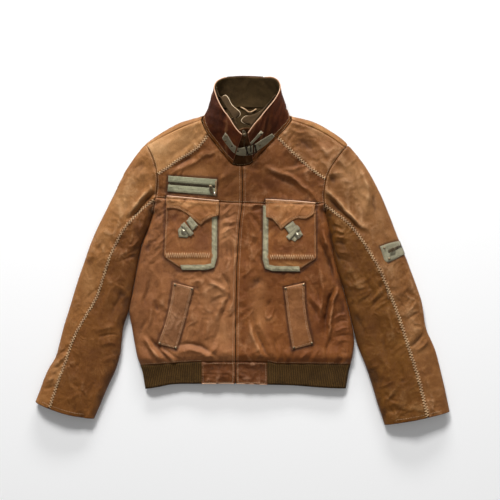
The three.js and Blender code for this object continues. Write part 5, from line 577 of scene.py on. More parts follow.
M = {
    # the yoke, front, upper sleeve and pocket pieces on the wearer's right (L here) are given lighter colours than
    # their twins on the left, and the under-sleeve pieces darker colours than the upper ones: painted light and painted
    # shade, the same leather coloured by how the light falls
    "yokeL": leather("leather_yoke_r_lit_side", (168, 122, 78), (206, 168, 124), (116, 76, 42)), "yokeR": leather("leather_yoke_l_shade_side", (138, 94, 58), (184, 142, 100), (92, 58, 32)),
    "chestL": leather("leather_chest_r", (130, 84, 50), (190, 136, 88), (76, 46, 25)), "chestR": leather("leather_chest_l", (126, 80, 48), (184, 132, 90), (72, 44, 24)),
    "frontL": leather("leather_front_r_lit_side", (146, 98, 64), (190, 138, 94), (92, 56, 32)), "frontR": leather("leather_front_l_shade_side", (128, 80, 47), (178, 124, 80), (78, 46, 25)),
    "back": leather("leather_back", (126, 82, 46), (170, 124, 76), (76, 47, 25)),
    "upperL": leather("leather_upper_r_lit_side", (144, 98, 58), (186, 142, 96), (92, 58, 31)), "upperR": leather("leather_upper_l_shade_side", (134, 91, 55), (182, 138, 94), (86, 54, 30)),
    "underL": leather("leather_under_r_painted_shade", (122, 80, 46), (166, 118, 76), (76, 47, 25)), "underR": leather("leather_under_l_painted_shade", (118, 78, 40), (166, 120, 72), (72, 46, 23)),
    "collar": leather("leather_collar", (88, 52, 26), (138, 88, 50), (46, 26, 13), 0.52, 1.0, 0.14, 0.0), "tab": leather("leather_tab", (106, 66, 39), (158, 110, 78), (62, 36, 20), 0.46),
    "pocketL": leather("leather_pocket_r_lit_side", (146, 96, 60), (200, 144, 92), (84, 50, 30)), "pocketR": leather("leather_pocket_l_shade_side", (138, 88, 52), (198, 142, 88), (78, 46, 28)),
    "flap": leather("leather_flap", (160, 108, 66), (210, 160, 108), (94, 58, 31)), "weltL": leather("leather_welt_r", (138, 96, 66), (184, 136, 98), (88, 56, 34)), "weltR": leather("leather_welt_l", (140, 94, 60), (186, 134, 92), (86, 52, 30)),
    "piping": leather("leather_piping", (206, 166, 136), (236, 204, 178), (160, 116, 88), 0.55, 0.4), "piping2": leather("leather_piping_2", (150, 98, 70), (196, 146, 116), (96, 58, 38), 0.55, 0.4), "edging": thread("edging_tan", (192, 168, 134), (150, 122, 90)),
    "under_collar": leather("leather_under_collar", (84, 58, 36), (136, 100, 68), (44, 30, 18), 0.6, 1.0, 0.1, 0.0),
    "binding": woven("canvas_binding", (142, 134, 104), (196, 188, 154), (84, 72, 52), 0.0009, 0.88, 0.3, 0.5), "canvas": woven("canvas_tab", (150, 142, 112), (186, 178, 148), (98, 86, 64), 0.0008), "patch": woven("canvas_patch", (140, 138, 108), (184, 184, 152), (88, 78, 56), 0.0008, 0.88, 0.1, 0.5),
    "patch2": woven("canvas_patch_2", (136, 130, 104), (176, 170, 142), (88, 78, 58), 0.0008, 0.88, 0.4, 0.6), "strap": woven("webbing", (130, 120, 94), (172, 162, 134), (76, 66, 48), 0.0012, 0.85, 0.5, 0.4),
    "knit": knitted("knit_hem", (84, 59, 27), (120, 90, 48), (32, 21, 10)), "lining": woven("felt_lining", (66, 49, 24), (86, 66, 36), (42, 30, 14), 0.0011, 0.95, 0.2, 0.6, 0.0), "inner": woven("knit_inner", (58, 42, 22), (80, 60, 34), (34, 24, 12), 0.0011, 0.95, 0.5, 0.6, 0.0),
    "placket": knitted("knit_placket", (48, 34, 18), (80, 60, 34), (22, 15, 9), 0), "tape": woven("tape", (46, 32, 20), (74, 56, 38), (24, 16, 10), 0.0008),
    "metal": metal("metal_aged", (150, 132, 104), (66, 54, 40)), "bright": metal("metal_bright", (214, 206, 190), (140, 128, 108), 0.28), "snap": metal("metal_snap", (196, 188, 164), (104, 94, 74), 0.32), "buckle": metal("metal_dark", (74, 62, 50), (34, 27, 22), 0.4), "teeth": metal("metal_teeth", (120, 98, 66), (52, 40, 26)),
    "thread": thread("thread_tan", (196, 160, 118), (138, 98, 62)), "thread2": thread("thread_olive", (150, 138, 104), (100, 88, 62)), "lace": thread("thread_cream", (216, 176, 128), (150, 108, 70)),
}

# ---- the body's panels ----
CELL = 2.55
zipTop, zipChest, zipHem = L["zip"][0], L["chest"][3], L["zip"][7]
A_, B_, C_, CA, CB, YK, CH = {}, {}, {}, {}, {}, {}, {}
for s in "LR":
    arm = W["arm" + s]; ce = L["chest"][0] if s == "L" else L["chest"][6]; yk = L["yok" + s]
    A_[s] = fix(between(arm, L["arm" + s][0], yk[0]), L["sh" + s][0], yk[0]); B_[s] = fix(between(arm, yk[0], ce), yk[0], ce); C_[s] = fix(between(arm, ce, L["arm" + s][5]), ce, L["in" + s][0])
    CA[s] = fix(between(W["col" + s], L["col" + s][0], yk[-1]), L["col" + s][0], yk[-1]); CB[s] = fix(between(W["col" + s], yk[-1], zipTop), yk[-1], zipTop); YK[s] = fix(W["yok" + s], yk[0], yk[-1])
CH["L"] = fix(between(W["chest"], L["chest"][0], zipChest), L["chest"][0], zipChest)
CH["R"] = fix(between(W["chest"], zipChest, L["chest"][6])[::-1], L["chest"][6], zipChest)
corner = {s: W["side" + s][-1] for s in "LR"}; tabp = dict(L=L["hemSeam"][3], R=L["hemSeam"][5])
HA = {s: fix(between(W["hemSeam"], corner[s], tabp[s]), corner[s], tabp[s]) for s in "LR"}; HB = {s: fix(between(W["hemSeam"], tabp[s], zipHem), tabp[s], zipHem) for s in "LR"}
SIDE = dict(L="right", R="left")
def shifted(p, dx): return p + [dx, 0]
BLUE = {}
for s in "LR":
    w = SIDE[s]; z = -ZIP_HALF if s == "L" else ZIP_HALF
    sh = fix(W["sh" + s], L["sh" + s][0], L["col" + s][0])
    G = inset(patch(sh, YK[s], A_[s], CA[s], CELL)); S = lift(G)
    solid("cloth_yoke_" + w, S, LEATHER, M["yoke" + s], ["yoke_" + w], (S.shape[0] // 2, S.shape[1] // 2, 1), tones(G), rests=["back_panel"])
    zc = shifted(between(W["zip"], zipTop, zipChest), z)
    t2, l2 = join(YK[s], CB[s]), CH[s].copy(); t2 = fix(t2, t2[0], zc[0]); l2 = fix(l2, l2[0], zc[-1])
    G = inset(patch(t2, l2, B_[s], zc, CELL)); S = lift(G)
    solid("cloth_chest_" + w, S, LEATHER, M["chest" + s], ["chest_" + w], (S.shape[0] // 2, S.shape[1] // 2, 1), tones(G), rests=["back_panel"])
    zl = shifted(between(W["zip"], zipChest, zipHem), z); hem = join(HA[s], HB[s]); hem = fix(hem, hem[0], zl[-1])
    a = join(C_[s], fix(W["side" + s], L["side" + s][0], corner[s]))
    G = inset(patch(l2, hem, a, zl, CELL, hc=(1, 0))); S = lift(G)
    solid("cloth_front_" + w, S, LEATHER, M["front" + s], ["front_" + w], (S.shape[0] // 2, S.shape[1] // 2, 1), tones(G), rests=["back_panel"])

# ---- back panel, which turns over the shoulders as far as the shoulder seams ----
UPB = {s: fix(between(W["armB" + s], L["armB" + s][0], L["armB" + s][3]), L["armB" + s][0], L["armB" + s][3]) for s in "LR"}
LOB = {s: fix(between(W["armB" + s], L["armB" + s][3], L["armB" + s][4]), L["armB" + s][3], L["armB" + s][4]) for s in "LR"}
side = {s: join(fix(W["side" + s][::-1], corner[s], L["armB" + s][4]), LOB[s][::-1], UPB[s][::-1]) for s in "LR"}
fL = fix(between(W["outL"], L["outL"][0], L["armBL"][0])[::-1], L["armBL"][0], L["outL"][0]); fR = fix(between(W["outR"], L["outR"][0], L["armBR"][0]), L["outR"][0], L["armBR"][0])
nb = fix(W["neckB"], L["outL"][0], L["outR"][0])
BC = 4.6; NS = int(cumlen(fL)[-1] / BC); NN = int(cumlen(nb)[-1] / BC); n = 2 * NS + NN; m = int(cumlen(side["L"])[-1] / BC) + 8
top = np.vstack([at(fL, np.linspace(0, cumlen(fL)[-1], NS + 1)), at(nb, np.linspace(0, cumlen(nb)[-1], NN + 1))[1:], at(fR, np.linspace(0, cumlen(fR)[-1], NS + 1))[1:]])
bot = fix(between(W["hemSeam"], corner["L"], corner["R"]), corner["L"], corner["R"]); lb = cumlen(bot)[-1]
near = np.array([0.3, 1.2, 3.0, 5.6, 9.0]); bot = at(bot, np.concatenate([[0], near, np.linspace(9, lb - 9, n - 9)[1:-1], lb - near[::-1], [lb]]))
sd = {s: at(side[s], spaced(cumlen(side[s])[-1], m, 0, 1)) for s in "LR"}
sh_ = lambda p: cumlen(p) / cumlen(p)[-1]
u = ((sh_(bot) + sh_(top)) / 2)[None, :, None]; v = ((sh_(sd["L"]) + sh_(sd["R"])) / 2)[:, None, None]
G = (1 - v) * bot[None] + v * top[None] + (1 - u) * sd["L"][:, None] + u * sd["R"][:, None] - ((1 - u) * (1 - v) * bot[0] + u * (1 - v) * bot[-1] + (1 - u) * v * top[0] + u * v * top[-1])
G = inset(G, SEAM, (1, 1, 0, 1)); G[-1, NS:NS + NN + 1] = top[NS:NS + NN + 1] - [0, SEAM]; G[-1, 0] += [SEAM, 0]; G[-1, -1] -= [SEAM, 0]
S = lift(G, False)
q = np.vstack([at(W["shL"], np.linspace(0, cumlen(W["shL"])[-1], NS + 1)), top[NS + 1:NS + NN], at(W["shR"][::-1], np.linspace(0, cumlen(W["shR"])[-1], NS + 1))])
EX = [0.012, 0.05, 0.12, 0.22, 0.36, 0.52, 0.68, 0.84, 1.0]; rows = []; grs = []
for t in EX:
    d = q - top; l = np.maximum(np.linalg.norm(d, axis=1, keepdims=True), 1e-6); r = top + d * t * (1 - SEAM / np.maximum(l, 1)); r[NS + 1:NS + NN] = top[NS + 1:NS + NN] - [0, SEAM]
    r[0] += [SEAM, 0]; r[NS] -= [SEAM, 0]; r[NS + NN] += [SEAM, 0]; r[-1] -= [SEAM, 0]
    grs.append(r); rows.append(lift(r[None])[0])
Gb = np.vstack([G, np.array(grs)]); R0 = S.shape[0]; S = np.vstack([S, np.array(rows)])
S[:, 0, 2] -= 0.0
mask = np.ones((S.shape[0] - 1, S.shape[1] - 1), bool); mask[R0 - 1:, NS:NS + NN] = False
T = tones(Gb, False); Tt = tones(Gb); k = np.arange(S.shape[0])[:, None] >= R0
T = {a: np.where(k, Tt[a], T[a]) for a in T}; T["tone"] = T["tone"] + np.where(k, 0.45, 0.0)
# the masked rows keep the neck's own slope for their normals
N = normals(S); Nf = normals(S[:R0]); N[:R0, NS + 1:NS + NN] = Nf[:, NS + 1:NS + NN]
if N[R0 // 2, S.shape[1] // 2, 2] > 0: N = -N
shell("cloth_back", S, S - N * LEATHER, M["back"], ["back_panel"], mask, T, ["hem_rib"])

# ---- sleeves ----
for s in "LR":
    w = SIDE[s]; tip = L["armB" + s][0]; cuff = W["cuff" + s]; zz = fix(W["zz" + s], CH[s][0], L["zz" + s][-1]); zE = zz[-1]; inE = cuff[-1]
    A = fix(between(W["out" + s], tip, cuff[0], 160), tip, cuff[0]); I = fix(W["in" + s], C_[s][-1], inE); K = fix(W["bk" + s], L["bk" + s][0], L["bk" + s][-1])
    start = CH[s][0]; kE = K[-1]
    c0 = join(np.array([tip, L["sh" + s][0]]), A_[s], B_[s]); c1 = fix(between(cuff, cuff[0], zE), cuff[0], zE)
    mrows = int(cumlen(A)[-1] / CELL)
    Gf = inset(patch(c0, c1, A, zz, CELL, hc=(1, 0), m=mrows), sides=(1, 1, 1, 0))
    b0 = UPB[s][::-1]; b1 = fix(between(cuff, cuff[0], kE)[::-1], kE, cuff[0])
    Gk = inset(patch(b0, b1, K, A, 4.6, hc=(0, 1), m=mrows), sides=(1, 0, 1, 1))
    Gk[:, -1] = Gf[:, 0] = (Gk[:, -1] + Gf[:, 0]) / 2
    for Gx in (Gf, Gk): pass
    Sf, Sk = lift(Gf), lift(Gk, False); Sk[:, -1, 2] = Sf[:, 0, 2] = FOLD * sample(HR, Gf[:, 0, 0], Gf[:, 0, 1])
    S = np.concatenate([Sk, Sf[:, 1:]], 1); T = {a: np.concatenate([tones(Gk, False)[a], tones(Gf)[a][:, 1:]], 1) for a in ("wear", "tone")}
    N = normals(S); cN = -1 if N[S.shape[0] // 2, -S.shape[1] // 5, 2] < 0 else 1
    shell("cloth_sleeve_upper_" + w, S, S - N * cN * LEATHER, M["upper" + s], ["sleeve_upper_" + w] + (["sleeve_upper_back_left"] if s == "R" else []), None, T, ["back_panel"])
    Gf = inset(patch(C_[s], fix(between(cuff, zE, inE), zE, inE), zz, I, CELL, hc=(0, 1), m=mrows), sides=(1, 0, 1, 1))
    e0 = LOB[s][::-1]; e1 = fix(between(cuff, inE, kE), inE, kE)
    Gk = inset(patch(e0, e1, I, K, 4.6, hc=(1, 0), m=mrows), sides=(1, 1, 1, 0))
    Gk[:, 0] = Gf[:, -1] = (Gk[:, 0] + Gf[:, -1]) / 2
    Sf, Sk = lift(Gf), lift(Gk, False); Sk[:, 0, 2] = Sf[:, -1, 2] = FOLD * sample(HR, Gf[:, -1, 0], Gf[:, -1, 1])
    S = np.concatenate([Sf, Sk[:, 1:]], 1); T = {a: np.concatenate([tones(Gf)[a], tones(Gk, False)[a][:, 1:]], 1) for a in ("wear", "tone")}
    N = normals(S); cN = -1 if N[S.shape[0] // 2, Sf.shape[1] // 2, 2] < 0 else 1
    shell("cloth_sleeve_under_" + w, S, S - N * cN * LEATHER, M["under" + s], ["sleeve_under_" + w] + (["sleeve_under_back_left"] if s == "R" else []), None, T, ["back_panel"])

# ---- hem: a ribbed band, with its columns modelled, and two leather tabs ----
eL, eR = L["hemEdge"][3], L["hemEdge"][5]; hC = {s: W["rib" + s][-1] for s in "LR"}
edge = lambda p, q: fix(between(W["hemEdge"], p, q), p, q)
RC = 1.05
def rib_side(c0, c1, a, b, top, hc):
    G = patch(c0, c1, a, b, RC, hc=hc, m=10); return G
f1 = rib_side(HA["L"][::-1], edge(eL, hC["L"]), np.array([tabp["L"], eL]), W["ribL"], True, (0, 1))
bb = fix(between(W["hemSeam"], corner["L"], corner["R"]), corner["L"], corner["R"])
bk = rib_side(bb, edge(hC["L"], hC["R"]), W["ribL"], W["ribR"], False, (1, 1))
f2 = rib_side(HA["R"], edge(hC["R"], eR), W["ribR"], np.array([tabp["R"], eR]), True, (1, 0))
f1, bk, f2 = inset(f1, SEAM, (1, 0, 1, 1)), inset(bk, SEAM, (1, 0, 1, 0)), inset(f2, SEAM, (1, 1, 1, 0))
bk[:, 0] = f1[:, -1]; bk[:, -1] = f2[:, 0]
S1, S2, S3 = lift(f1, True, 0.5), lift(bk, False, 0.35), lift(f2, True, 0.5)
for a, b in ((S1[:, -1], S2[:, 0]), (S3[:, 0], S2[:, -1])): a[:, 2] = b[:, 2] = FOLD * sample(HR, a[:, 0], a[:, 1])
S = np.concatenate([S1, S2[:, 1:], S3[:, 1:]], 1); N = normals(S)
if N[5, S1.shape[1] // 2, 2] < 0: N = -N
arc = cumlen(S[5]); ph = np.sin(arc * 2 * math.pi / 4.4); rib = np.tanh(ph * 1.6)[None].repeat(S.shape[0], 0)
isb = np.zeros(S.shape[1], bool); isb[S1.shape[1]:S1.shape[1] + S2.shape[1] - 2] = True
amp = np.where(isb, 0.5, 0.8) * np.sin(np.pi * np.clip(np.linspace(0.04, 0.96, S.shape[0]), 0, 1))[:, None] ** 0.4
O = S + N * (rib * amp - np.where(isb, 0.6, 0.0)[None])[..., None] ; O[..., 2] = np.maximum(O[..., 2], 0.0)
shell("cloth_hem_rib", O, S - N * KNIT, M["knit"], ["hem_rib"], None, {"rib": rib, "wear": rib * 0}, ["cloth_back"])
for s in "LR":
    w = SIDE[s]; z = -ZIP_HALF if s == "L" else ZIP_HALF; z0, z1 = zipHem + [z, 0], L["zipHem"][1] + [z, 0]; e = eL if s == "L" else eR
    G = inset(patch(fix(HB[s], tabp[s], z0), fix(edge(e, z1) if s == "L" else edge(z1, e)[::-1], e, z1), np.array([tabp[s], e]), np.array([z0, z1]), 2.0))
    S = lift(G); x, y = G[..., 0], G[..., 1]
    S[..., 2] += 0.3 * np.sin(y / 1.9 + 2.6 * noise(x, y, 61, 22, 2)) * smooth(noise(x, y, 62, 26, 2) + 0.6) + 0.8 * noise(x, y, 63, 12, 3)
    T = tones(G); T["wear"] = T["wear"] * 0.6 + 0.7 * noise(x, y, 63, 12, 3)
    solid("cloth_hem_tab_" + w, S, LEATHER, M["tab"], ["hem_tab_" + w], (S.shape[0] // 2, S.shape[1] // 2, 1), T, rests=["cloth_back"])

# ---- pieces laid on the panels ----
def overlay(name, c0, c1, a, b, off, thick, mat, nodes, slot, cell=2.2, puff=0.0, stitch=(), detail=0.85, tilt=None, wear=0.0, roll=2.2, attrs=None, body=BODY, rimw=0.9):
    """off: height of its underside over the surface below. Its rim is rounded, and rows of stitching press it in."""
    G = patch(c0, c1, a, b, cell); x, y = G[..., 0], G[..., 1]
    rim = np.vstack([G[0], G[1:, -1], G[-1, -2::-1], G[-2::-1, 0]])
    d = nearest(rim, x.ravel(), y.ravel())[0].reshape(x.shape)
    base = surface(x, y, True, detail); q = np.clip(d / roll, 0, 1); rise = 0.35 + 0.65 * np.sqrt(1 - (1 - q) ** 2)
    z = base + off + thick * rise + puff * smooth(d / 45)
    for st in stitch: z = z - 0.55 * np.exp(-((d - st) / 0.9) ** 2)
    if stitch: z = z + 0.35 * np.exp(-((d - stitch[-1] - 3) / 2.5) ** 2) + 0.25 * noise(x, y, 88, 8, 2) * np.exp(-((d - stitch[-1] - 1) / 4) ** 2)
    if tilt is not None: z = z + tilt(x, y)
    S = np.dstack([G, z]); I = np.dstack([G, np.minimum(base + off, z - 0.3) if tilt is None else z - thick * 0.8])
    # the rim is lighter where rimw is above 0, as rubbed wear; a rim darkened by a negative rimw and the darker band
    # along the first row of stitching are painted shade
    w = sample(WEAR_AND_SHADE_TOP, x, y) * 0.8 + wear + rimw * np.exp(-(d / 1.6) ** 2) - 0.5 * np.exp(-((d - (stitch[0] if stitch else 3)) / 1.2) ** 2)
    T = {"wear": w, "tone": sample(TONE_AND_PAINTED_LIGHT, x, y), "rib": x * 0}
    T.update(attrs or {})
    o = shell(name, S, I, mat, nodes, None, T, ["cloth_back"], body=body)
    TOPS.append((S, d)); return o, S, d
TOPS = []
def curl(x, y, a, b):
    """a flap stands away towards its free edge"""
    d = nearest(PL(a, b), x.ravel(), y.ravel())[0].reshape(x.shape); return 2.6 * smooth((d - 20) / 50) + 0.5 * noise(x, y, 64, 16, 2)
def seg(*p): return PL(*p)
def four(a, b, c, d): return seg(a, b), seg(d, c), seg(a, d), seg(b, c)
def smoothed(*p): return curve(PL(*p), 8)
def height_on(S, x, y):
    """height of a laid grid at points, by its nearest vertex"""
    V = S.reshape(-1, 3); out = np.empty(len(x))
    for i in range(len(x)): out[i] = V[((V[:, 0] - x[i]) ** 2 + (V[:, 1] - y[i]) ** 2).argmin(), 2]
    return out
# pockets
pr = overlay("cloth_pocket_right", seg((167.0, 198.4), (217.0, 202.4)), seg((164.9, 255.4), (166.0, 258.0), (179.8, 267.4), (214, 266.8)), smoothed((167.0, 198.4), (166.6, 220), (164.9, 255.4)), seg((217.0, 202.4), (214, 266.8)), 0.45, 1.9, M["pocketL"], ["pocket_right"], "leather", puff=2.2, detail=0.9, cell=2.3, tilt=lambda x, y: 0.9 * np.exp(-((y - P(0, 255.4)[1]) / 7.0) ** 4))
pl = overlay("cloth_pocket_left", seg((265.8, 200.8), (314.8, 202.6)), seg((266.0, 268.6), (299.8, 268.8), (314.4, 259.4), (315.4, 257.0)), seg((265.8, 200.8), (266.0, 268.6)), smoothed((314.8, 202.6), (315.2, 230), (315.4, 257.0)), 0.45, 1.9, M["pocketR"], ["pocket_left"], "leather", puff=2.2, detail=0.9, cell=2.3, tilt=lambda x, y: 0.9 * np.exp(-((y - P(0, 257.1)[1]) / 6.6) ** 4))
def band(name, inner, outer, off, thick, mat, nodes, slot, puff=0, **k):
    inner, outer = PL(*inner), PL(*outer)
    return overlay(name, inner, outer, np.array([inner[0], outer[0]]), np.array([inner[-1], outer[-1]]), off, thick, mat, nodes, slot, **k)
pbump = 2.4
band("cloth_binding_right", [(211.8, 206), (211.8, 256), (211.2, 263.0), (206, 264.2), (180.0, 264.6)], [(217.7, 206), (217.4, 258), (214.6, 267.6), (207, 270.0), (182.5, 269.9)], 0.6, 2.9, M["binding"], ["pocket_binding_right"], "canvas", cell=1.5, roll=1.9, rimw=-1.1, wear=0.45, stitch=(3.0,), tilt=lambda x, y: 0.5 * np.sin(x / 3.1 + y / 2.3) * noise(x, y, 31, 12, 2))
band("cloth_binding_left", [(268.6, 206), (268.4, 256), (269.0, 264.2), (275, 265.6), (299.2, 266.0)], [(262.9, 206), (262.6, 260), (265.0, 268.6), (272, 271.0), (299.6, 271.6)], 0.6, 2.9, M["binding"], ["pocket_binding_left"], "canvas", cell=1.5, roll=1.9, rimw=-1.1, wear=0.45, stitch=(3.0,), tilt=lambda x, y: 0.5 * np.sin(x / 3.1 + y / 2.3) * noise(x, y, 32, 12, 2))
fr = overlay("cloth_flap_right", smoothed((167.6, 196.9), (185, 198.4), (202, 200), (219.4, 201.6)), join(curve(PL((167.4, 208.8), (177, 209.2), (187.5, 214.2), (194.6, 220.6), (201.3, 226.0))), curve(PL((201.3, 226.0), (205.5, 221.6), (211.6, 218.2), (218.8, 216.0)))), seg((167.6, 196.9), (167.4, 208.8)), seg((219.4, 201.6), (218.8, 216.0)), 3.6, 2.5, M["flap"], ["pocket_flap_right"], "leather", cell=1.7, stitch=(2.6, 5.6), puff=0.8, tilt=lambda x, y: curl(x, y, (167, 193), (219, 197)))
fl = overlay("cloth_flap_left", smoothed((265.5, 200.2), (280, 201.0), (296, 202), (315.0, 203.8)), join(curve(PL((265.9, 217.6), (272, 219.4), (276.6, 224.4), (280.8, 230.0))), curve(PL((280.8, 230.0), (288.4, 223.4), (296, 219.0), (305, 219.2), (312.8, 214.8)))), seg((265.5, 200.2), (265.9, 217.6)), smoothed((315.0, 203.8), (314.0, 209), (312.8, 214.8)), 3.6, 2.5, M["flap"], ["pocket_flap_left"], "leather", cell=1.7, stitch=(2.6, 5.6), puff=0.8, tilt=lambda x, y: curl(x, y, (265, 197), (315, 200)))
# tabs on the pockets: strap, bar and pointed end with a snap
tabk = dict(cell=1.1, rimw=-0.8, wear=0.25, roll=1.2, stitch=(1.9,), detail=0.8)
overlay("cloth_tab_right", *four((186.9, 221.4), (193.0, 231.2), (198.6, 225.6), (190.8, 216.8)), 6.8, 1.9, M["canvas"], ["pocket_tab_right"], "canvas", **tabk)
overlay("cloth_tab_end_right", seg((181.8, 226.2), (190.9, 234.2)), seg((178.6, 230.0), (179.2, 237.2)), seg((181.8, 226.2), (178.6, 230.0)), join(seg((190.9, 234.2), (187.8, 238.0)), seg((187.8, 238.0), (179.2, 237.2))), 4.8, 1.9, M["canvas"], ["pocket_tab_end_right"], "canvas", **tabk)
overlay("cloth_tab_bar_right", *four((181.3, 225.6), (190.9, 236.8), (194.5, 233.6), (184.9, 222.4)), 7.6, 2.0, M["canvas"], ["pocket_tab_bar_right"], "canvas", **tabk)
overlay("cloth_tab_left", *four((284.2, 227.6), (289.2, 234.6), (297.0, 227.8), (292.4, 221.4)), 6.8, 1.9, M["canvas"], ["pocket_tab_left"], "canvas", **tabk)
overlay("cloth_tab_end_left", seg((289.6, 239.2), (299.6, 229.6)), seg((294.4, 241.8), (302.4, 235.0)), seg((289.6, 239.2), (294.4, 241.8)), seg((299.6, 229.6), (302.4, 235.0)), 4.8, 1.9, M["canvas"], ["pocket_tab_end_left"], "canvas", **tabk)
overlay("cloth_tab_bar_left", *four((285.6, 237.0), (288.9, 240.5), (299.9, 228.9), (296.6, 225.2)), 7.6, 2.0, M["canvas"], ["pocket_tab_bar_left"], "canvas", **tabk)
# chest patch with its zip
za, zb = (168.9, 184.0), (216.9, 187.7); CALM = dict(cell=1.5, roll=1.4, detail=0.6, rimw=-0.5, wear=0.2)
overlay("cloth_patch_upper", *four((169.2, 176.5), (217.3, 180), (zb[0], zb[1] - 1.3), (za[0], za[1] - 1.4)), 0.45, 1.4, M["patch"], ["patch_upper_right"], "canvas", stitch=(2.2,), **CALM)
overlay("cloth_patch_lower", *four((za[0], za[1] + 1.3), (zb[0], zb[1] + 1.3), (216.5, 196.2), (168.1, 192.2)), 0.45, 1.4, M["patch"], ["patch_lower_right"], "canvas", stitch=(2.2,), **CALM)
overlay("cloth_patch_tape", *four((za[0] + 0.6, za[1] - 1.6), (zb[0] - 0.6, zb[1] - 1.6), (zb[0] - 0.6, zb[1] + 1.6), (za[0] + 0.6, za[1] + 1.6)), 0.1, 0.3, M["tape"], [], "canvas", cell=1.5, roll=0.6, detail=0.6)
# sleeve patch
overlay("cloth_sleeve_patch", smoothed((378.6, 246.6), (388.0, 243.2), (399.0, 240.9)), smoothed((382.6, 259.6), (387.4, 262.0), (404.2, 253.8)), seg((378.6, 246.6), (382.6, 259.6)), seg((399.0, 240.9), (404.2, 253.8)), 0.45, 1.4, M["patch2"], ["sleeve_patch"], "canvas", stitch=(2.2,), **CALM)
overlay("cloth_sleeve_tape", *four((386.2, 250.6), (400.2, 244.4), (401.2, 247.0), (387.2, 253.2)), 1.75, 0.4, M["tape"], [], "canvas", cell=1.2, roll=0.6, detail=0.6)
# side pocket welts
wr = overlay("cloth_welt_right", seg((173.8, 282.4), (193.8, 287.4)), seg((158.3, 343.5), (177.3, 348.4)), smoothed((173.8, 282.4), (171.6, 300), (165.6, 324), (158.3, 343.5)), smoothed((193.8, 287.4), (189.8, 303), (183.6, 327), (177.3, 348.4)), 0.45, 2.0, M["weltL"], ["welt_right"], "leather", stitch=(2.4, 5.0), puff=0.6, wear=0.1, cell=2.0)
wl = overlay("cloth_welt_left", seg((283.8, 287.2), (304.3, 282.6)), seg((292.3, 348.8), (312.4, 343.5)), smoothed((283.8, 287.2), (285.8, 303), (288.6, 326), (292.3, 348.8)), smoothed((304.3, 282.6), (304.6, 303), (308.0, 326), (312.4, 343.5)), 0.45, 2.0, M["weltR"], ["welt_left"], "leather", stitch=(2.4, 5.0), puff=0.6, wear=0.1, cell=2.0)

# ---- collar ----
FOOT = np.array([(232.6, 164.4, 1), (228.9, 161, 1), (225.4, 157, 1), (221.2, 151.6, 1), (217, 146.2, 1), (212.8, 141, 1), (208.8, 135.4, 1), (204.8, 127, 1), (203.4, 120.8, 1), (205.3, 114.4, 6), (209, 112.2, 1.4), (215.4, 110.8, 0.3), (225, 109.7, 0.3), (236, 109.2, 0.3), (246, 109, 0.3), (256, 109.2, 0.3), (267, 109.7, 0.3), (277, 110.8, 0.3), (284.4, 112.2, 1.4), (288.6, 114.4, 6), (290, 121.2, 1), (288.6, 125, 1), (284.9, 129.6, 1), (276.6, 137.6, 1), (272.2, 142.2, 1), (267.6, 147.2, 1), (262.8, 151.8, 1), (258, 156.6, 1), (253, 162, 1)]); HEADR = np.array([(242.2, 137.6, 66), (239.2, 135.2, 66), (236.2, 131.8, 65.5), (233.2, 127.4, 64.5), (230.4, 122.6, 63.5), (227.4, 118.2, 62), (223.8, 113.5, 60), (217.8, 102.1, 52), (214.4, 90.4, 41), (216, 84.6, 32), (220, 81, 26), (226, 78.7, 20), (233, 77.9, 17.5), (239.5, 77.5, 16.5), (246, 77.4, 16), (252.5, 77.6, 16), (259, 77.9, 16.5), (265.3, 78.4, 18), (271.5, 78.6, 22), (276.4, 80.8, 28), (279.6, 85.2, 34), (280, 90.8, 41), (277.6, 97.4, 48), (274, 103.5, 54), (270.2, 108.4, 57.5), (266, 113.5, 60), (260.6, 120.6, 63.5), (254.2, 128, 66), (248.2, 136.6, 66)])
wing = lambda x, y: 28 + ((y - P(0, 165)[1]) / (P(0, 137)[1] - P(0, 165)[1])) * 38
base = []
for x, y, k in FOOT:
    p = P(x, y); base.append([p[0], p[1], float(surface(p[:1], p[1:], True, 0)[0]) if k == 1 else k])
base = curve(np.array(base), 7); head = curve(np.array([[*P(x, y), z] for x, y, z in HEADR]), 7)
NV = 26; vv = np.linspace(0, 1, NV)[:, None, None]
CG = base[None] * (1 - vv) + head[None] * vv
Nc = normals(CG); cen = CG.mean((0, 1))
if (Nc[NV // 2, 80] * (CG[NV // 2, 80] - cen)).sum() < 0: Nc = -Nc
arcc = cumlen(CG[NV // 2]); uu = arcc / arcc[-1]
us, vs = np.meshgrid(arcc, np.linspace(0, 1, NV) * 62)
# the wings roll out a little, and hold diagonal pulls and soft dents
front = np.minimum(uu, 1 - uu)[None]; V1 = np.linspace(0, 1, NV)[:, None]
bulge = (3.2 - 2.6 * np.exp(-((front - 0.3) / 0.09) ** 2)) * np.sin(np.pi * V1 ** 0.9)
crump = noise(us, vs, 55, 26, 3) * 1.6 + noise(us + vs * 0.8, vs, 56, 11, 2) * 0.55 + 0.8 * (1 - np.abs(noise(us * 0.6 + vs, vs * 0.5 - us * 0.2, 57, 20, 2)) * 2)
pullL = 2.2 * np.exp(-((front - 0.03 - 0.10 * V1) / 0.018) ** 2) - 2.0 * np.exp(-((front - 0.055 - 0.11 * V1) / 0.016) ** 2) + 1.6 * np.exp(-((front - 0.09 - 0.09 * V1) / 0.02) ** 2) - 1.4 * np.exp(-((front - 0.125 - 0.06 * V1) / 0.02) ** 2)
fadec = smooth(V1 / 0.08) * smooth((1 - V1) / 0.05)
strap_calm = 1 - 0.75 * np.exp(-((front - 0.03) / 0.05) ** 2) * np.ones_like(V1)
disp = (bulge + crump * 0.9 * strap_calm + pullL * 0.55 * strap_calm - 3.4 * Nc[..., 0] ** 2 * np.clip(np.sin(np.pi * V1), 0, 1) ** 0.8) * fadec
CO = CG + Nc * disp[..., None]
CO[..., 2] = np.maximum(CO[..., 2], 0.4)
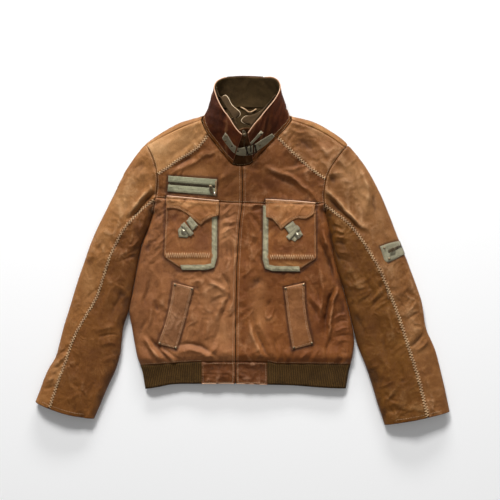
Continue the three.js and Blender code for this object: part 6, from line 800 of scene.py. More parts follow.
# the collar is darker in its dents and pulls, as painted shade, lighter on their crests and along its rubbed top edge,
# and its tone is lighter towards the foot
Tc = {"wear": np.clip(crump * 0.22 + pullL * 0.3 - 0.1, -1.2, 1.1) + 0.9 * np.exp(-((1 - V1) * 60 / 2.2) ** 2) * (front < 0.38), "tone": noise(us, vs, 58, 40, 2) * 0.35 - 0.15 + 1.0 * np.exp(-(V1 / 0.13) ** 4)}
shell("cloth_collar", CO, CO - Nc * LEATHER, M["collar"], ["collar_shell"], None, Tc, ["cloth_back"])
# lining, ribbed, just inside
t0, t1 = 0.03, 0.985; rr = np.linspace(t0, t1, 22); fi = np.clip(rr * (NV - 1), 0, NV - 1.001); j0 = fi.astype(int); f_ = (fi - j0)[:, None, None]
row = lambda A: A[j0] * (1 - f_) + A[j0 + 1] * f_
LG, LN = row(CO), row(Nc); cols = np.arange(3, LG.shape[1] - 3); LG, LN = LG[:, cols], LN[:, cols]
ribl = np.tanh(np.sin(arcc[cols] * 2 * math.pi / 4.0) * 1.5)[None].repeat(22, 0)
LO = LG - LN * (LEATHER + GAP); LI = LG - LN * (LEATHER + GAP + 1.7 + 0.06 * ribl)[..., None]
shell("cloth_collar_lining", LI, LO, M["lining"], ["collar_lining"], None, {"rib": ribl, "tone": ribl * 0, "wear": ribl * 0}, ["cloth_collar"])
def tube(name, path, r, mat, slot, nodes=(), k=8, attrs=None):
    p = np.asarray(path, float); t = np.gradient(p, axis=0); t /= np.maximum(np.linalg.norm(t, axis=1, keepdims=True), 1e-9)
    a = np.cross(t, [0, 0, 1.0]); la = np.linalg.norm(a, axis=1, keepdims=True); a = np.where(la < 0.05, np.cross(t, [1.0, 0, 0]), a); a /= np.linalg.norm(a, axis=1, keepdims=True); b = np.cross(t, a)
    th = np.linspace(0, 2 * np.pi, k, endpoint=False); R = np.full(len(p), r) if np.isscalar(r) else np.asarray(r)
    V = p[:, None] + R[:, None, None] * (np.cos(th)[None, :, None] * a[:, None] + np.sin(th)[None, :, None] * b[:, None])
    V = V.reshape(-1, 3); f = []
    n = len(p)
    for i in range(n - 1):
        for q in range(k): f.append((i * k + q, i * k + (q + 1) % k, (i + 1) * k + (q + 1) % k, (i + 1) * k + q))
    f.append(tuple(range(k))[::-1]); f.append(tuple((n - 1) * k + q for q in range(k)))
    return V, f
def tubes(name, paths, r, mat, slot, nodes=(), k=8, body=BODY):
    VV, FF, c = [], [], 0
    for p in paths:
        V, f = tube(name, p, r, mat, slot, k=k); VV.append(V); FF += [tuple(q + c for q in g) for g in f]; c += len(V)
    o = make(name, np.vstack(VV), FF, mat, {"wear": np.zeros(c), "tone": np.zeros(c), "rib": np.zeros(c)})
    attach(o, body)
    if nodes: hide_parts(*nodes)
    return o
# piping round the collar's free edge
edge3 = np.vstack([CO[2:, 0], CO[-1, 1:-1], CO[::-1, -1][:-2]]) - np.vstack([Nc[2:, 0], Nc[-1, 1:-1], Nc[::-1, -1][:-2]]) * 1.0
def eased(p):
    p = at(p, np.arange(0, cumlen(p)[-1], 1.6)); q = p.copy(); q[1:-1] = (p[:-2] + p[1:-1] * 2 + p[2:]) / 4; return q
nc = CO.shape[1]; w1, w2 = int(nc * 0.40), int(nc * 0.60)
topr = CO[-1] - Nc[-1] * 1.0
tubes("trim_collar_piping", [eased(topr[:w1]), eased(topr[w2:])], 1.15, M["piping"], "dark_leather")
fr0, fr1 = CO[2:, 0] - Nc[2:, 0], CO[2:, -1] - Nc[2:, -1]
tubes("trim_collar_front_piping", [eased(fr0), eased(fr1)], 0.8, M["piping2"], "dark_leather")
tubes("trim_collar_back_edge", [eased(topr[w1:w2])], 1.1, M["lining"], "dark_leather")
# under layer between the wings, with the zip up its middle
g0 = PL((231.8, 166.6), (236.6, 167.2), (240.4, 167.4), (245.0, 167.2), (249.2, 166.2), (253.4, 164.2)); g1 = PL((237.4, 134.2), (240.6, 132.4), (243.6, 131.4), (246.6, 131.2), (250, 131.8), (253.4, 133.4))
G = patch(curve(g0), curve(g1), np.array([g0[0], g1[0]]), np.array([g0[-1], g1[-1]]), 1.6)
zz_ = wing(G[..., 0], G[..., 1]) - 8.2 + 0.8 * noise(G[..., 0], G[..., 1], 90, 14, 2); low_ = surface(G[..., 0], G[..., 1], True, 1.0) + 0.5
zz_ = np.maximum(np.minimum(zz_, wing(G[..., 0], G[..., 1]) - 6.9), 0); v_ = np.linspace(0, 1, G.shape[0])[:, None]
S = np.dstack([G, np.where(v_ < 0.12, np.maximum(zz_, low_ * 0 + zz_), zz_)])
solid("cloth_collar_placket", S, 2.2, M["under_collar"], ["collar_placket"], (S.shape[0] // 2, S.shape[1] // 2, 1), {"wear": noise(G[..., 0], G[..., 1], 91, 12, 2) * 0.6, "tone": G[..., 0] * 0, "rib": G[..., 0] * 0}, rests=["cloth_collar"])
# the soft stand inside each wing, whose free edge waves and is bound
def stand(name, node, outer, inner, seed):
    o = curve(np.array([[*P(a, b), c] for a, b, c in outer]), 12); i = curve(np.array([[*P(a, b), c] for a, b, c in inner]), 12)
    n = 90; rs = lambda p: at(p, np.linspace(0, cumlen(p)[-1], n)); o, i = rs(o), rs(i); s = cumlen(i); k = 14; t = np.linspace(0, 1, k)[:, None, None]
    G = o[None] * (1 - t) + i[None] * t; tt = np.linspace(0, 1, k)[:, None]
    G[..., 2] += 1.2 * np.sin(np.pi * tt) + 1.2 * noise(s[None] * np.ones_like(tt), tt * 30, seed, 16, 2) * tt
    rb = np.tanh(np.sin(s * 2 * math.pi / 3.6) * 1.2)[None].repeat(k, 0); N = normals(G)
    if N[k // 2, n // 2, 2] < 0: N = -N
    G = G + N * (rb * 0.15)[..., None]
    shell(name, G, G - N * 2.0, M["inner"], [node], None, {"rib": rb, "wear": rb * 0}, ["cloth_collar"])
    e = G[-1] - N[-1] * 0.9; tubes(name.replace("cloth", "trim") + "_edge", [eased(e)], 1.35, M["edging"], "knit")
stand("cloth_inner_collar_right", "inner_collar_right", [(215.8, 85.4, 31), (218.4, 94, 39), (222, 102, 46), (226.4, 109.6, 51), (230.6, 116, 54), (234.4, 121.8, 56), (237.6, 126.4, 57)],
    [(216.6, 85.2, 29), (217.8, 96.1, 34), (220.4, 100.5, 37), (225.1, 97.5, 38), (228.5, 100.1, 40), (232.5, 107.5, 43), (239.2, 113.5, 44), (240.5, 116.9, 44), (237.9, 119.9, 45), (231.5, 121.2, 47)], 3)
stand("cloth_inner_collar_left", "inner_collar_left", [(275.4, 97, 40), (271, 103.6, 46), (266.6, 109.4, 50), (262, 115.2, 53), (257.6, 121.0, 55), (253.4, 126.0, 57), (250.6, 129.4, 58)],
    [(272.6, 102.8, 38), (267, 108.6, 42), (262, 112.9, 44), (255.3, 117.9, 45), (245.9, 119.2, 45), (241.9, 122.9, 46), (244.6, 125.6, 48), (252.0, 127.2, 51)], 5)
# the lining that shows down the neck
G = patch(PL((216, 106.0), (230, 107.4), (246, 107.4), (262, 107.4), (276, 106.0)), PL((222, 150), (236, 152), (246, 152), (256, 152), (268, 148)), PL((216, 106.0), (222, 150)), PL((276, 106.0), (268, 148)), 3.2)
S = np.dstack([G, 4.6 + 1.4 * noise(G[..., 0], G[..., 1], 97, 22, 3)])
solid("cloth_neck_lining", S, 1.2, M["lining"], [], (4, 4, 1), {"rib": G[..., 0] * 0, "wear": G[..., 0] * 0}, rests=["cloth_back"])
hp = curve(np.array([[*P(a, b), c] for a, b, c in ((240.8, 107.6, 5.6), (244.6, 109.6, 7), (248.8, 112.6, 8), (252.6, 111.8, 7.4), (256.2, 109.4, 5.6))]), 8)
tubes("trim_hanger_loop", [hp], 1.6, M["thread"], "canvas", ["hanger_loop"])

# ---- the collar's strap, following the frame's heights ----
def cadz(node):
    co = np.array([v.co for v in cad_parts[node].data.vertices]) * 1000; return co
def strap(name, node, up, down, thick=2.0, cell=1.2):
    co = cadz(node); A = np.c_[co[:, 0], co[:, 1], np.ones(len(co))]; k = np.minimum(wing(co[:, 0], co[:, 1]), 66)
    lowest = (co[:, 2] - k).min()
    c0, c1 = curve(PL(*up), 6), curve(PL(*down), 6)
    G = patch(c0, c1, np.array([c0[0], c1[0]]), np.array([c0[-1], c1[-1]]), cell); x, y = G[..., 0], G[..., 1]
    rim = np.vstack([G[0], G[1:, -1], G[-1, -2::-1], G[-2::-1, 0]]); d = nearest(rim, x.ravel(), y.ravel())[0].reshape(x.shape)
    z = np.minimum(wing(x, y), 66) + lowest; q = np.clip(d / 1.3, 0, 1); zo = z + thick * (0.3 + 0.7 * np.sqrt(1 - (1 - q) ** 2)) - 0.35 * np.exp(-((d - 2.2) / 0.6) ** 2) + 0.25 * noise(x, y, 93, 10, 2)
    S = np.dstack([G, zo]); I = np.dstack([G, z])
    shell(name, S, I, M["strap"], [node], None, {"wear": 0.8 * np.exp(-(d / 1.2) ** 2) + noise(x, y, 94, 14, 2) * 0.5, "tone": x * 0}, ["cloth_collar"])
    return S
st1 = strap("cloth_strap_right", "collar_strap_right", [(226.0, 135.8), (228.8, 139.2), (233.5, 146.6), (238.9, 150), (245.7, 149), (248.7, 148.7), (252.8, 147.4)], [(222.9, 140.8), (223.9, 142.8), (227.4, 147.4), (233.2, 153.9), (237.2, 156.3), (243.6, 157.3), (252.8, 156.2)])
st2 = strap("cloth_strap_left", "collar_strap_left", [(254.2, 146.6), (258.6, 144.1), (262.6, 141.7), (271.6, 136.8)], [(254.2, 155.4), (259.2, 151.2), (265.9, 147), (274.1, 139.4)])
st3 = strap("cloth_strap_end", "collar_strap_end", [(250.0, 145.4), (254.2, 141.2), (260.6, 134.0)], [(251.6, 147.0), (256.0, 142.6), (263.2, 136.2)], 1.5)

# ---- metal ----
def bevelled(node, name, body, width, segs=2, mat=None, dz=0.0):
    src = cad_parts[node]; me = src.data.copy(); me.name = name; o = bpy.data.objects.new(name, me); LINKED.objects.link(o)
    import bmesh
    bm = bmesh.new(); bm.from_mesh(me); bmesh.ops.remove_doubles(bm, verts=bm.verts, dist=1e-6); bmesh.ops.dissolve_limit(bm, angle_limit=0.05, verts=bm.verts, edges=bm.edges)
    es = [e for e in bm.edges if len(e.link_faces) == 2 and e.calc_face_angle(0) > 0.3]
    bmesh.ops.bevel(bm, geom=es, offset=width / 1000, segments=segs, profile=0.6, affect="EDGES", clamp_overlap=True)
    bmesh.ops.triangulate(bm, faces=bm.faces)
    bm.to_mesh(me); bm.free(); me.materials.clear(); me.materials.append(mat or M["metal"])
    if dz: me.transform(Matrix.Translation((0, 0, dz / 1000)))
    me.polygons.foreach_set("use_smooth", np.zeros(len(me.polygons), bool)); me.update()
    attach(o, body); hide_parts(node); return o
for nd, bd in (("patch_zip_slider", BODY), ("sleeve_zip_slider", BODY), ("front_zip_slider", BODY), ("patch_zip_pull", "patch_zip_pull"), ("sleeve_zip_pull", "sleeve_zip_pull"), ("front_zip_pull", "front_zip_pull")):
    bevelled(nd, "metal_" + nd, bd, 0.28, mat=M["metal"])
bevelled("collar_buckle", "metal_collar_buckle", BODY, 0.45, 3, M["buckle"], 1.3)
def on_strap(S, pts, up):
    p = PL(*pts); return np.c_[p, height_on(S, p[:, 0], p[:, 1]) + up]
tubes("metal_buckle_bars", [on_strap(st1, [(246.8, 149.6), (246.9, 157.0)], 1.5), on_strap(st2, [(255.5, 147.2), (255.4, 154.2)], 1.5), on_strap(st1, [(250.6, 148.2), (250.8, 153.6)], 1.7)], 1.25, M["buckle"], "metal")
def turned(prof, seg_=28):
    V, F = [], []; rings = []
    for r, z in prof:
        if r == 0: V.append((0, 0, z)); rings.append([len(V) - 1])
        else:
            rings.append([len(V) + i for i in range(seg_)]); V += [(r * math.cos(2 * math.pi * i / seg_), r * math.sin(2 * math.pi * i / seg_), z) for i in range(seg_)]
    for a, b in zip(rings, rings[1:]):
        for i in range(seg_):
            j = (i + 1) % seg_
            if len(a) > 1 and len(b) > 1: F.append((a[i], a[j], b[j], b[i]))
            elif len(a) == 1: F.append((a[0], b[j], b[i]))
            else: F.append((a[i], a[j], b[0]))
    return np.array(V, float), F
def stud(name, x, y, z, prof, mat, nodes=(), n=None):
    V, F = turned(prof)
    if n is not None:
        n = np.array(n, float); n /= np.linalg.norm(n); a = np.cross([0, 1.0, 0], n); a /= np.linalg.norm(a); b = np.cross(n, a); V = V[:, :1] * a + V[:, 1:2] * b + V[:, 2:] * n
    V = V + [x, y, z]; o = make(name, V, F, mat, {"wear": np.zeros(len(V))}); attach(o, BODY)
    if nodes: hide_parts(*nodes)
    return o
SNAP = [(0, 0), (7.0, 0), (7.3, 0.5), (7.0, 1.0), (5.6, 1.3), (5.0, 1.1), (4.7, 1.6), (4.4, 2.5), (3.6, 3.2), (2.2, 3.6), (1.0, 3.72), (0, 3.75)]
RIV = [(0, 0), (2.9, 0), (3.1, 0.35), (2.9, 0.75), (2.3, 0.95), (2.1, 1.3), (1.6, 1.75), (0.8, 1.98), (0, 2.02)]
def under_at(px, py, extra): p = P(px, py); return p[0], p[1], float(surface(p[:1], p[1:], True, 0.8)[0]) + extra
def slope_at(x, y, f=None):
    e = 5.0; f = f or (lambda a, b: float(surface(np.array([a]), np.array([b]), True, 0)[0])); return [-(f(x + e, y) - f(x - e, y)) / (2 * e), -(f(x, y + e) - f(x, y - e)) / (2 * e), 1.0]
for nm, px, py, nd in (("right", 184.6, 232.2, "pocket_snap_right"), ("left", 297.4, 235.8, "pocket_snap_left")):
    x, y, z = under_at(px, py, 6.9); stud("metal_snap_" + nm, x, y, z, SNAP, M["snap"], nodes=[nd], n=slope_at(x, y))
wn = [0, -(66 - 28) / (P(0, 137)[1] - P(0, 165)[1]), 1.0]
for nd, nm in (("strap_rivet_1", "a"), ("strap_rivet_2", "b"), ("strap_rivet_3", "c")):
    lo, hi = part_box(nd); c = (np.array(lo) + np.array(hi)) * 500; stud("metal_strap_rivet_" + nm, c[0], c[1], c[2] - 0.6, RIV, M["metal"], nodes=[nd], n=wn)
for nd, nm in (("sleeve_rivet_1", "d"), ("sleeve_rivet_2", "e"), ("patch_snap", "f")):
    lo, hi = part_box(nd); c = (np.array(lo) + np.array(hi)) * 500; stud("metal_rivet_" + nm, c[0], c[1], lo[2] * 1000 - 0.1, RIV if nm != "f" else [(r * 1.15, z * 1.1) for r, z in RIV], M["bright"] if nm == "f" else M["metal"], nodes=[nd], n=slope_at(c[0], c[1]))
for i, (px, py) in enumerate(((175.6, 284.4), (192.6, 288.6), (160.2, 342.6), (176.3, 346.9), (285.2, 288.2), (303.2, 284.4), (311.2, 342.4), (293.4, 347.0))):
    x, y, z = under_at(px, py, 2.7); stud("metal_welt_rivet_%d" % i, x, y, z, RIV, M["metal"], n=slope_at(x, y))

# the holes in the straps are not cut: a dark disc of tape colour lies on each, painted shade for the hole
for i, (px, py, S) in enumerate(((238.1, 153.1, st1), (260.9, 137.5, st3), (232.2, 148.4, st1))):
    p = P(px, py); stud("trim_strap_hole_painted_shade_%d" % i, p[0], p[1], height_on(S, p[:1], p[1:])[0] - 0.25, [(0, 0), (1.9, 0), (2.1, 0.25), (1.9, 0.5), (1.4, 0.42), (0, 0.4)], M["tape"], n=wn)

# ---- sewing ----
def stitches(name, lines, mat, r=0.42, long=2.7, gap=1.3):
    """lines: [(points n x 3)], each sewn with short raised threads"""
    prof = np.array([(0.0, 0.0), (0.28, 0.8), (0.62, 1.0), (0.9, 0.7), (1.0, 0.0)]); prof = np.array([(-1, 0.0), (-0.82, 0.75), (0, 1.0), (0.82, 0.75), (1, 0.0)]); k = 4
    th = np.linspace(0, 2 * np.pi, k, endpoint=False); A, B = [], []
    for p in lines:
        p = np.asarray(p, float); l = cumlen(p)[-1]; n = int(l / (long + gap))
        if n < 1: continue
        s = (np.arange(n) + 0.5) * l / n; A.append(at(p, s - long / 2)); B.append(at(p, s + long / 2))
    A, B = np.vstack(A), np.vstack(B); c = (A + B) / 2; t = B - A; h = np.linalg.norm(t, axis=1, keepdims=True) / 2; t /= 2 * np.maximum(h, 1e-6)
    a = np.cross(t, [0, 0, 1.0]); a /= np.maximum(np.linalg.norm(a, axis=1, keepdims=True), 1e-9); b = np.cross(a, t)
    V = []; n = len(c)
    for u, w in prof:
        if w == 0: V.append((c + t * h * u)[:, None])
        else: V.append(c[:, None] + t[:, None] * (h * u)[:, None] + r * w * (np.cos(th)[None, :, None] * a[:, None] + np.sin(th)[None, :, None] * b[:, None]))
    V = np.concatenate(V, 1); m = V.shape[1]; F = []
    for q in range(k):
        j = (q + 1) % k; F.append((0, 1 + j, 1 + q, 1 + q))
        for ring in (1, 1 + k): F.append((ring + q, ring + j, ring + k + j, ring + k + q))
        F.append((1 + 2 * k + q, 1 + 2 * k + j, m - 1, m - 1))
    tri = [f[:3] for f in F if f[2] == f[3]]; quad = [f for f in F if f[2] != f[3]]
    tri += [(f[0], f[1], f[2]) for f in quad] + [(f[0], f[2], f[3]) for f in quad]
    tri = np.array(tri); F = (tri[None] + (np.arange(n) * m)[:, None, None]).reshape(-1, 3); V = V.reshape(-1, 3)
    if volume3(V[:m], tri) < 0: F = F[:, ::-1]
    o = make(name, V, F, mat, {"wear": np.zeros(len(V))}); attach(o, BODY); return o
def volume3(v, f): a, b, c = v[f[:, 0]], v[f[:, 1]], v[f[:, 2]]; return np.einsum("ij,ij->i", a, np.cross(b, c)).sum()
def offset_line(p, d):
    t = np.gradient(p, axis=0); t /= np.linalg.norm(t, axis=1, keepdims=True); return p + np.stack([-t[:, 1], t[:, 0]], 1) * d
def on_top(p, up=0.1):
    p = at(p, np.arange(0, cumlen(p)[-1], 1.0)); return np.c_[p, surface(p[:, 0], p[:, 1], True, 1.0) + up]
def zigzag(p, half, period, up=0.35, wob=0.0, h=None):
    l = cumlen(p)[-1]; n = int(l / (period / 2)); q = at(p, np.linspace(0, l, n + 1)); t = np.gradient(q, axis=0); t /= np.linalg.norm(t, axis=1, keepdims=True)
    sgn = np.where(np.arange(n + 1) % 2 == 0, 1, -1)[:, None]; hf = half if np.isscalar(half) else half(np.linspace(0, 1, n + 1))[:, None]
    w = 1 + wob * np.sin(np.arange(n + 1) * 2.39)[:, None]
    v = q + np.stack([-t[:, 1], t[:, 0]], 1) * sgn * hf * w
    z = (surface(v[:, 0], v[:, 1], True, 1.0) if h is None else h(v)) + up
    return np.c_[v, z]
def zz_stitches(name, lines, mat, r):
    segs = []
    for p in lines:
        for a, b in zip(p[:-1], p[1:]): segs.append((a, b))
    A = np.array([s[0] for s in segs]); B = np.array([s[1] for s in segs]); t = B - A
    c = (A + B) / 2; t /= np.maximum(np.linalg.norm(t, axis=1, keepdims=True), 1e-6)
    # each leg bows up over the seam and dips into the leather at its ends
    paths = []; k = 7
    for i in range(len(A)):
        s = np.linspace(0, 1, k)[:, None]; pth = A[i] * (1 - s) + B[i] * s; pth[:, 2] += 0.75 * np.sin(np.pi * s[:, 0]) - 0.35; paths.append(pth)
    th = np.linspace(0, 2 * np.pi, 5, endpoint=False); V, F, cnt = [], [], 0
    for pth in paths:
        d = pth[-1] - pth[0]; a = np.array([-d[1], d[0], 0]); a /= max(np.linalg.norm(a), 1e-9); b = np.array([0, 0, 1.0])
        rad = r * np.array([0.55, 0.9, 1, 1, 1, 0.9, 0.55])
        ring = pth[:, None] + rad[:, None, None] * (np.cos(th)[None, :, None] * a + np.sin(th)[None, :, None] * b)
        V.append(ring.reshape(-1, 3))
        for i in range(k - 1):
            for q in range(5): F.append((cnt + i * 5 + q, cnt + (i + 1) * 5 + q, cnt + (i + 1) * 5 + (q + 1) % 5, cnt + i * 5 + (q + 1) % 5))
        F.append(tuple(cnt + q for q in range(5))); F.append(tuple(cnt + (k - 1) * 5 + q for q in range(5))[::-1]); cnt += k * 5
    V = np.vstack(V); f0 = np.array([f for f in F if len(f) == 4][:30])
    o = make(name, V, F, mat, {"wear": np.zeros(len(V))}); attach(o, BODY); return o
ln = []
for s in "LR":
    sg = 1 if s == "L" else -1
    zl = join(fix(between(W["zip"], zipTop, zipChest), zipTop, zipChest), between(W["zip"], zipChest, zipHem)[0:], np.array([zipHem, L["zipHem"][1]]))
    zl = zl[np.concatenate([[True], np.linalg.norm(np.diff(zl, axis=0), axis=1) > 1e-6])]
    for d in (6.4,): ln.append(on_top(shifted(zl, -sg * d)))
    ln.append(on_top(offset_line(CH[s], 3.2), 0.15)); ln.append(on_top(offset_line(CH[s], -3.2), 0.15))
    for d in (2.8, -2.8): ln.append(on_top(offset_line(join(A_[s], B_[s], C_[s]), d)))
    ln.append(on_top(offset_line(CA[s], 3.0 * sg))); ln.append(on_top(offset_line(CB[s], 3.0 * sg)))
    ln.append(on_top(offset_line(HA[s], 3.4 * sg))); ln.append(on_top(offset_line(W["cuff" + s], 9 * sg)[4:-4], 0.1)) 
    ln.append(on_top(offset_line(W["sh" + s], -3.0 * sg)))
    e = eL if s == "L" else eR; q = L["zipHem"][1]
    box = np.array([tabp[s] + [sg * 3.4, -4], e + [sg * 3.4, 4], q + [-sg * 5.6, 4], zipHem + [-sg * 5.6, -4], tabp[s] + [sg * 3.4, -4]]); ln.append(on_top(box, 0.6))
ln.append(on_top(curve(PL((384, 283), (385.6, 290), (386.9, 298.4))), 0.2))
k0 = int(NV * 0.14); ln.append(CO[k0] + Nc[k0] * 0.15)
stitches("sewn_body", ln, M["thread"])
def loops(S, d, st):
    """closed rows of sewing at a distance in from a laid piece's rim"""
    out = []
    for q in st:
        A = S[..., :2]; R, C = d.shape
        rim = [np.array(x) for x in (A[0], A[:, -1], A[-1, ::-1], A[::-1, 0])]
        rim = np.vstack([rim[0]] + [r[1:] for r in rim[1:]]); cen = A.reshape(-1, 2).mean(0)
        area = (rim[:-1, 0] * rim[1:, 1] - rim[1:, 0] * rim[:-1, 1]).sum(); sg = 1 if area > 0 else -1
        p = at(rim, np.arange(0, cumlen(rim)[-1], 1.0)); o = offset_line(p, q * sg)
        dd = nearest(rim, o[:, 0], o[:, 1])[0]; o = o[dd > q * 0.93]
        zf = S.reshape(-1, 3); z = np.array([zf[((zf[:, 0] - a) ** 2 + (zf[:, 1] - b) ** 2).argmin(), 2] for a, b in o])
        z = np.convolve(np.pad(z, 2, mode="edge"), np.ones(5) / 5, "valid"); out.append(np.c_[o, z + 0.2])
    return out
ln = []
for S, d, st in ((fr[1], fr[2], (2.6, 5.6)), (fl[1], fl[2], (2.6, 5.6)), (wr[1], wr[2], (2.4, 5.0)), (wl[1], wl[2], (2.4, 5.0)), (pr[1], pr[2], (2.6,)), (pl[1], pl[2], (2.6,))): ln += loops(S, d, st)
stitches("sewn_pockets", ln, M["thread"], r=0.4, long=2.3, gap=1.2)
cv = [t for t in TOPS if 10 < 1e9][:0]
ln = []
for S, d in TOPS:
    if S[..., 0].ptp() < 135 and S is not fr[1] and S is not fl[1] and S is not wr[1] and S is not wl[1] and S is not pr[1] and S is not pl[1] and min(S.shape[:2]) > 6: ln += loops(S, d, (1.9,))
for S in (st1, st2, st3): ln += loops(S, np.zeros(S.shape[:2]), (2.2,))
stitches("sewn_canvas", ln, M["thread2"], r=0.33, long=1.9, gap=1.0)
# lacing over the sleeve seams and the yoke seams, and zigzag bands
lace = []
for s in "LR":
    zz = fix(W["zz" + s], CH[s][0], L["zz" + s][-1]); zz = at(zz, np.arange(6, cumlen(zz)[-1] - 4, 1.0))
    lace.append(zigzag(zz, (lambda t: 3.6 + 0.4 * t) if s == "L" else (lambda t: 3.8 + 1.4 * t), 6.8, 0.75, 0.12))
    y = at(YK[s], np.arange(3, cumlen(YK[s])[-1] - 3, 1.0)); lace.append(zigzag(y, 4.0, 6.4, 0.7, 0.12))
zz_stitches("laced_seams", lace, M["lace"], 0.74)
def flat_h(S):
    zf = S.reshape(-1, 3); return lambda v: np.array([zf[((zf[:, 0] - a[0]) ** 2 + (zf[:, 1] - a[1]) ** 2).argmin(), 2] for a in v])
bands = []
for S, x0, x1, y0, y1 in ((pr[1], 166.6, 210.6, 252.7, 258.0), (pl[1], 270.0, 313.6, 254.6, 259.4)):
    ym = (y0 + y1) / 2; p = at(PL((x0, ym), (x1, ym)), np.arange(0, (x1 - x0) * GRID, 1.0)); bands.append(zigzag(p, (y1 - y0) * GRID / 2, 5.6, 0.4, 0.06, flat_h(S)))
for S, pts in ((None, ((216.4, 181.5), (215.9, 195.0))),): p = at(PL(*pts), np.arange(0, 33, 1.0)); bands.append(zigzag(p, 2.0, 3.2, 2.1, 0.1))
zz_stitches("zigzag_bands", bands, M["lace"], 0.55)
# piping over the flaps
pp = []
for S in (fr[1], fl[1]): q = S[0].copy(); q[:, 1] += 0.6; q[:, 2] += 0.0; pp.append(at(q, np.arange(0, cumlen(q)[-1], 2.0)))
tubes("trim_flap_piping", pp, 1.45, M["piping"], "leather")
hp_ = []
for s in "LR":
    q = edge(eL, L["zipHem"][1]) if s == "L" else edge(L["zipHem"][1], eR); q = at(q, np.arange(1.0 if s == "L" else 2.4, cumlen(q)[-1] - (2.4 if s == "L" else 1.0), 2.0)); hp_.append(np.c_[q[:, 0], q[:, 1] + 0.9, surface(q[:, 0], q[:, 1] + 0.9) - 0.6])
tubes("trim_hem_piping", hp_, 1.1, M["piping"], "leather")

# ---- the front zip: a tape under the fronts, and its teeth between them ----
zl = at(zl, np.arange(2, cumlen(zl)[-1] - 1.5, 2.0)); t = np.gradient(zl, axis=0); t /= np.linalg.norm(t, axis=1, keepdims=True); nn = np.stack([-t[:, 1], t[:, 0]], 1)
G = np.stack([zl + nn * k for k in (9, 6, 3, 1, -1, -3, -6, -9)], 1); z = surface(G[..., 0], G[..., 1], True, 1.0) - LEATHER - 1.7; S = np.dstack([G, z])
solid("cloth_zip_tape", S, 0.9, M["tape"], ["front_zip_tape"], (len(zl) // 2, 4, 1), {"wear": z * 0, "tone": z * 0, "rib": z * 0}, rests=["cloth_back"])
q = at(zl, np.arange(1, cumlen(zl)[-1] - 1, 1.35)); t = np.gradient(q, axis=0); t /= np.linalg.norm(t, axis=1, keepdims=True); V, F = [], []
zq = surface(q[:, 0], q[:, 1], True, 1.0) - LEATHER - 0.9
cube = np.array([(x, y, z) for z in (-0.55, 0.55) for y in (-1, 1) for x in (-1, 1)], float); cf = np.array([(0, 2, 3, 1), (4, 5, 7, 6), (0, 1, 5, 4), (2, 6, 7, 3), (0, 4, 6, 2), (1, 3, 7, 5)])
for i in range(len(q)):
    sgn = 1 if i % 2 else -1; nrm = np.array([-t[i, 1], t[i, 0]]); c = q[i] + nrm * 0.45 * sgn
    b = cube.copy(); b[4:, :2] *= 0.75; V.append(np.c_[c + b[:, :1] * nrm * 1.15 + b[:, 1:2] * t[i] * 0.45, zq[i] + b[:, 2]]); F.append(cf + 8 * i)
o = make("metal_zip_teeth", np.vstack(V), np.vstack(F), M["teeth"], {"wear": np.zeros(8 * len(q))}, False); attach(o, BODY)
# chain of the chest patch's zip and the sleeve's
for nm, a, b in (("chest", (170.0, 184.3), (208.6, 187.2)), ("sleeve", (389.6, 250.4), (400.6, 245.4))):
    p = at(PL(a, b), np.arange(0, np.linalg.norm(P(*b) - P(*a)), 1.3)); d = P(*b) - P(*a); d /= np.linalg.norm(d); nrm = np.array([-d[1], d[0]]); z = surface(p[:, 0], p[:, 1], True, 0.6) + (0.9 if nm == "chest" else 2.5); V, F = [], []
    for i in range(len(p)):
        b_ = cube.copy(); b_[4:, :2] *= 0.7; V.append(np.c_[p[i] + nrm * 0.35 * (1 if i % 2 else -1) + b_[:, :1] * nrm * 0.95 + b_[:, 1:2] * d * 0.42, z[i] + b_[:, 2]]); F.append(cf + 8 * i)
    o = make("metal_chain_" + nm, np.vstack(V), np.vstack(F), M["teeth"], {"wear": np.zeros(8 * len(p))}, False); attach(o, BODY)
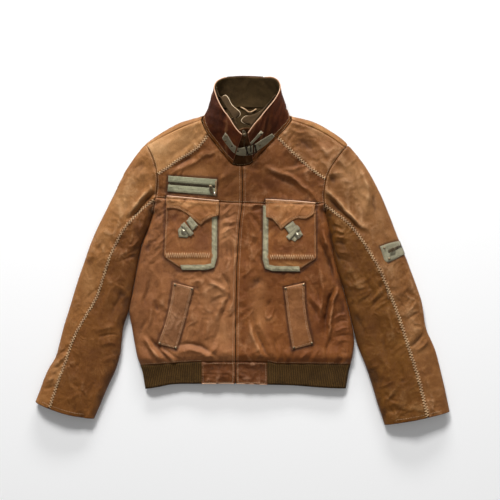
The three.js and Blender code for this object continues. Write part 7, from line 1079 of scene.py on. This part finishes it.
# zip up the collar's under layer
p = at(curve(PL((243.6, 158.8), (244.2, 148), (245.0, 140.6))), np.arange(0, 44, 1.35)); z = wing(p[:, 0], p[:, 1]) - 6.6; V, F = [], []
for i in range(len(p)): b_ = cube.copy(); b_[4:, :2] *= 0.75; V.append(np.c_[p[i] + b_[:, :2] * [1.4, 0.45] + [0.45 * (1 if i % 2 else -1), 0], z[i] + b_[:, 2]]); F.append(cf + 8 * i)
o = make("metal_collar_chain", np.vstack(V), np.vstack(F), M["teeth"], {"wear": np.zeros(8 * len(p))}, False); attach(o, BODY)

# ---- sizes of the cloth sheets, worked out here and not used ----
for o, w, l, A, rests in SHEETS:
    w, l = max(w, 0.0101), max(l, 0.0101); A = min(max(A, 0.305 * w * l), w * l)

# ---- camera, floor and light ----
cam = bpy.data.cameras.new("camera"); cam.sensor_width = 36; cam.lens = 73.5; co = bpy.data.objects.new("camera", cam); LINKED.objects.link(co)
co.location = (0.0185, 0.0021, 2.5); co.rotation_euler = (0, 0, 0); bpy.context.scene.camera = co; cam.clip_end = 20
fm = Nodes("floor"); fm.b.inputs["Base Color"].default_value = (0.94, 0.94, 0.94, 1); fm.b.inputs["Roughness"].default_value = 0.95; fm.b.inputs["Specular IOR Level"].default_value = 0.1
fl_ = make("floor", [(-6000, -6000, -0.8), (6000, -6000, -0.8), (6000, 6000, -0.8), (-6000, 6000, -0.8)], [(0, 1, 2, 3)], fm.m)
wd = bpy.data.worlds.new("world"); bpy.context.scene.world = wd; wd.use_nodes = True; wd.node_tree.nodes["Background"].inputs[0].default_value = (1, 1, 1, 1); wd.node_tree.nodes["Background"].inputs[1].default_value = 0.24
def area(name, loc, target, size, power):
    d = bpy.data.lights.new(name, "AREA"); d.shape = "RECTANGLE"; d.size, d.size_y = size; d.energy = power; o = bpy.data.objects.new(name, d); LINKED.objects.link(o)
    o.location = loc; o.rotation_euler = (Vector(target) - Vector(loc)).to_track_quat("-Z", "Y").to_euler(); return o
area("key", (-1.1, 4.9, 2.9), (0, 0, 0), (2.2, 1.2), 386)
area("low", (0.3, 3.7, 0.86), (0, 0, 0), (2.4, 0.4), 150)
area("fill", (1.8, -1.4, 2.6), (0, 0, 0), (1.8, 1.8), 9)
bpy.context.scene.view_settings.view_transform = "Standard"
bpy.context.scene.view_settings.look = "None"
bpy.context.view_layer.update()
